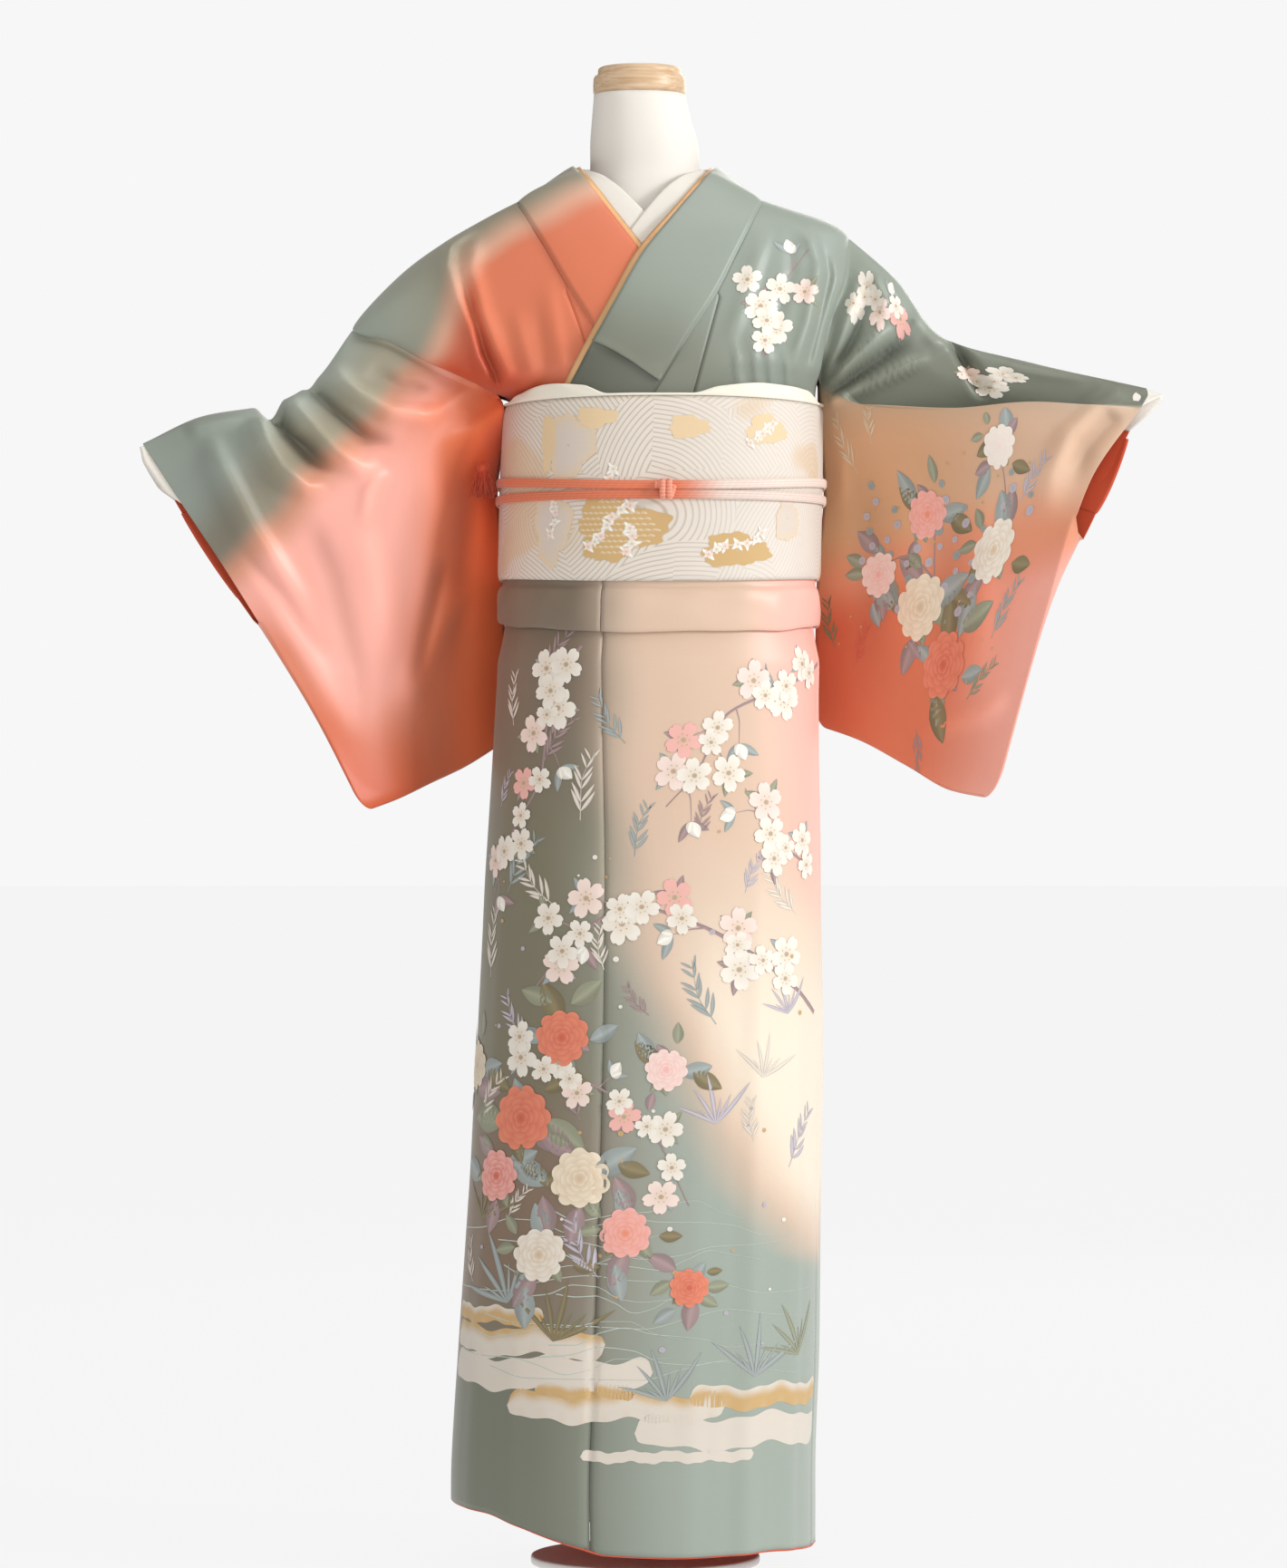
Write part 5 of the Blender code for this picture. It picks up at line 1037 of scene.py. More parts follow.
# Front and back share these two rows, the shoulder's fold and the foot
rightTop = (0.00, -0.346, -0.045, 1.234, -0.389, -0.062, 1.210, -0.456, -0.080, 1.197, -0.518, -0.100, 1.167)
rightFoot = (1.00, -0.190, 0.038, 0.834, -0.224, -0.004, 0.817, -0.258, -0.042, 0.800, -0.292, -0.068, 0.787)
leftTop = (0.00, 0.261, -0.030, 1.343, 0.310, -0.040, 1.281, 0.403, -0.048, 1.254, 0.520, -0.058, 1.227)
leftFoot = (1.00, 0.226, 0.040, 0.862, 0.274, 0.002, 0.835, 0.319, -0.034, 0.809, 0.363, -0.060, 0.800)
sleeves = {
    "right": {
        "front": table(
            sleeveNames, rightTop,
            (0.17, -0.290, -0.088, 1.207, -0.351, -0.10, 1.174, -0.416, -0.108, 1.141, -0.480, -0.104, 1.108),
            (0.38, -0.220, -0.078, 1.168, -0.290, -0.094, 1.123, -0.360, -0.102, 1.080, -0.433, -0.10, 1.037),
            (0.60, -0.209, -0.004, 1.037, -0.266, -0.05, 1.005, -0.322, -0.080, 0.974, -0.378, -0.090, 0.948),
            (0.80, -0.199, 0.026, 0.933, -0.247, -0.022, 0.912, -0.293, -0.060, 0.890, -0.338, -0.080, 0.880),
            rightFoot,
        ),
        "back": table(
            sleeveNames, rightTop,
            (0.17, -0.298, 0.000, 1.214, -0.361, -0.028, 1.180, -0.424, -0.052, 1.147, -0.490, -0.066, 1.113),
            (0.38, -0.227, 0.012, 1.173, -0.297, -0.022, 1.126, -0.369, -0.050, 1.083, -0.445, -0.068, 1.041),
            (0.60, -0.212, 0.034, 1.039, -0.269, -0.010, 1.007, -0.326, -0.050, 0.975, -0.381, -0.083, 0.949),
            (0.80, -0.201, 0.050, 0.934, -0.249, 0.006, 0.912, -0.296, -0.038, 0.891, -0.340, -0.073, 0.880),
            rightFoot,
        ),
        "furi": table(
            "down x front back z", (0.405, -0.1470, -0.032, 0.042, 1.207),
            (0.46, -0.1497, 0.014, 0.054, 1.176), (0.56, -0.1574, 0.050, 0.078, 1.125),
            (0.61, -0.1548, 0.055, 0.081, 1.098), (0.70, -0.1510, 0.060, 0.086, 1.050),
            (0.85, -0.150, 0.070, 0.090, 0.960), (1.00, -0.150, 0.080, 0.080, 0.860),
        ),
        "armhole": 0.38, "beside": (-0.0013, -0.0024), "cuff": 0.52, "dyeAndShade": rightSleeveDye,
        "slot": "silk_coral",
        "creases": (
            (19, 13, 8, 0.1, 0.4, ((288, 452), (296, 484), (312, 512), (338, 536), (368, 540))),
            (18, 13, 8, 0.1, 0.35, ((318, 436), (346, 466), (372, 496), (398, 514), (424, 510))),
            (16, 13, 8, 0.15, 0.3, ((360, 400), (398, 432), (432, 452), (468, 456), (500, 446))),
            (11, 16, 12, 0.2, 0.5, ((223, 464), (248, 516), (278, 577), (327, 656), (360, 730))),
            (8, 11, 9, 0.2, 0.2, ((200, 474), (240, 462), (290, 450))),
            (-17, 8, 10, 0.1, 0.4, ((303, 446), (318, 476), (344, 504), (372, 520))),
            (-15, 8, 9, 0.1, 0.4, ((340, 424), (368, 454), (402, 482), (440, 488))),
            (-7, 9, 9, 0.3, 0.3, ((404, 408), (440, 426), (480, 430))),
            (6, 10, 9, 0.2, 0.4, ((424, 512), (408, 546), (400, 590))),
            (8, 18, 12, 0.3, 0.5, ((470, 470), (482, 560), (470, 660), (450, 760))),
            (-7, 12, 14, 0.3, 0.5, ((505, 470), (514, 560), (507, 680), (495, 780))),
            (7, 18, 12, 0.2, 0.3, ((522, 632), (492, 680), (462, 740), (440, 796))),
            (-8, 9, 9, 0.2, 0.3, ((492, 610), (480, 660), (465, 730), (452, 770))),
            (7, 20, 16, 0.3, 0.5, ((395, 560), (420, 650), (430, 760))),
            (-6, 14, 14, 0.2, 0.4, ((332, 560), (366, 640), (392, 740), (402, 820))),
            (5, 12, 12, 0.2, 0.5, ((530, 450), (540, 540), (534, 640))),
            (6, 16, 14, 0.4, 0.4, ((250, 600), (300, 660), (350, 740), (390, 830))),
            (-4, 10, 10, 0.3, 0.4, ((262, 590), (312, 660), (356, 734))),
        ),
    },
    "left": {
        "front": table(
            sleeveNames, leftTop,
            (0.12, 0.252, -0.056, 1.295, 0.312, -0.056, 1.242, 0.404, -0.058, 1.228, 0.521, -0.066, 1.221),
            (0.25, 0.236, -0.044, 1.203, 0.319, -0.044, 1.192, 0.404, -0.056, 1.202, 0.517, -0.074, 1.213),
            (0.33, 0.233, -0.070, 1.209, 0.317, -0.082, 1.205, 0.401, -0.088, 1.211, 0.511, -0.080, 1.203),
            (0.50, 0.257, 0.004, 1.117, 0.327, -0.038, 1.117, 0.394, -0.068, 1.129, 0.460, -0.086, 1.130),
            (0.75, 0.242, 0.026, 0.983, 0.301, -0.012, 0.974, 0.358, -0.048, 0.973, 0.415, -0.078, 0.988),
            leftFoot,
        ),
        "back": table(
            sleeveNames, leftTop,
            (0.12, 0.255, 0.018, 1.305, 0.318, 0.004, 1.253, 0.406, -0.018, 1.237, 0.523, -0.046, 1.222),
            (0.33, 0.254, 0.040, 1.217, 0.326, 0.020, 1.200, 0.408, -0.012, 1.198, 0.500, -0.050, 1.175),
            (0.50, 0.257, 0.046, 1.119, 0.329, 0.012, 1.120, 0.399, -0.024, 1.124, 0.470, -0.058, 1.101),
            (0.75, 0.243, 0.050, 0.984, 0.303, 0.014, 0.975, 0.360, -0.030, 0.974, 0.416, -0.071, 0.988),
            leftFoot,
        ),
        "furi": table(
            "down x front back z", (0.345, 0.1822, -0.014, 0.042, 1.208),
            (0.41, 0.1862, 0.020, 0.054, 1.168), (0.50, 0.1896, 0.048, 0.074, 1.120),
            (0.55, 0.1876, 0.053, 0.078, 1.093), (0.65, 0.1830, 0.060, 0.084, 1.040),
            (0.85, 0.1810, 0.068, 0.086, 0.950), (1.00, 0.1800, 0.078, 0.078, 0.879),
        ),
        "armhole": 0.30, "beside": (0.0018, -0.0005), "cuff": 0.58, "dyeAndShade": leftSleeveDye,
        "slot": "silk_peach",
        "creases": (
            (15, 9, 6, 0.05, 0.3, ((903, 434), (934, 402), (964, 374), (988, 354))),
            (-13, 7, 7, 0.05, 0.3, ((908, 440), (946, 412), (984, 386), (1010, 372))),
            (14, 7, 8, 0.05, 0.3, ((912, 444), (958, 424), (1000, 404), (1032, 392))),
            (12, 8, 6, 0.05, 0.4, ((901, 428), (922, 384), (938, 334), (948, 290))),
            (-10, 6, 6, 0.05, 0.4, ((905, 430), (934, 388), (955, 345), (966, 312))),
            (7, 7, 7, 0.3, 0.3, ((962, 300), (978, 330), (972, 352))),
            (16, 16, 7, 0.2, 0.3, ((1012, 338), (1034, 360), (1046, 388))),
            (-18, 5, 9, 0.2, 0.2, ((1046, 366), (1062, 396), (1078, 424), (1088, 440))),
            (6, 10, 9, 0.2, 0.3, ((1100, 400), (1150, 408), (1220, 416))),
            (9, 12, 15, 0.1, 0.4, ((1251, 428), (1210, 452), (1180, 480), (1160, 520), (1150, 580))),
            (-7, 11, 11, 0.1, 0.4, ((1232, 452), (1200, 490), (1180, 540))),
            (5, 20, 18, 0.3, 0.5, ((1000, 500), (1010, 620), (1000, 760))),
            (-5, 18, 18, 0.3, 0.5, ((950, 500), (960, 640), (955, 780))),
            (5, 16, 20, 0.3, 0.4, ((1090, 520), (1080, 640), (1070, 800))),
            (-4, 16, 16, 0.3, 0.4, ((1045, 540), (1046, 660), (1036, 790))),
            (5, 10, 12, 0.3, 0.3, ((1120, 760), (1080, 790), (1010, 810))),
            (4, 8, 10, 0.3, 0.3, ((905, 452), (930, 500), (926, 570))),
        ),
    },
}
sleeveRoom = 0.0056
sleeveCut = (0.33, 0.49)  # width and drop of a sleeve
sleeveCorner = 0.022
sleeveRim = 0.012  # share of the width and drop over which front and back run together
sleeveTroughs = table("along span depth down", (0.50, 0.075, 0.016, 0.22), (0.27, 0.06, 0.004, 0.16))


# One layer of a sleeve: smooth through its rows, then from the body's edge out to the cuff
def sleeveSheet(side, face, along, down):
    spec = sleeves[side]
    rows, furi = spec[face], spec["furi"]
    bend, turn = np.arccos(1 - 2 * rows["down"]), np.arccos(1 - 2 * down)
    seamDown = np.array([0.0, 0.25, 0.5, 0.75, 1.0]) * spec["armhole"]
    edge = edgeOf(shoulderRow - (shoulderRow - underarmRow) * seamDown / spec["armhole"], side, face)
    edge[:, [0, 2]] += spec["beside"]
    stations = np.concatenate([seamDown, furi["down"]])
    lines = [np.concatenate([edge[:, i], furi[k]]) for i, k in ((0, "x"), (1, face), (2, "z"))]
    columns = [np.stack([smooth(stations, values, down) for values in lines], axis=-1)]
    for i in range(1, 5):
        x, z = (smooth(rows["down"], rows[k + str(i)], down) for k in "xz")
        columns.append(joined(x, smooth(bend, rows["y%d" % i], turn), z))
    flat = np.array(columns).reshape(5, -1)
    places = np.linspace(0, 1, 5)
    made = np.stack([smooth(places, flat[:, k], along) for k in range(flat.shape[1])], axis=-1)
    return made.reshape(len(along), len(down), 3)


# Both layers with the listed creases, held apart by the room that the cloth's thickness needs
def sleeveLayers(side, along, down):
    spec = sleeves[side]
    front, back = sleeveSheet(side, "front", along, down), sleeveSheet(side, "back", along, down)
    off = stepUp(along, 0.0, 0.09)[:, None]
    near = rootUp(np.minimum(down, 1 - down), 0.05)
    shiftFront = creaseShift(front, spec["creases"]) + ripple(front, 0.030, 0.0020, 0.05)
    shiftBack = creaseShift(back, spec["creases"]) * 0.8 + ripple(back, 0.030, 0.0020, 0.05)
    spec["relief"] = shiftFront * off * near, shiftBack * off * near
    front[..., 1] -= spec["relief"][0]
    back[..., 1] -= spec["relief"][1]
    room = sleeveRoom * rootUp(np.minimum(down, 1 - down), 0.02)
    short = np.maximum(room - (back[..., 1] - front[..., 1]), 0) / 2
    front[..., 1] -= short
    back[..., 1] += short
    if side == "right":
        for place, span, depth, reach in zip(*sleeveTroughs.values()):
            share = np.clip((along - place) / span, -1, 1)
            dip = depth * np.cos(share * math.pi / 2)[:, None] ** 2 * (1 - stepUp(down, 0, reach))
            front[..., 2] -= dip
            back[..., 2] -= dip
    return front, back


# The sleeve's edge runs on under the body's: ring by ring, sunk towards the middle of the arm's opening
def underBody(side, face, down, edge):
    armhole = sleeves[side]["armhole"]
    row = shoulderRow - (shoulderRow - underarmRow) * np.minimum(down / armhole, 1)
    near, far = upper(row, 0.955, side, face), upper(row, 0.955, side, "back" if face == "front" else "front")
    inward = (near + far) / 2 - near + (-0.004 if side == "left" else 0.004, 0, 0)
    inward = unit(inward)
    keep = (1 - stepUp(down, 0.82 * armhole, armhole))[:, None]
    return edge + (near + 0.0019 * inward - edge) * keep


def sampled(grid, along, down, atAlong, atDown):  # bilinear between the grid's points
    i = np.interp(atAlong, along, np.arange(len(along)))
    j = np.interp(atDown, down, np.arange(len(down)))
    i0, j0 = np.minimum(i.astype(int), len(along) - 2), np.minimum(j.astype(int), len(down) - 2)
    fi, fj = (i - i0)[..., None], (j - j0)[..., None]
    low = grid[i0, j0] * (1 - fj) + grid[i0, j0 + 1] * fj
    return low * (1 - fi) + (grid[i0 + 1, j0] * (1 - fj) + grid[i0 + 1, j0 + 1] * fj) * fi


# The bottom corners are rounded: within a radius of each the square is carried to a disc
def roundCorners(grid, along, down):
    a, d = np.meshgrid(along * sleeveCut[0], down * sleeveCut[1], indexing="ij")
    radius = sleeveCorner
    for near in (0.0, sleeveCut[0]):
        p = np.clip(1 - np.abs(a - near) / radius, 0, 1)
        q = np.clip(1 - (sleeveCut[1] - d) / radius, 0, 1)
        sign = 1 if near == 0 else -1
        atA = near + sign * radius * (1 - p * np.sqrt(1 - q**2 / 2))
        atD = sleeveCut[1] - radius * (1 - q * np.sqrt(1 - p**2 / 2))
        inside = (p > 0) & (q > 0)
        a, d = np.where(inside, atA, a), np.where(inside, atD, d)
    return sampled(grid, along, down, a / sleeveCut[0], d / sleeveCut[1])


# Front and back run together at the outer edge, below the cuff opening, and at the foot
def closeEdge(front, back, along, down, cuff):
    share = rootUp(1 - along, sleeveRim)[:, None]
    share = np.where(down[None, :] > cuff, share, 1.0)
    share = np.minimum(share, rootUp(1 - down, sleeveRim)[None, :])
    middle = (front + back) / 2
    return middle + (front - middle) * share[..., None], middle + (back - middle) * share[..., None]


def buildSleeves():
    for side, spec in sleeves.items():
        along = np.concatenate([np.linspace(0, 0.985, 88), np.linspace(0.989, 1, 6)])
        down = np.concatenate([[0, 0.003, 0.008], np.linspace(0.015, 0.985, 112), [0.992, 0.997, 1]])
        front, back = sleeveLayers(side, along, down)
        front, back = roundCorners(front, along, down), roundCorners(back, along, down)
        front, back = closeEdge(front, back, along, down, spec["cuff"])
        spec["grid"], spec["along"], spec["down"] = front, along, down
        relief = [np.concatenate([layer[:1], layer]) for layer in spec["relief"]]
        relief = np.concatenate([relief[0], relief[1][:, -2:0:-1]], axis=1)
        front = np.concatenate([underBody(side, "front", down, front[0])[None], front])
        back = np.concatenate([underBody(side, "back", down, back[0])[None], back])
        ring = np.concatenate([front, back[:, -2:0:-1]], axis=1)
        faces = gridFaces(ring.shape[0], ring.shape[1], True)
        middle = ring.mean(axis=1)

        def outward(centre, middle=middle):
            nearest = np.abs(centre[:, 0:1] - middle[None, :, 0]).argmin(axis=1)
            return (centre - middle[nearest]) * (0.2, 1, 0.2)

        faces = turnedOut(ring, faces, outward)
        # the sleeve's colour with painted crease shade: darker in the valleys, lighter on the ridges
        colour = spec["dyeAndShade"](onView(ring), np.concatenate([down, down[-2:0:-1]])) * worn(relief)
        colour = colour.reshape(-1, 3)
        rows = np.linspace(0, sleeveCut[0], ring.shape[0])[:, None]
        across = np.concatenate([down, 2 - down[-2:0:-1]]) * sleeveCut[1]
        places = joined(across[None, :], rows)
        finish = [finishes["silk"], finishes["lining"], finishes["silk"], finishes["silk"]]
        made = newPiece("sleeve_" + side, ring, faces, finish, colour, places)
        # the front's folded-over stretch keeps the outer finish on its inner side too
        inner = np.arange(ring.shape[0] - 1)[:, None] < 0.8 * len(along)
        inFold = inner & (np.abs(np.r_[down, down[-2:0:-1] + 9] - 0.34) < 0.09)
        made.data.polygons.foreach_set("material_index", np.where(inFold, 2, 0).ravel().astype(np.int32))
        mergeNear(made, 2e-5)
        addWall(made, cloth["wall"], 1)
        settle(made)


buildSleeves()
print("sleeves made")

# The cream inner cuffs and the coral lining strips in the sleeve openings
cuffs = {
    "inset": 0.0014,
    "reach": 0.030,  # how far it goes back into the sleeve
    "right": table("down out", (0, 0.0040), (0.05, 0.0100), (0.12, 0.0090), (0.18, 0.0)),
    "left": table("down out", (0, 0.0030), (0.07, 0.0080), (0.16, 0.0165), (0.23, 0.0110), (0.305, 0)),
    "rightStrip": {"down": (0.22, 0.46), "out": 0.0020}, "leftStrip": {"down": (0.33, 0.51), "out": 0.0050},
    "wall": 0.0009,
}
cuffSteps = np.linspace(0, 1, 12)[:, None, None]


# Each runs along the sleeve's own direction, from inside it to past its edge by this width
def pastOpening(edge, width):
    way = unit(edge[1] - edge[0])
    return edge[1] + way * (width * cuffSteps - cuffs["reach"] * (1 - cuffSteps))


def buildCuffs():
    nearEdge, inset = np.array([0.92, 1.0]), cuffs["inset"]
    for side in ("right", "left"):
        shows = cuffs[side]
        down = np.linspace(0, 1, 60) ** 1.3 * shows["down"][-1]
        front, back = sleeveLayers(side, nearEdge, down)
        opened = rootUp(down, 0.03)[None, :, None]
        front = front + opened * (0, inset, 0) - (1 - opened) * (0, 0, inset * 1.6)
        back = back - opened * (0, inset, 0) - (1 - opened) * (0, 0, inset * 1.6)
        width = curve(shows, "out", np.concatenate([down[:0:-1], down]))[:, None]
        grid = pastOpening(np.concatenate([front[:, :0:-1], back], axis=1), width)
        waves = np.sin(cuffSteps * 9 + np.linspace(0, 14, len(width))[:, None])
        puff = np.sin(np.clip(cuffSteps * 2 - 1, 0, 1) * math.pi) * 0.0008 + 0.0005 * waves
        outwards = np.where(np.arange(len(width)) < len(width) / 2, -1, 1)[:, None]
        grid[..., 1] += (puff * outwards * stepUp(cuffSteps, 0.85, 0.95))[..., 0] * 0.6
        away = lambda centre, middle=grid.mean(axis=(0, 1)): centre - middle
        clothFrom("inner_cuff_" + side, [grid], finishes["white"], None, away, cuffs["wall"])

        spec = cuffs[side + "Strip"]
        down = np.linspace(*spec["down"], 70)
        back = sleeveLayers(side, nearEdge, down)[1] - (0, inset, 0)
        width = spec["out"] * np.sin(np.linspace(0.1, 1, len(down)) * math.pi)[:, None] ** 0.6
        grid = pastOpening(back, width)
        name = "cuff_lining_" + side
        clothFrom(name, [grid], finishes["lining"], None, (0, -1, 0), cuffs["wall"])


buildCuffs()
print("cuffs made")

# The obi set
obi = {
    "top": 1.2144, "sideDrop": 0.005, "wall": 0.0036, "handFrom": 112.5, "handTo": 247.5, "handFoot": 1.072,
    "handTop": 1.166, "handOut": 0.0044, "drumCentre": 0.016, "drumHalf": 0.150, "drumWall": 0.0030,
    "tailWall": 0.0025,
}
drumLine = table(
    "y z", (0.1395, 1.200), (0.1400, 1.232), (0.1490, 1.260), (0.1670, 1.273), (0.1880, 1.266),
    (0.2020, 1.240), (0.2100, 1.190), (0.2130, 1.120), (0.2110, 1.055), (0.2050, 1.018), (0.1910, 0.999),
    (0.1730, 0.998), (0.1630, 1.012), (0.1610, 1.052),
)
tailLine = table("y z", (0.1540, 1.050), (0.1550, 1.000), (0.1530, 0.960), (0.1500, 0.922))
obiAge = table(
    "angle rise", (-180, 0.0060), (-110, 0.0030), (-76, 0.0028), (-62, 0.0090), (-42, 0.0155),
    (-26, 0.0122), (-16, 0.0026), (7, 0.0026), (16, 0.0100), (35, 0.0155), (60, 0.0130), (76, 0.0028),
    (110, 0.0030), (180, 0.0060),
)
obiAgeSection = table(
    "out up", (-1.0, 0.0), (-0.1, 0.0), (0.16, 0.30), (0.05, 0.8), (-0.35, 1.0), (-0.8, 0.86), (-0.98, 0.5),
    (-1.0, 0.0),
)


def obiTop(angle):
    return obi["top"] - obi["sideDrop"] * np.sin(np.radians(angle)) ** 2


# Brocade: combed arcs from cell centres (sin of the distance), a ribbed ground and soft gold patches
def brocadeFinish(look):
    made, add, surface = started("obiBrocade")
    place = add("TexCoord").outputs
    cells = add("TexVoronoi", {"Vector": place["UV"], "Scale": look["cells"], "Randomness": 0.85}).outputs
    # each cell's arcs are struck from its own far-off centre: the cell's place plus a random step
    throw = np.array((look["throw"], look["throw"], 0))
    thrown = {0: cells["Color"], 1: throw, 2: cells["Position"]}
    centre = {0: add("VectorMath", thrown, operation="MULTIPLY_ADD").outputs[0], 1: throw / 2}
    arcs = {0: place["UV"], 1: add("VectorMath", centre, operation="SUBTRACT").outputs[0]}
    apart = add("VectorMath", arcs, operation="DISTANCE").outputs["Value"]
    wave = maths(add, "SINE", maths(add, "MULTIPLY", apart, look["comb"]))
    lines = add("MapRange", {"Value": wave, "From Min": 0.35, "From Max": 0.95}).outputs[0]
    # painted sheen: the arcs grow faint towards the wearer's left, the side the light comes from
    x = add("SeparateXYZ", {0: place["Object"]}).outputs["X"]
    left = {"Value": x, "From Min": 0.01, "From Max": 0.11}
    faint = maths(add, "MULTIPLY", lines, add("MapRange", {**left, "To Min": 1.0, "To Max": 0.38}).outputs[0])
    weave = {"Factor": faint, "A": (*look["ground"], 1), "B": (*look["line"], 1)}
    cloud = add("TexNoise", {"Vector": place["UV"], "Scale": look["patch"], "Detail": 2.0}).outputs[0]
    edge = add("MapRange", {"Value": cloud, "From Min": 0.56, "From Max": 0.60, "To Max": 0.55}).outputs[0]
    woven = add("Mix", weave, data_type="RGBA").outputs["Result"]
    gilt = {"Factor": edge, "A": woven, "B": (*look["gilt"], 1)}
    ribs = {"Vector": place["UV"], "Scale": look["ribs"], "Distortion": 0.4}
    relief = maths(add, "MULTIPLY_ADD", lines, 0.8, add("TexWave", ribs, bands_direction="Y").outputs["Fac"])
    surface({
        "Base Color": add("Mix", gilt, data_type="RGBA").outputs["Result"], "Roughness": 0.48,
        "Normal": bumped(add, relief, 0.45, 0.0003), "Sheen Weight": 0.25, "Sheen Roughness": 0.4,
        "Specular IOR Level": 0.45,
    })
    return made


brocade = brocadeFinish({
    "ground": (0.77, 0.71, 0.64), "line": (0.57, 0.48, 0.38), "gilt": (0.70, 0.50, 0.29),
    "cells": 15.0, "throw": 0.34, "comb": 1350.0, "patch": 6.0, "ribs": 500,
})


def obiPoint(angle, height, lift=0.0):  # the obi's face, slightly uneven, its edges turned in
    share = (height - obiFoot(angle)) / (obiTop(angle) - obiFoot(angle))
    edge = 0.0016 * (bell(share, 0.02) + bell(1 - share, 0.02))
    plain = trunk(angle, height)
    soft = ripple(plain * (1, 1, 0.5), 0.030, 0.0005, 0.2)
    return trunk(angle, height, lift + soft - edge)


def buildObi():
    angle = np.linspace(0, 360, 210, endpoint=False)
    up = np.linspace(0, 1, 48)[:, None]
    grid = obiPoint(angle[None, :], obiFoot(angle) + (obiTop(angle) - obiFoot(angle)) * up)
    faces = turnedOut(grid, gridFaces(len(up), len(angle), True), fromAxis)
    turn = np.where(angle < 180, angle, angle - 360)
    places = joined(np.radians(turn)[None, :] * 0.16, 0.19 * up)
    made = newPiece("obi_wrap", grid, faces, brocade, None, places)
    addWall(made, obi["wall"] - 0.0006)
    settle(made)

    width = np.linspace(-obi["drumHalf"], obi["drumHalf"], 50) + obi["drumCentre"]
    bow = (("obi_drum", drumLine, 110, obi["drumWall"]), ("obi_tail", tailLine, 24, obi["tailWall"]))
    for name, outline, count, wall in bow:
        at = np.linspace(0, len(outline["y"]) - 1, count)
        y, z = byRow(outline, "y", at), byRow(outline, "z", at)
        grid = joined(width[None, :], y[:, None], z[:, None]).copy()
        grid[..., 1] += ripple(grid, 0.05, 0.0007)
        clothFrom(name, [grid], brocade, None, lambda c: c - (0.016, 0.15, 1.12), wall)
    angle = np.linspace(obi["handFrom"], obi["handTo"], 90)
    level = np.linspace(obi["handFoot"], obi["handTop"], 12)[:, None] * np.ones(len(angle))
    grid = trunk(angle[None, :], level, obi["handOut"])
    clothFrom("obi_hand", [grid], brocade, None, wall=obi["handOut"] - 0.0010)


def buildObiAge():  # the cream crepe roll above the obi's rim: a soft section whose height follows the table
    angle = np.linspace(-180, 180, 300, endpoint=False)
    rim = obiTop(angle)[:, None] + seam
    rise = curve(obiAge, "rise", angle)[:, None]
    ring = np.linspace(0, 1, 26, endpoint=False)
    out, up = (byRow(obiAgeSection, k, ring * 7) for k in obiAgeSection)
    wrinkle = 0.0005 * np.sin(angle[:, None] / 2.3 + 5 * up) + 0.0004 * np.sin(angle[:, None] / 5.1 - 3 * up)
    grid = trunk(angle[:, None], rim + rise * up, 0.0038 * out + wrinkle * up)
    closedFrom("obi_age", grid, finishes["cream"], None, loop=True)


cord = {
    "half": 0.0047, "deep": 0.0018, "rib": 0.00055, "notch": 0.00010,  # half height and depth, its relief
    "off": 0.0025,  # its middle before the obi's face
    "coral": (0.74, 0.20, 0.10), "pale": (0.83, 0.68, 0.60),
    "upper": (1.1225, 0.0070), "lower": (1.1128, -0.0012),  # height in front, rise at the sides
}


def cordDye(angle):  # coral at the wearer's right, cream and pink at the left
    angle = (np.asarray(angle) + 180) % 360 - 180
    pale = stepUp(angle, 2, 20) * (1 - stepUp(angle, 150, 180))
    return blended(np.broadcast_to(cord["coral"], angle.shape + (3,)), cord["pale"], pale)


# A flat braid round the obi: out = oval section + four ribs along it, finely notched where strands cross
def buildCord(name, level, rise, tint):
    angle = np.linspace(0, 360, 400, endpoint=False)
    over = stepUp(angle, 94, 109) - stepUp(angle, 251, 266)  # raised where it crosses the obi's hand
    centre = cord["off"] + (obi["handOut"] + 0.0006) * over
    s, c = rounded(circle(36), 2.8)
    length = np.radians(angle)[:, None] * skirt["radius"]
    ribs = np.abs(np.cos(np.clip(s, -1, 1) * 2 * math.pi))[None, :] ** 0.7
    notch = 0.5 + 0.5 * np.sin((length + 0.0016 * s) / 0.00062)
    relief = cord["rib"] * ribs + cord["notch"] * notch - 0.0004
    height = level + rise * np.sin(np.radians(angle)) ** 2
    out = centre[:, None] + (cord["deep"] + relief) * c[None, :]
    rings = trunk(angle[:, None], height[:, None] + cord["half"] * s[None, :], out)
    # painted shade: the braid darker between its ribs and in its notches, lighter on the ribs
    colour = cordDye(angle)[:, None, :] * tint * (0.62 + 0.42 * ribs + 0.06 * notch)[..., None]
    closedFrom(name, rings, finishes["cord"], np.clip(colour, 0, 1).reshape(-1, 3), loop=True)


def tube(path, radius, sides=12, flatten=1.0):  # rings round a path, each turned to the path's direction
    path = np.asarray(path, float)
    along = unit(np.gradient(path, axis=0))
    first = unit(np.cross(along, (0.13, 0.97, 0.21)))
    second = np.cross(along, first)
    turn = circle(sides)
    radius = np.broadcast_to(np.asarray(radius, float), (len(path),))[:, None, None]
    c, s = np.cos(turn)[None, :, None], flatten * np.sin(turn)[None, :, None]
    return path[:, None, :] + radius * (c * first[:, None, :] + s * second[:, None, :])


knot = {
    "x": 0.0216, "z": 1.1176, "strand": 0.0033, "turns": 2.0, "wide": 0.0135, "deep": 0.0034, "high": 0.0078,
    "colour": (0.80, 0.30, 0.20),
}
tassels = {
    "head": (-0.1695, -0.030, 1.146), "strands": 110, "length": (0.024, 0.007),  # least, and more by chance
    "spread": 0.35, "strand": 0.00042, "colour": (0.62, 0.08, 0.035), "wide": 0.0062, "high": 0.0065,
}


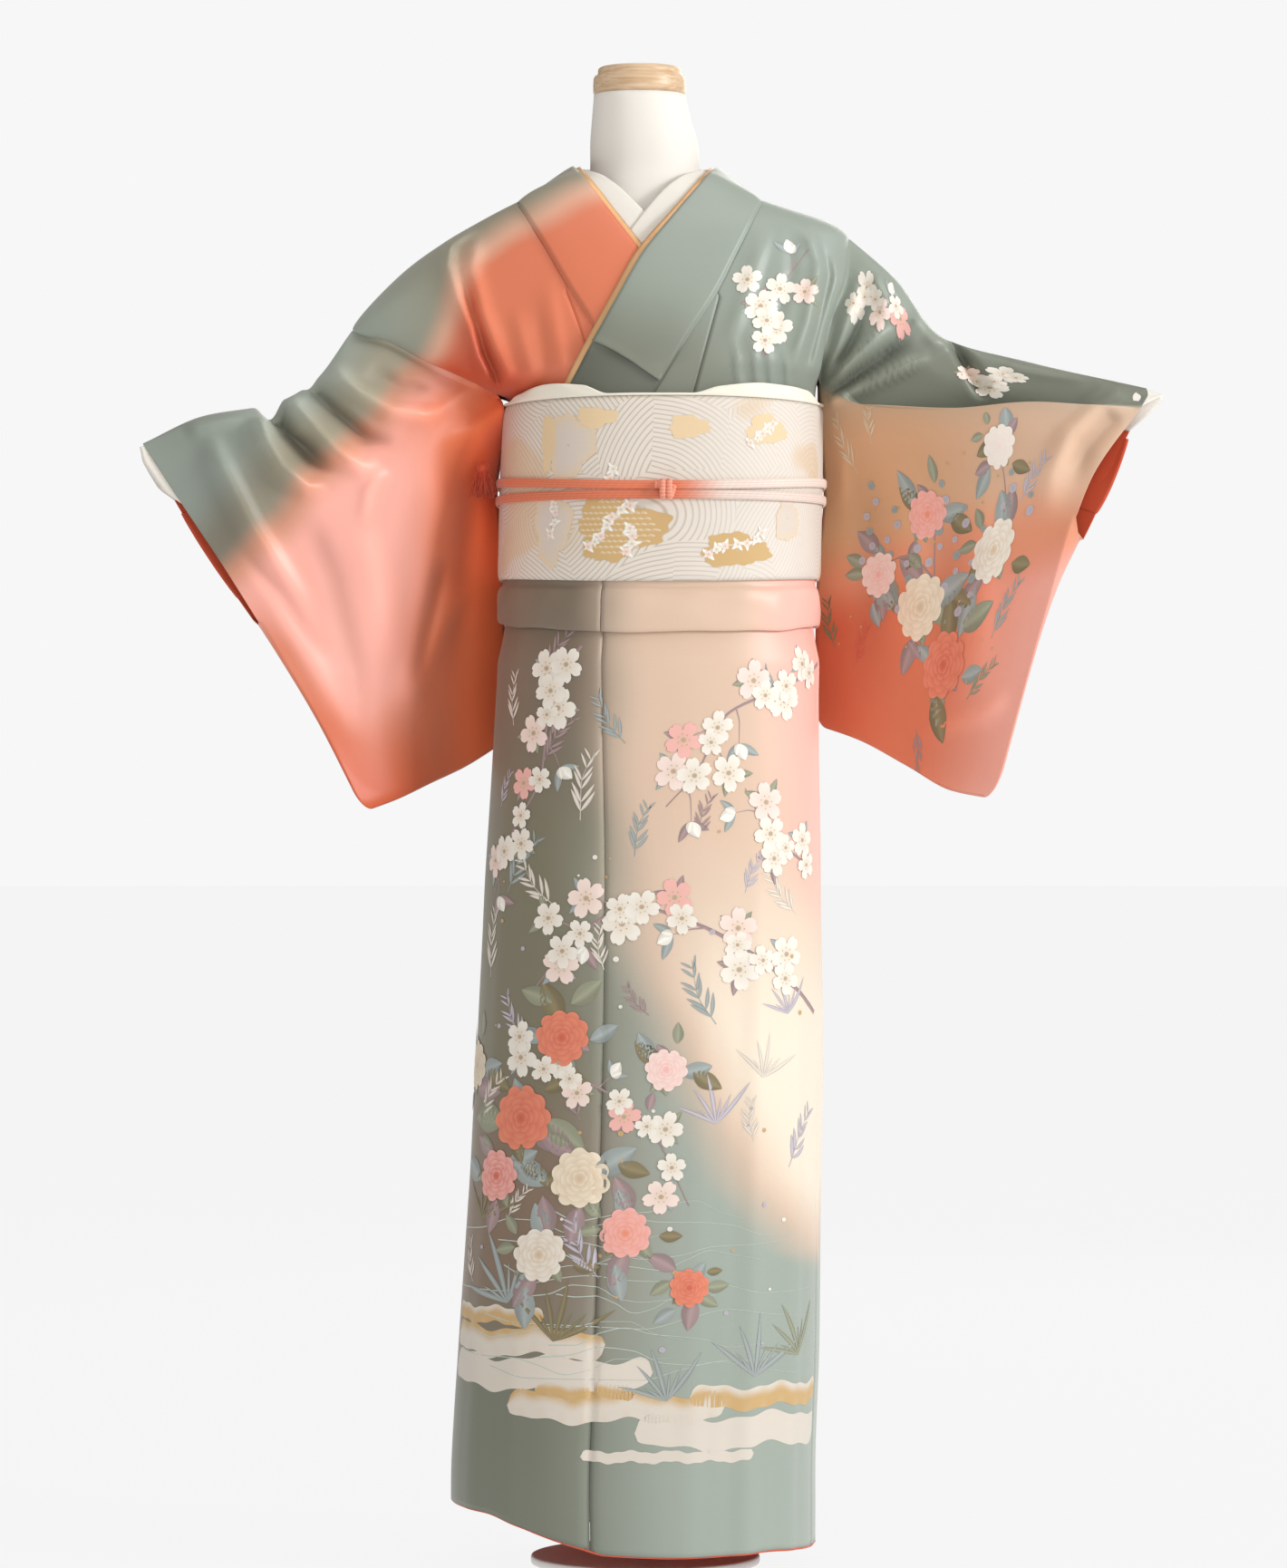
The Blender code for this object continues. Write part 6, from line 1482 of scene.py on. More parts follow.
def buildKnot():  # a short coil of the braid round both cords, led in from the wearer's right
    y = trunk(1.5, knot["z"], 0.0050)[1] - 0.0056
    t = np.linspace(0, 1, 220)
    turn = t * 2 * math.pi * knot["turns"] + 0.6
    x = knot["x"] - 0.0066 + knot["wide"] * t + 0.0012 * np.sin(turn)
    path = joined(x, y + knot["deep"] * np.cos(turn), knot["z"] + knot["high"] * np.sin(turn))
    start = np.array([[knot["x"] - 0.0118, y + 0.001, knot["z"] + 0.0045]])
    path = np.concatenate([start + (path[0] - start) * np.linspace(0, 1, 20)[:-1, None], path])
    length = lengthAlong(path)
    ridges = np.sin(length / 0.0005)
    rings = tube(path, knot["strand"] * (1 + 0.07 * ridges), 14, 0.72)
    # painted shade: the strand lighter on its ridges, darker between them
    colour = np.array(knot["colour"]) * (1 + 0.12 * ridges)[:, None, None] * np.ones(rings.shape)
    closedFrom("obi_cord_knot", rings, finishes["cord"], colour.reshape(-1, 3))


def buildTassels():  # drooping silk strands under a small bound head
    head = np.array(tassels["head"])
    points, faces, start = [], [], 0
    for i in range(tassels["strands"]):
        turn, reach = chance.uniform(0, 2 * math.pi), chance.uniform(0.2, 1.0)
        foot = head + (0.0052 * reach * math.cos(turn), 0.0052 * reach * math.sin(turn), -0.001)
        length = tassels["length"][0] + tassels["length"][1] * chance.uniform()
        t = np.linspace(0, 1, 7)[:, None]
        away = np.array((math.cos(turn), math.sin(turn), 0)) * tassels["spread"] * reach * length
        path = foot + away * t**0.8 + np.array((0, 0, -length)) * t
        path[:, 0] += 0.0006 * np.sin(t[:, 0] * 7 + i)
        rings = tube(path, tassels["strand"], 5)
        points.append(rings.reshape(-1, 3))
        faces.append(gridFaces(7, 5, True) + start)
        start += 35
    points, faces = np.concatenate(points), np.concatenate(faces)
    level = np.clip((points[:, 2] - head[2] + 0.03) / 0.03, 0, 1)[:, None]
    colour = np.array(tassels["colour"]) * (0.75 + 0.4 * level)
    settle(newPiece("obi_cord_tassels", points, faces, finishes["cord"], colour))
    turn, up = circle(20), np.linspace(-1, 1, 12)
    ring = np.sqrt(np.clip(1 - up**2, 0, 1))[:, None] * tassels["wide"] * (1 + 0.06 * np.sin(turn * 9))
    ball = joined(ring * np.cos(turn), ring * np.sin(turn), tassels["high"] * up[:, None]) + head
    closedFrom("tassel_head", ball, finishes["lining"], None, solid=False)


buildObi()
buildObiAge()
buildCord("obi_cord_upper", *cord["upper"], 1.0)
buildCord("obi_cord_lower", *cord["lower"], 0.94)
buildKnot()
buildTassels()
print("obi, cord and tassels made")

# Painted motifs: flat outlines drawn in metres on the cloth and carried to a little over its surface
inks = {
    "white": (0.85, 0.81, 0.73), "blush": (0.88, 0.72, 0.66), "rose": (0.86, 0.46, 0.42),
    "coral": (0.80, 0.27, 0.17), "brick": (0.62, 0.13, 0.08), "cream": (0.86, 0.76, 0.60),
    "wheat": (0.66, 0.50, 0.34), "olive": (0.24, 0.20, 0.11), "moss": (0.30, 0.31, 0.22),
    "slate": (0.33, 0.37, 0.36), "mauve": (0.36, 0.26, 0.26), "lilac": (0.50, 0.46, 0.52),
    "mist": (0.70, 0.64, 0.56), "gilt": (0.60, 0.40, 0.18), "water": (0.52, 0.58, 0.52),
    "sand": (0.66, 0.58, 0.51), "straw": (0.76, 0.58, 0.36),
}
inks = {name: np.array(value) for name, value in inks.items()}
paintLift = {"first": 0.00035, "step": 0.00011}


# Rings of points inside the outline r(turn): points, turns, shares of the radius
def polar(outline, rings, sides):
    turn = circle(sides)
    share = np.linspace(0.03, 1, rings)[:, None]
    reach = outline(turn)[None, :] * share
    return joined(reach * np.cos(turn), reach * np.sin(turn)), turn[None, :], share


def put(paint, points, colours, at, size, turn, layer, wrap=True):  # turned, sized, and set at its place
    c, s = math.cos(turn), math.sin(turn)
    placed = (points.reshape(-1, 2) @ np.array([[c, s], [-s, c]])) * size + at
    colours = np.broadcast_to(colours, points.shape[:2] + (3,)).reshape(-1, 3)
    lift = np.full(len(placed), paintLift["first"] + layer * paintLift["step"])
    paint.append((placed, gridFaces(points.shape[0], points.shape[1], wrap), colours, lift))


def dot(paint, at, size, ink, layer=2):
    points, turn, share = polar(lambda t: 1 + 0.06 * np.cos(2 * t), 2, 9)
    put(paint, points, blended(ink * 0.86, ink, share + 0 * turn), at, size, 0, layer)


# Petals: r = a + (1 - a) |cos(n t / 2)|^q less a small notch; darker towards the heart and between petals
def blossom(paint, at, size, turn, ink, layer=2):
    wave = lambda t: np.abs(np.cos(5 * t / 2))
    outline = lambda t: 0.52 + 0.48 * wave(t) ** 0.62 - 0.09 * bell(wave(t) - 1, 0.010)
    points, angle, share = polar(outline, 5, 50)
    points = points * (1, 0.93)
    heart = blended(ink * 0.9, inks["wheat"], 0.55)
    shade = np.clip(0.9 * (1 - share) ** 1.6 + 0.40 * (1 - wave(angle) ** 0.35) * share, 0, 1)
    put(paint, points, blended(ink, heart, shade), at, size, turn, layer)
    dot(paint, at, size * 0.13, inks["wheat"] * 0.8, layer + 1)
    for k in range(7):
        way = turn + k * 0.898
        place = at + size * 0.30 * np.array((math.cos(way), math.sin(way)))
        dot(paint, place, size * 0.035, inks["gilt"], layer + 1)


# A full flower: scalloped discs, each smaller and turned, dark at the foot and light at every petal's rim
def fullFlower(paint, at, size, turn, ink, shade):
    discs = ((1.0, 10, 0.0), (0.80, 8, 0.5), (0.61, 7, 1.3), (0.43, 6, 0.2), (0.25, 5, 0.9))
    for k, (reach, lobes, way) in enumerate(discs):
        wave = lambda t: np.abs(np.cos(lobes * t / 2 + way))
        outline = lambda t: reach * (0.80 + 0.20 * wave(t) ** 0.5 + 0.03 * np.sin(3 * t + k))
        points, angle, share = polar(outline, 4, 64)
        tone = np.clip(share**2.2 * (0.55 + 0.45 * wave(angle) ** 0.6), 0, 1)
        put(paint, points, blended(shade, ink, tone), at, size, turn, 4 + 0.8 * k)


# Half width = slim / 2 * sin(pi x)^0.8 (1.15 - 0.3 x), one half darker
def leaf(paint, at, size, turn, ink, slim=0.36, layer=0):
    x, across = np.linspace(0.01, 0.99, 9)[:, None], np.linspace(-1, 1, 5)[None, :]
    half = slim / 2 * np.sin(math.pi * x) ** 0.8 * (1.15 - 0.3 * x)
    points = joined(x + 0 * across, across * half + 0.10 * x**2)
    tone = np.array([0.80, 0.86, 1.22, 1.02, 0.96])[None, :, None] * np.ones((9, 1, 1))
    put(paint, points, np.clip(ink * tone, 0, 0.95), at, size, turn, layer, False)


def sprig(paint, at, size, turn, ink):  # seven slim leaves that fan from one foot
    for k in range(7):
        way = turn + (k - 3) * 0.30 + 0.09 * math.sin(5.3 * k)
        leaf(paint, at, size * (0.72 + 0.28 * math.cos(1.9 * k)), way, ink, 0.085)


def leaves(paint, at, reach, seed):  # broad leaves set unevenly round a flower, some half hidden
    for k in range(9):
        way = seed + 0.72 * k + 0.45 * math.sin(3.1 * k + seed)
        away = reach * (0.55 + 0.35 * math.sin(2.3 * k + seed))
        foot = at + away * np.array((math.cos(way), math.sin(way)))
        size = reach * (0.86 + 0.30 * math.sin(4.7 * k + 2 * seed))
        ink = inks[("moss", "olive", "slate", "mauve")[k % 4]]
        leaf(paint, foot, size, way + 0.8 * math.sin(5.1 * k + seed), ink, 0.52)


def spray(paint, at, reach, turn, ink):  # slim leaves in pairs up a thin curved stem
    way = np.array((math.cos(turn), math.sin(turn)))
    side = np.array((-way[1], way[0]))
    path = stroke(paint, [at, at + 0.5 * reach * way + 0.10 * reach * side, at + reach * way], 0.0010, ink)
    for k in range(6):
        foot = path[int((len(path) - 1) * (0.15 + 0.15 * k))]
        off = 0.55 + 0.12 * math.sin(3 * k)
        for heading in (turn - off, turn + off):
            leaf(paint, foot, reach * (0.36 - 0.03 * k), heading, ink, 0.17)


# A brushed line, smooth through its points, thinning to its end
def stroke(paint, line, width, ink, layer=-1, fine=8):
    line = np.asarray(line, float)
    stations = np.arange(len(line), dtype=float)
    at = np.linspace(0, len(line) - 1, fine * (len(line) - 1) + 1)
    path = np.stack([smooth(stations, line[:, k], at) for k in (0, 1)], axis=-1)
    way = np.gradient(path, axis=0)
    normal = unit(joined(-way[:, 1], way[:, 0]))
    half = width / 2 * (1 - 0.7 * at / at[-1])[:, None]
    points = np.stack([path - normal * half, path, path + normal * half], axis=1)
    put(paint, points, np.array([0.8, 1.0, 1.1])[None, :, None] * ink, 0.0, 1.0, 0.0, layer, False)
    return path


# A bough: its line, twigs that leave it by turns, and blossoms, buds and leaves scattered along both
def bough(paint, line, width, count, size, twig=0.030):
    path = stroke(paint, line, width, inks["mauve"])
    way = np.gradient(path, axis=0)
    for k in range(count):
        i = int(len(path) * (0.12 + 0.86 * (k + 0.5 * chance.uniform()) / count)) - 1
        heading = math.atan2(way[i, 1], way[i, 0]) + (1 if k % 2 else -1) * chance.uniform(0.5, 1.2)
        reach = twig * chance.uniform(0.5, 1.3)
        end = path[i] + reach * np.array((math.cos(heading), math.sin(heading)))
        stroke(paint, [path[i], (path[i] + end) / 2 + 0.002, end], width * 0.45, inks["mauve"] * 1.15)
        tint = inks[("white", "white", "blush", "white", "rose", "white", "blush")[k % 7]]
        for turn in (-0.8, 0.9):
            green = inks[("slate", "mauve", "moss")[k % 3]]
            leaf(paint, end, size * 1.25 * chance.uniform(0.7, 1.1), heading + turn, green)
        if k % 4 == 3:
            leaf(paint, end, size * 0.9, heading + 0.2, tint, 0.75, 2)
            leaf(paint, end, size * 0.6, heading - 0.5, tint * 0.95, 0.7, 3)
        else:
            reach, turn = size * chance.uniform(0.85, 1.15), chance.uniform(0, 6)
            blossom(paint, end, reach, turn, tint, 2 + k % 3)
            reach, turn = size * chance.uniform(0.7, 1.0), chance.uniform(0, 6)
            blossom(paint, path[i], reach, turn, inks["white"], 5 + k % 2)


def mistBar(paint, left, right, level, half, ink, rim):  # a level bar with round ends, its rim in another ink
    x, across = np.linspace(0, 1, 60)[:, None], np.linspace(-1, 1, 9)[None, :]
    reach = (right - left) * x
    inward = np.minimum(np.minimum(reach, right - left - reach) / half, 1)
    ends = np.sqrt(np.clip(1 - (1 - inward) ** 2, 0, 1))
    wave = 0.25 * half * np.sin(reach / half * 0.9) + 0.12 * half * np.sin(reach / half * 2.3)
    points = joined(left + reach + 0 * across, level + wave + half * ends * across)
    tone = stepUp(across, 0.0, 0.95) + 0.15 * np.sin(reach * 300) * across
    put(paint, points, blended(ink, rim, tone + 0 * x), 0.0, 1.0, 0.0, -1.5, False)


def laid(name, paint, carrier, outward):  # all the motifs of one cloth in one mesh
    places, colours = np.concatenate([part[0] for part in paint]), np.concatenate([part[2] for part in paint])
    starts = summed([len(part[0]) for part in paint])
    faces = np.concatenate([part[1] + start for part, start in zip(paint, starts)])
    points = carrier(places, np.concatenate([part[3] for part in paint]))
    faces, colours = turnedOut(points, faces, outward), np.clip(colours, 0, 1)
    made = newPiece(name, points, faces, finishes["paint"], colours, places)
    return settle(made, False)


skirtArc = {"angle": np.linspace(-88, 400, 977)}
skirtArc["arc"] = lengthAlong(trunk(skirtArc["angle"], 0.6))
skirtArc["arc"] -= np.interp(0, skirtArc["angle"], skirtArc["arc"])


def onSkirt(places, lift):
    return skirtSurface(np.interp(places[:, 0], skirtArc["arc"], skirtArc["angle"]), places[:, 1], lift)


def skirtPlace(across, down):  # the place on the skirt's cloth that is seen there in the view
    x, z = fromView(across, down, -0.13)
    centre, half = (curve(trunkRows, k, z) for k in ("centreX", "halfWidth"))
    share = np.clip((x - centre) / half, -0.985, 0.985)
    angle = np.degrees(turnOf(np.abs(share))) * np.sign(share)
    return joined(np.interp(angle, skirtArc["angle"], skirtArc["arc"]), z)


def skirtLine(*points):
    return [skirtPlace(*point) for point in points]


def roundLine(*points):  # places round the side and back, by angle and height
    arc = lambda angle: np.interp(angle, skirtArc["angle"], skirtArc["arc"])
    return [np.array((arc(angle), height)) for angle, height in points]


def paintSkirt():
    paint = []
    size = 0.0205
    # mist bars low on the skirt, with streams and slim leaves over them
    for left, right, level, half, ink, rim in (
        (488, 668, 1482, 15, "mist", "gilt"), (500, 720, 1516, 17, "mist", "mist"),
        (560, 800, 1552, 15, "mist", "gilt"), (700, 912, 1580, 17, "mist", "mist"),
        (492, 600, 1454, 9, "gilt", "mist"), (760, 912, 1542, 12, "gilt", "mist"),
        (640, 830, 1606, 6, "mist", "mist"), (590, 700, 1534, 8, "gilt", "mist"),
    ):
        ends = skirtPlace(left, level), skirtPlace(right, level)
        mistBar(paint, ends[0][0], ends[1][0], ends[0][1], half * 0.00093, inks[ink], inks[rim])
    for k in range(15):
        row = 1336 + 13 * k + 5 * math.sin(2.2 * k)
        left, right = 560 + 60 * math.sin(1.7 * k + 1), 820 + 80 * math.sin(2.3 * k)
        t = np.linspace(0, 1, 9)
        level = row + 9 * np.sin(7 * t + 1.3 * k) + 4 * np.sin(15 * t)
        stroke(paint, skirtLine(*zip(left + (right - left) * t, level)), 0.0012, inks["water"])
    for at, reach, turn, ink in (
        ((560, 1440), 0.085, 1.9, "slate"), ((610, 1480), 0.070, 1.3, "olive"),
        ((735, 1545), 0.060, 1.8, "slate"), ((830, 1520), 0.070, 1.4, "slate"),
        ((880, 1500), 0.062, 1.9, "moss"), ((530, 1350), 0.060, 1.2, "olive"),
        ((790, 1240), 0.055, 1.7, "lilac"), ((840, 1190), 0.050, 1.3, "mist"),
        ((870, 1120), 0.045, 1.8, "lilac"),
    ):
        sprig(paint, skirtPlace(*at), reach, turn, inks[ink])
    for k, at in enumerate((
        (566, 800), (600, 748), (866, 772), (640, 905), (552, 890), (612, 1000), (770, 925), (700, 945),
        (880, 1010), (822, 985), (540, 1080), (716, 1120), (560, 985), (666, 1070), (580, 1150), (530, 1240),
        (640, 1235), (790, 1130), (560, 1345), (660, 1410), (520, 1420), (600, 840), (690, 820), (830, 1260),
        (870, 1290),
    )):
        ink = inks[("mist", "mauve", "slate", "mist", "lilac")[k % 5]]
        spray(paint, skirtPlace(*at), 0.056 + 0.016 * math.sin(2.7 * k), 1.57 + 0.7 * math.sin(4.1 * k), ink)
    # boughs that arch down from the waist, and one that climbs from the side
    for width, count, reach, line in (
        (0.0040, 8, size, ((640, 712), (606, 770), (598, 850), (560, 930), (540, 1010))),
        (0.0050, 10, size, ((900, 1120), (840, 1060), (770, 1020), (700, 1000), (640, 1030), (590, 1090))),
        (0.0040, 8, size, ((905, 730), (860, 760), (800, 790), (770, 850), (735, 890))),
        (0.0034, 4, size, ((895, 960), (850, 920), (822, 870))),
        (0.0040, 7, size * 0.9, ((560, 1120), (600, 1180), (660, 1200), (720, 1250), (760, 1330))),
    ):
        bough(paint, skirtLine(*line), width, count, reach)
    # full flowers, low at the wearer's right and scattered
    for at, reach, ink, shade in (
        ((575, 1235), 0.034, "coral", "brick"), ((640, 1300), 0.031, "cream", "wheat"),
        ((548, 1300), 0.027, "rose", "brick"), ((620, 1145), 0.029, "coral", "brick"),
        ((690, 1360), 0.026, "rose", "coral"), ((595, 1385), 0.028, "white", "wheat"),
        ((735, 1180), 0.022, "blush", "rose"), ((525, 1180), 0.026, "cream", "wheat"),
        ((760, 1420), 0.020, "coral", "brick"),
    ):
        leaves(paint, skirtPlace(*at), reach * 1.45, at[1])
        fullFlower(paint, skirtPlace(*at), reach, at[0], inks[ink], inks[shade])
    for k in range(46):  # loose petals, berries and gold dust
        at = skirtPlace(chance.uniform(510, 900), chance.uniform(900, 1500))
        dot(paint, at, chance.uniform(0.0012, 0.0032), inks[("gilt", "lilac", "white", "gilt")[k % 4]])
    # round the side and the back
    for line in (
        roundLine((98, 0.86), (106, 0.78), (110, 0.68), (120, 0.60), (128, 0.52)),
        roundLine((176, 0.50), (166, 0.56), (156, 0.64), (150, 0.74), (142, 0.82)),
        roundLine((232, 0.40), (226, 0.48), (216, 0.56), (204, 0.60), (192, 0.66)),
        roundLine((262, 0.52), (256, 0.62), (252, 0.72)),
    ):
        bough(paint, line, 0.0042, 8, size)
    for angle, height in ((112, 0.46), (150, 0.40), (196, 0.36), (236, 0.30), (132, 0.34)):
        at = roundLine((angle, height))[0]
        ink, shade = ("coral", "brick") if angle % 4 else ("cream", "wheat")
        leaves(paint, at, 0.030, angle)
        fullFlower(paint, at, 0.030, angle, inks[ink], inks[shade])
    return laid("skirt_motifs", paint, onSkirt, fromAxis)


# Places on the sleeve: metres out along the arm, and metres down from the shoulder's fold, negative
def onSleeve(places, lift):
    spec = sleeves["left"]
    along, down = places[:, 0] / sleeveCut[0], -places[:, 1] / sleeveCut[1]
    normal = normalsOf(spec["grid"])
    normal *= np.where(normal[..., 1:2] > 0, -1, 1)
    at = sampled(spec["grid"], spec["along"], spec["down"], along, down)
    return at + lift[:, None] * sampled(normal, spec["along"], spec["down"], along, down)


def paintSleeve():
    paint = []
    size = 0.0195
    line = [(0.016, -0.060), (0.040, -0.042), (0.074, -0.040), (0.104, -0.030)]
    bough(paint, line, 0.0026, 5, size * 0.9, 0.014)
    bough(paint, [(0.236, -0.040), (0.206, -0.058), (0.176, -0.052)], 0.0022, 3, size * 0.8, 0.010)
    for width, line in (
        (0.0036, [(0.200, -0.445), (0.185, -0.380), (0.150, -0.320), (0.135, -0.260)]),
        (0.0030, [(0.180, -0.372), (0.215, -0.330), (0.225, -0.270), (0.215, -0.215)]),
        (0.0026, [(0.150, -0.320), (0.110, -0.300), (0.080, -0.310)]),
    ):
        stroke(paint, line, width, inks["mauve"])
    for a, d, reach, ink, shade in (
        (0.190, -0.395, 0.030, "coral", "brick"), (0.140, -0.345, 0.031, "cream", "wheat"),
        (0.222, -0.300, 0.027, "white", "wheat"), (0.128, -0.262, 0.023, "rose", "coral"),
        (0.078, -0.318, 0.022, "blush", "rose"), (0.214, -0.212, 0.018, "white", "blush"),
    ):
        leaves(paint, np.array((a, d)), reach * 1.4, 40 * a)
        fullFlower(paint, np.array((a, d)), reach, 30 * a, inks[ink], inks[shade])
    for k in range(44):  # hanging berries in short strings
        string = k // 6
        a = 0.060 + 0.028 * string + 0.006 * math.sin(2.1 * k)
        d = -0.235 - 0.014 * (k % 6) - 0.022 * (string % 3)
        dot(paint, np.array((a, d)), 0.0040 + 0.0008 * math.sin(3.1 * k), inks["lilac" if k % 3 else "slate"])
    for a, d, reach, turn, ink in (
        (0.044, -0.225, 0.052, 1.9, "wheat"), (0.070, -0.205, 0.040, 1.2, "wheat"),
        (0.028, -0.400, 0.056, 1.8, "olive"), (0.062, -0.412, 0.046, 1.3, "brick"),
        (0.252, -0.372, 0.050, 1.1, "slate"), (0.236, -0.420, 0.044, 0.7, "moss"),
        (0.168, -0.455, 0.040, -1.2, "mauve"), (0.246, -0.262, 0.046, 1.0, "lilac"),
    ):
        spray(paint, np.array((a, d)), reach, turn, inks[ink])
    for k in range(24):
        at = np.array((chance.uniform(0.03, 0.27), chance.uniform(-0.44, -0.20)))
        dot(paint, at, 0.0014, inks["gilt"])
    return laid("sleeve_motifs", paint, onSleeve, (0, -1, 0))


def onBody(places, lift):  # places: x and height on the wearer's left front
    row, share = rowAt(places[:, 0], places[:, 1])
    start = turnOf(np.interp(row, chest["rows"], chest["start"]["left"]))
    ease = (turnOf(share) - start) / (math.pi / 2 - start)
    grid = bodySides["left"]["grid"]
    at = sampled(grid, chest["rows"], np.linspace(0, 1, grid.shape[1]), row, np.clip(ease, 0, 1))
    return at - lift[:, None] * (0, 1, -0.25)


def paintBody():
    paint = []
    place = lambda *points: [np.array(fromView(*point, -0.06)) for point in points]
    bough(paint, place((842, 396), (846, 352), (866, 312), (892, 276)), 0.0026, 4, 0.0175, 0.020)
    stroke(paint, place((846, 352), (834, 332), (824, 318)), 0.0022, inks["mauve"] * 1.3)
    blossom(paint, place((824, 312))[0], 0.0165, 0.4, inks["white"])
    for at, size, turn, ink in (
        ((838, 340), 0.022, 3.4, "slate"), ((826, 330), 0.018, 4.4, "moss"),
        ((850, 366), 0.020, 0.2, "slate"),
    ):
        leaf(paint, place(at)[0], size, turn, inks[ink], 0.3)
    return laid("body_motifs", paint, onBody, (0, -1, 0))


def onObi(places, lift):
    return obiPoint(np.degrees(places[:, 0] / 0.1655), places[:, 1], lift + 0.0001)


# Woven patches: gold clouds with rows of small scallops, white sprigs over them
def paintObi():
    paint = []
    x0 = 0.003
    for a, z, wide, high, ink in (
        (-0.092, 1.164, 0.036, 0.040, "sand"), (-0.112, 1.080, 0.030, 0.044, "sand"),
        (-0.120, 1.168, 0.012, 0.036, "straw"), (-0.062, 1.192, 0.026, 0.013, "straw"),
        (0.066, 1.056, 0.046, 0.020, "gilt"), (0.100, 1.180, 0.032, 0.018, "straw"),
        (-0.040, 1.078, 0.046, 0.038, "gilt"), (0.134, 1.090, 0.022, 0.030, "sand"),
        (0.016, 1.182, 0.020, 0.014, "straw"),
    ):
        waves = lambda t: 0.11 * np.cos(3 * t + 9 * a) + 0.06 * np.cos(7 * t + z * 50)
        torn = lambda t: 0.84 + waves(t) + 0.03 * np.sin(17 * t + a * 90)
        points, angle, share = polar(torn, 6, 110)
        rim = 0.75 * share**5 if ink == "sand" else 0 * share
        tone = blended(inks[ink], inks["straw"], rim + 0 * angle)
        put(paint, points * (wide, high), tone, np.array((a + x0, z)), 1.0, 0.0, -1)
    for k in range(176):  # scallops on the gold
        row, column = divmod(k, 16)
        at = np.array((-0.081 + 0.0056 * column + 0.0028 * (row % 2), 1.046 + 0.0058 * row)) + (x0, 0)
        away = np.hypot((at[0] - x0 + 0.040) / 0.036, (at[1] - 1.078) / 0.029)
        if away < 1:
            turn = np.linspace(0.15, math.pi - 0.15, 9)
            for reach in (0.0024, 0.0013):
                line = at + reach * joined(np.cos(turn), np.sin(turn))
                stroke(paint, line, 0.0007, inks["cream"], 0, 1)
    for points, count in (
        (((-0.070, 1.056), (-0.052, 1.070), (-0.040, 1.092), (-0.020, 1.104)), 7),
        (((-0.030, 1.050), (-0.022, 1.066), (-0.026, 1.082)), 4),
        (((-0.060, 1.110), (-0.046, 1.124), (-0.040, 1.144)), 4),
        (((0.030, 1.048), (0.052, 1.060), (0.080, 1.064), (0.100, 1.078)), 7),
        (((0.076, 1.165), (0.094, 1.176), (0.112, 1.190)), 5),
        (((-0.116, 1.068), (-0.106, 1.090), (-0.110, 1.108)), 4),
    ):
        line = np.array(points) + (x0, 0)
        path = stroke(paint, line, 0.0011, inks["white"], 1)
        for k in range(count):
            at = path[int(len(path) * (k + 0.6) / (count + 0.3))]
            for way in (0.7, 2.3, -0.9):
                leaf(paint, at, 0.0085, way + k, inks["white"], 0.5, 1)
            blossom(paint, at, 0.0048, k, inks["white" if k % 2 else "blush"])
    return laid("obi_motifs", paint, onObi, fromAxis)


motifs = {"skirt": paintSkirt(), "sleeve": paintSleeve(), "body": paintBody(), "obi": paintObi()}
print("motifs painted:", {name: len(piece.data.polygons) for name, piece in motifs.items()})

# The dress form
form = table(
    "height centreX centreY halfWidth halfDepth", (0.700, 0.006, 0.004, 0.1240, 0.090),
    (0.760, 0.007, 0.004, 0.1370, 0.100), (0.900, 0.009, 0.004, 0.1450, 0.108),
    (1.000, 0.011, 0.004, 0.1400, 0.105), (1.100, 0.012, 0.004, 0.1340, 0.103),
    (1.2144, 0.012, 0.006, 0.1350, 0.106), (1.300, 0.010, 0.010, 0.1380, 0.100),
    (1.350, 0.008, 0.012, 0.1400, 0.086), (1.380, 0.006, 0.014, 0.1330, 0.076),
    (1.400, 0.004, 0.016, 0.1140, 0.069), (1.420, 0.002, 0.018, 0.0900, 0.064),
    (1.440, 0.001, 0.020, 0.0680, 0.0600), (1.462, 0.000, 0.020, 0.0580, 0.0560),
    (1.486, -0.001, 0.019, 0.0570, 0.0550), (1.512, -0.004, 0.016, 0.0523, 0.0520),
    (1.5395, -0.006, 0.013, 0.0480, 0.0480),
)
cap = table(
    "radius height", (0.0000, 0.0003), (0.0465, 0.0003), (0.0481, 0.0010), (0.0487, 0.0030),
    (0.0488, 0.0110), (0.0484, 0.0165), (0.0474, 0.0192), (0.0452, 0.0207), (0.0441, 0.0213),
    (0.0438, 0.0225), (0.0437, 0.0262), (0.0430, 0.0277), (0.0414, 0.0287), (0.0300, 0.0290),
    (0.0000, 0.0290),
)


# A profile of radius and height carried round an upright axis
def turnedPiece(name, profile, at, finish):
    turn = circle(96)
    radius, height = profile["radius"][1:-1, None], profile["height"][1:-1, None]
    rings = joined(radius * np.cos(turn), radius * np.sin(turn), height) + at
    closedFrom(name, rings, finish, None)


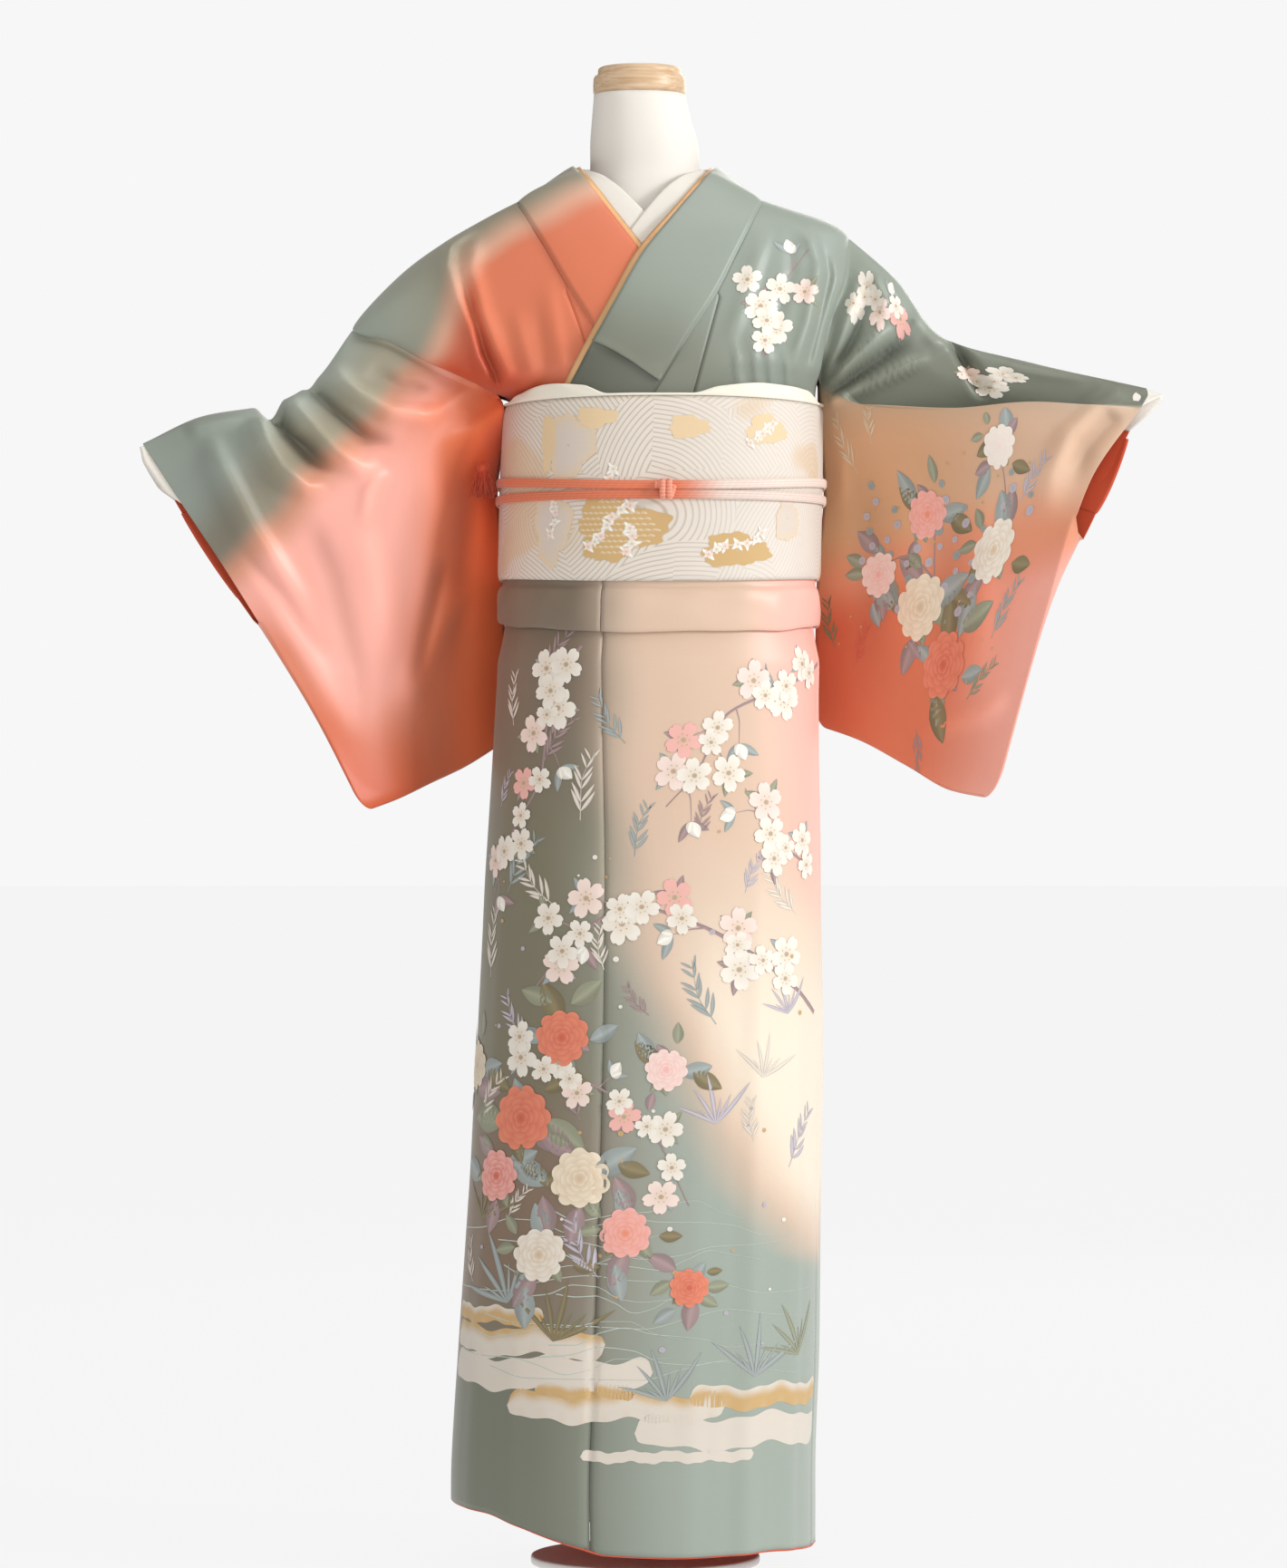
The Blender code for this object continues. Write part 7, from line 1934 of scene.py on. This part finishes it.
def buildForm():  # level superelliptic rings, smooth through the table, with a gathered edge at the foot
    height = np.concatenate([[0.7000, 0.7004, 0.7016], np.linspace(0.704, 1.5395, 120)])
    centreX, centreY, width, depth = (curve(form, k, height)[:, None] for k in list(form)[1:])
    less = 0.004 * (1 - rootUp(height - 0.7, 0.004))[:, None]
    s, c = rounded(circle(84), 2.2)
    level = np.broadcast_to(height[:, None], (len(height), 84))
    rings = joined(centreX + (width - less) * s, centreY - (depth - less) * c, level)
    closedFrom("form_body", rings, finishes["linen"], None)
    top = (form["centreX"][-1], form["centreY"][-1], form["height"][-1])
    turnedPiece("form_cap", cap, top, wood)
    pole = table("radius height", (0, 0.0093), (0.016, 0.0093), (0.016, 0.6997), (0, 0.6997))
    turnedPiece("form_pole", pole, (0.006, 0.004, 0), poleSteel)
    base = table(
        "radius height", (0, 0), (0.1180, 0), (0.1193, 0.0006), (0.12, 0.002), (0.12, 0.007),
        (0.1193, 0.0084), (0.1180, 0.009), (0, 0.009),
    )
    turnedPiece("form_base", base, (0, 0, 0), basePaint)


buildForm()
print("dress form made")

# Stage, light and camera
floorFinish, add, _ = started("floorPale")
floorTree = floorFinish.node_tree
shine = {
    "Fac": 0.04, 1: add("Emission", {"Color": (0.93, 0.93, 0.93, 1)}).outputs[0],
    2: add("BsdfDiffuse", {"Color": (0.80, 0.80, 0.80, 1)}).outputs[0],
}
wire(floorTree, floorTree.nodes["Material Output"], {"Surface": add("MixShader", shine).outputs[0]})
turn = circle(64)
disc = joined(np.cos(turn) * 40, np.sin(turn) * 40, np.zeros(64))
floor = bpy.data.objects.new("floor", bpy.data.meshes.new("floor"))
floor.data.from_pydata(disc.tolist(), [], [list(range(64))])
floor.data.materials.append(floorFinish)
scene.collection.objects.link(floor)

# The camera sees a plain ground; everything else is lit by a warmer one
world = bpy.data.worlds.new("studio")
scene.world = world
world.use_nodes = True
around, add = world.node_tree.nodes, nodeMaker(world.node_tree)
back = wire(world.node_tree, around["Background"], {"Color": (0.93, 0.93, 0.93, 1)})
ambient = add("Background", {"Color": (1.0, 0.96, 0.92, 1), "Strength": 0.34})
seen = add("LightPath").outputs["Is Camera Ray"]
choose = add("MixShader", {"Fac": seen, 1: ambient.outputs[0], 2: back.outputs[0]})
wire(world.node_tree, around["World Output"], {"Surface": choose.outputs[0]})

lamps = {
    "key": {"at": (4.4, -2.2, 2.6), "size": 1.6, "power": 166, "colour": (0.97, 0.985, 1.0)},
    "front": {"at": (0.5, -5.4, 1.7), "size": 2.6, "power": 56, "colour": (1.0, 0.93, 0.86)},
    "top": {"at": (0.2, -0.8, 3.8), "size": 1.6, "power": 22, "colour": (1.0, 0.98, 0.95)},
    "back": {"at": (1.2, 3.4, 2.2), "size": 2.4, "power": 50, "colour": (1.0, 0.98, 0.95)},
}
for name, look in lamps.items():
    light = bpy.data.lights.new(name, "AREA")
    light.size = look["size"]
    light.energy = look["power"]
    light.color = look["colour"]
    lamp = bpy.data.objects.new(name, light)
    lamp.location = look["at"]
    lamp.rotation_euler = (Vector((0, 0, 0.95)) - Vector(look["at"])).to_track_quat("-Z", "Y").to_euler()
    scene.collection.objects.link(lamp)

view = bpy.data.objects.new("camera", bpy.data.cameras.new("camera"))
view.location = (camera["x"], -camera["distance"], camera["height"])
view.rotation_euler = (math.pi / 2, 0, 0)
view.data.lens = camera["lens"]
view.data.sensor_width = 36
view.data.dof.use_dof = False
scene.collection.objects.link(view)
scene.camera = view
scene.view_settings.view_transform = "Standard"
print("stage, light and camera set")
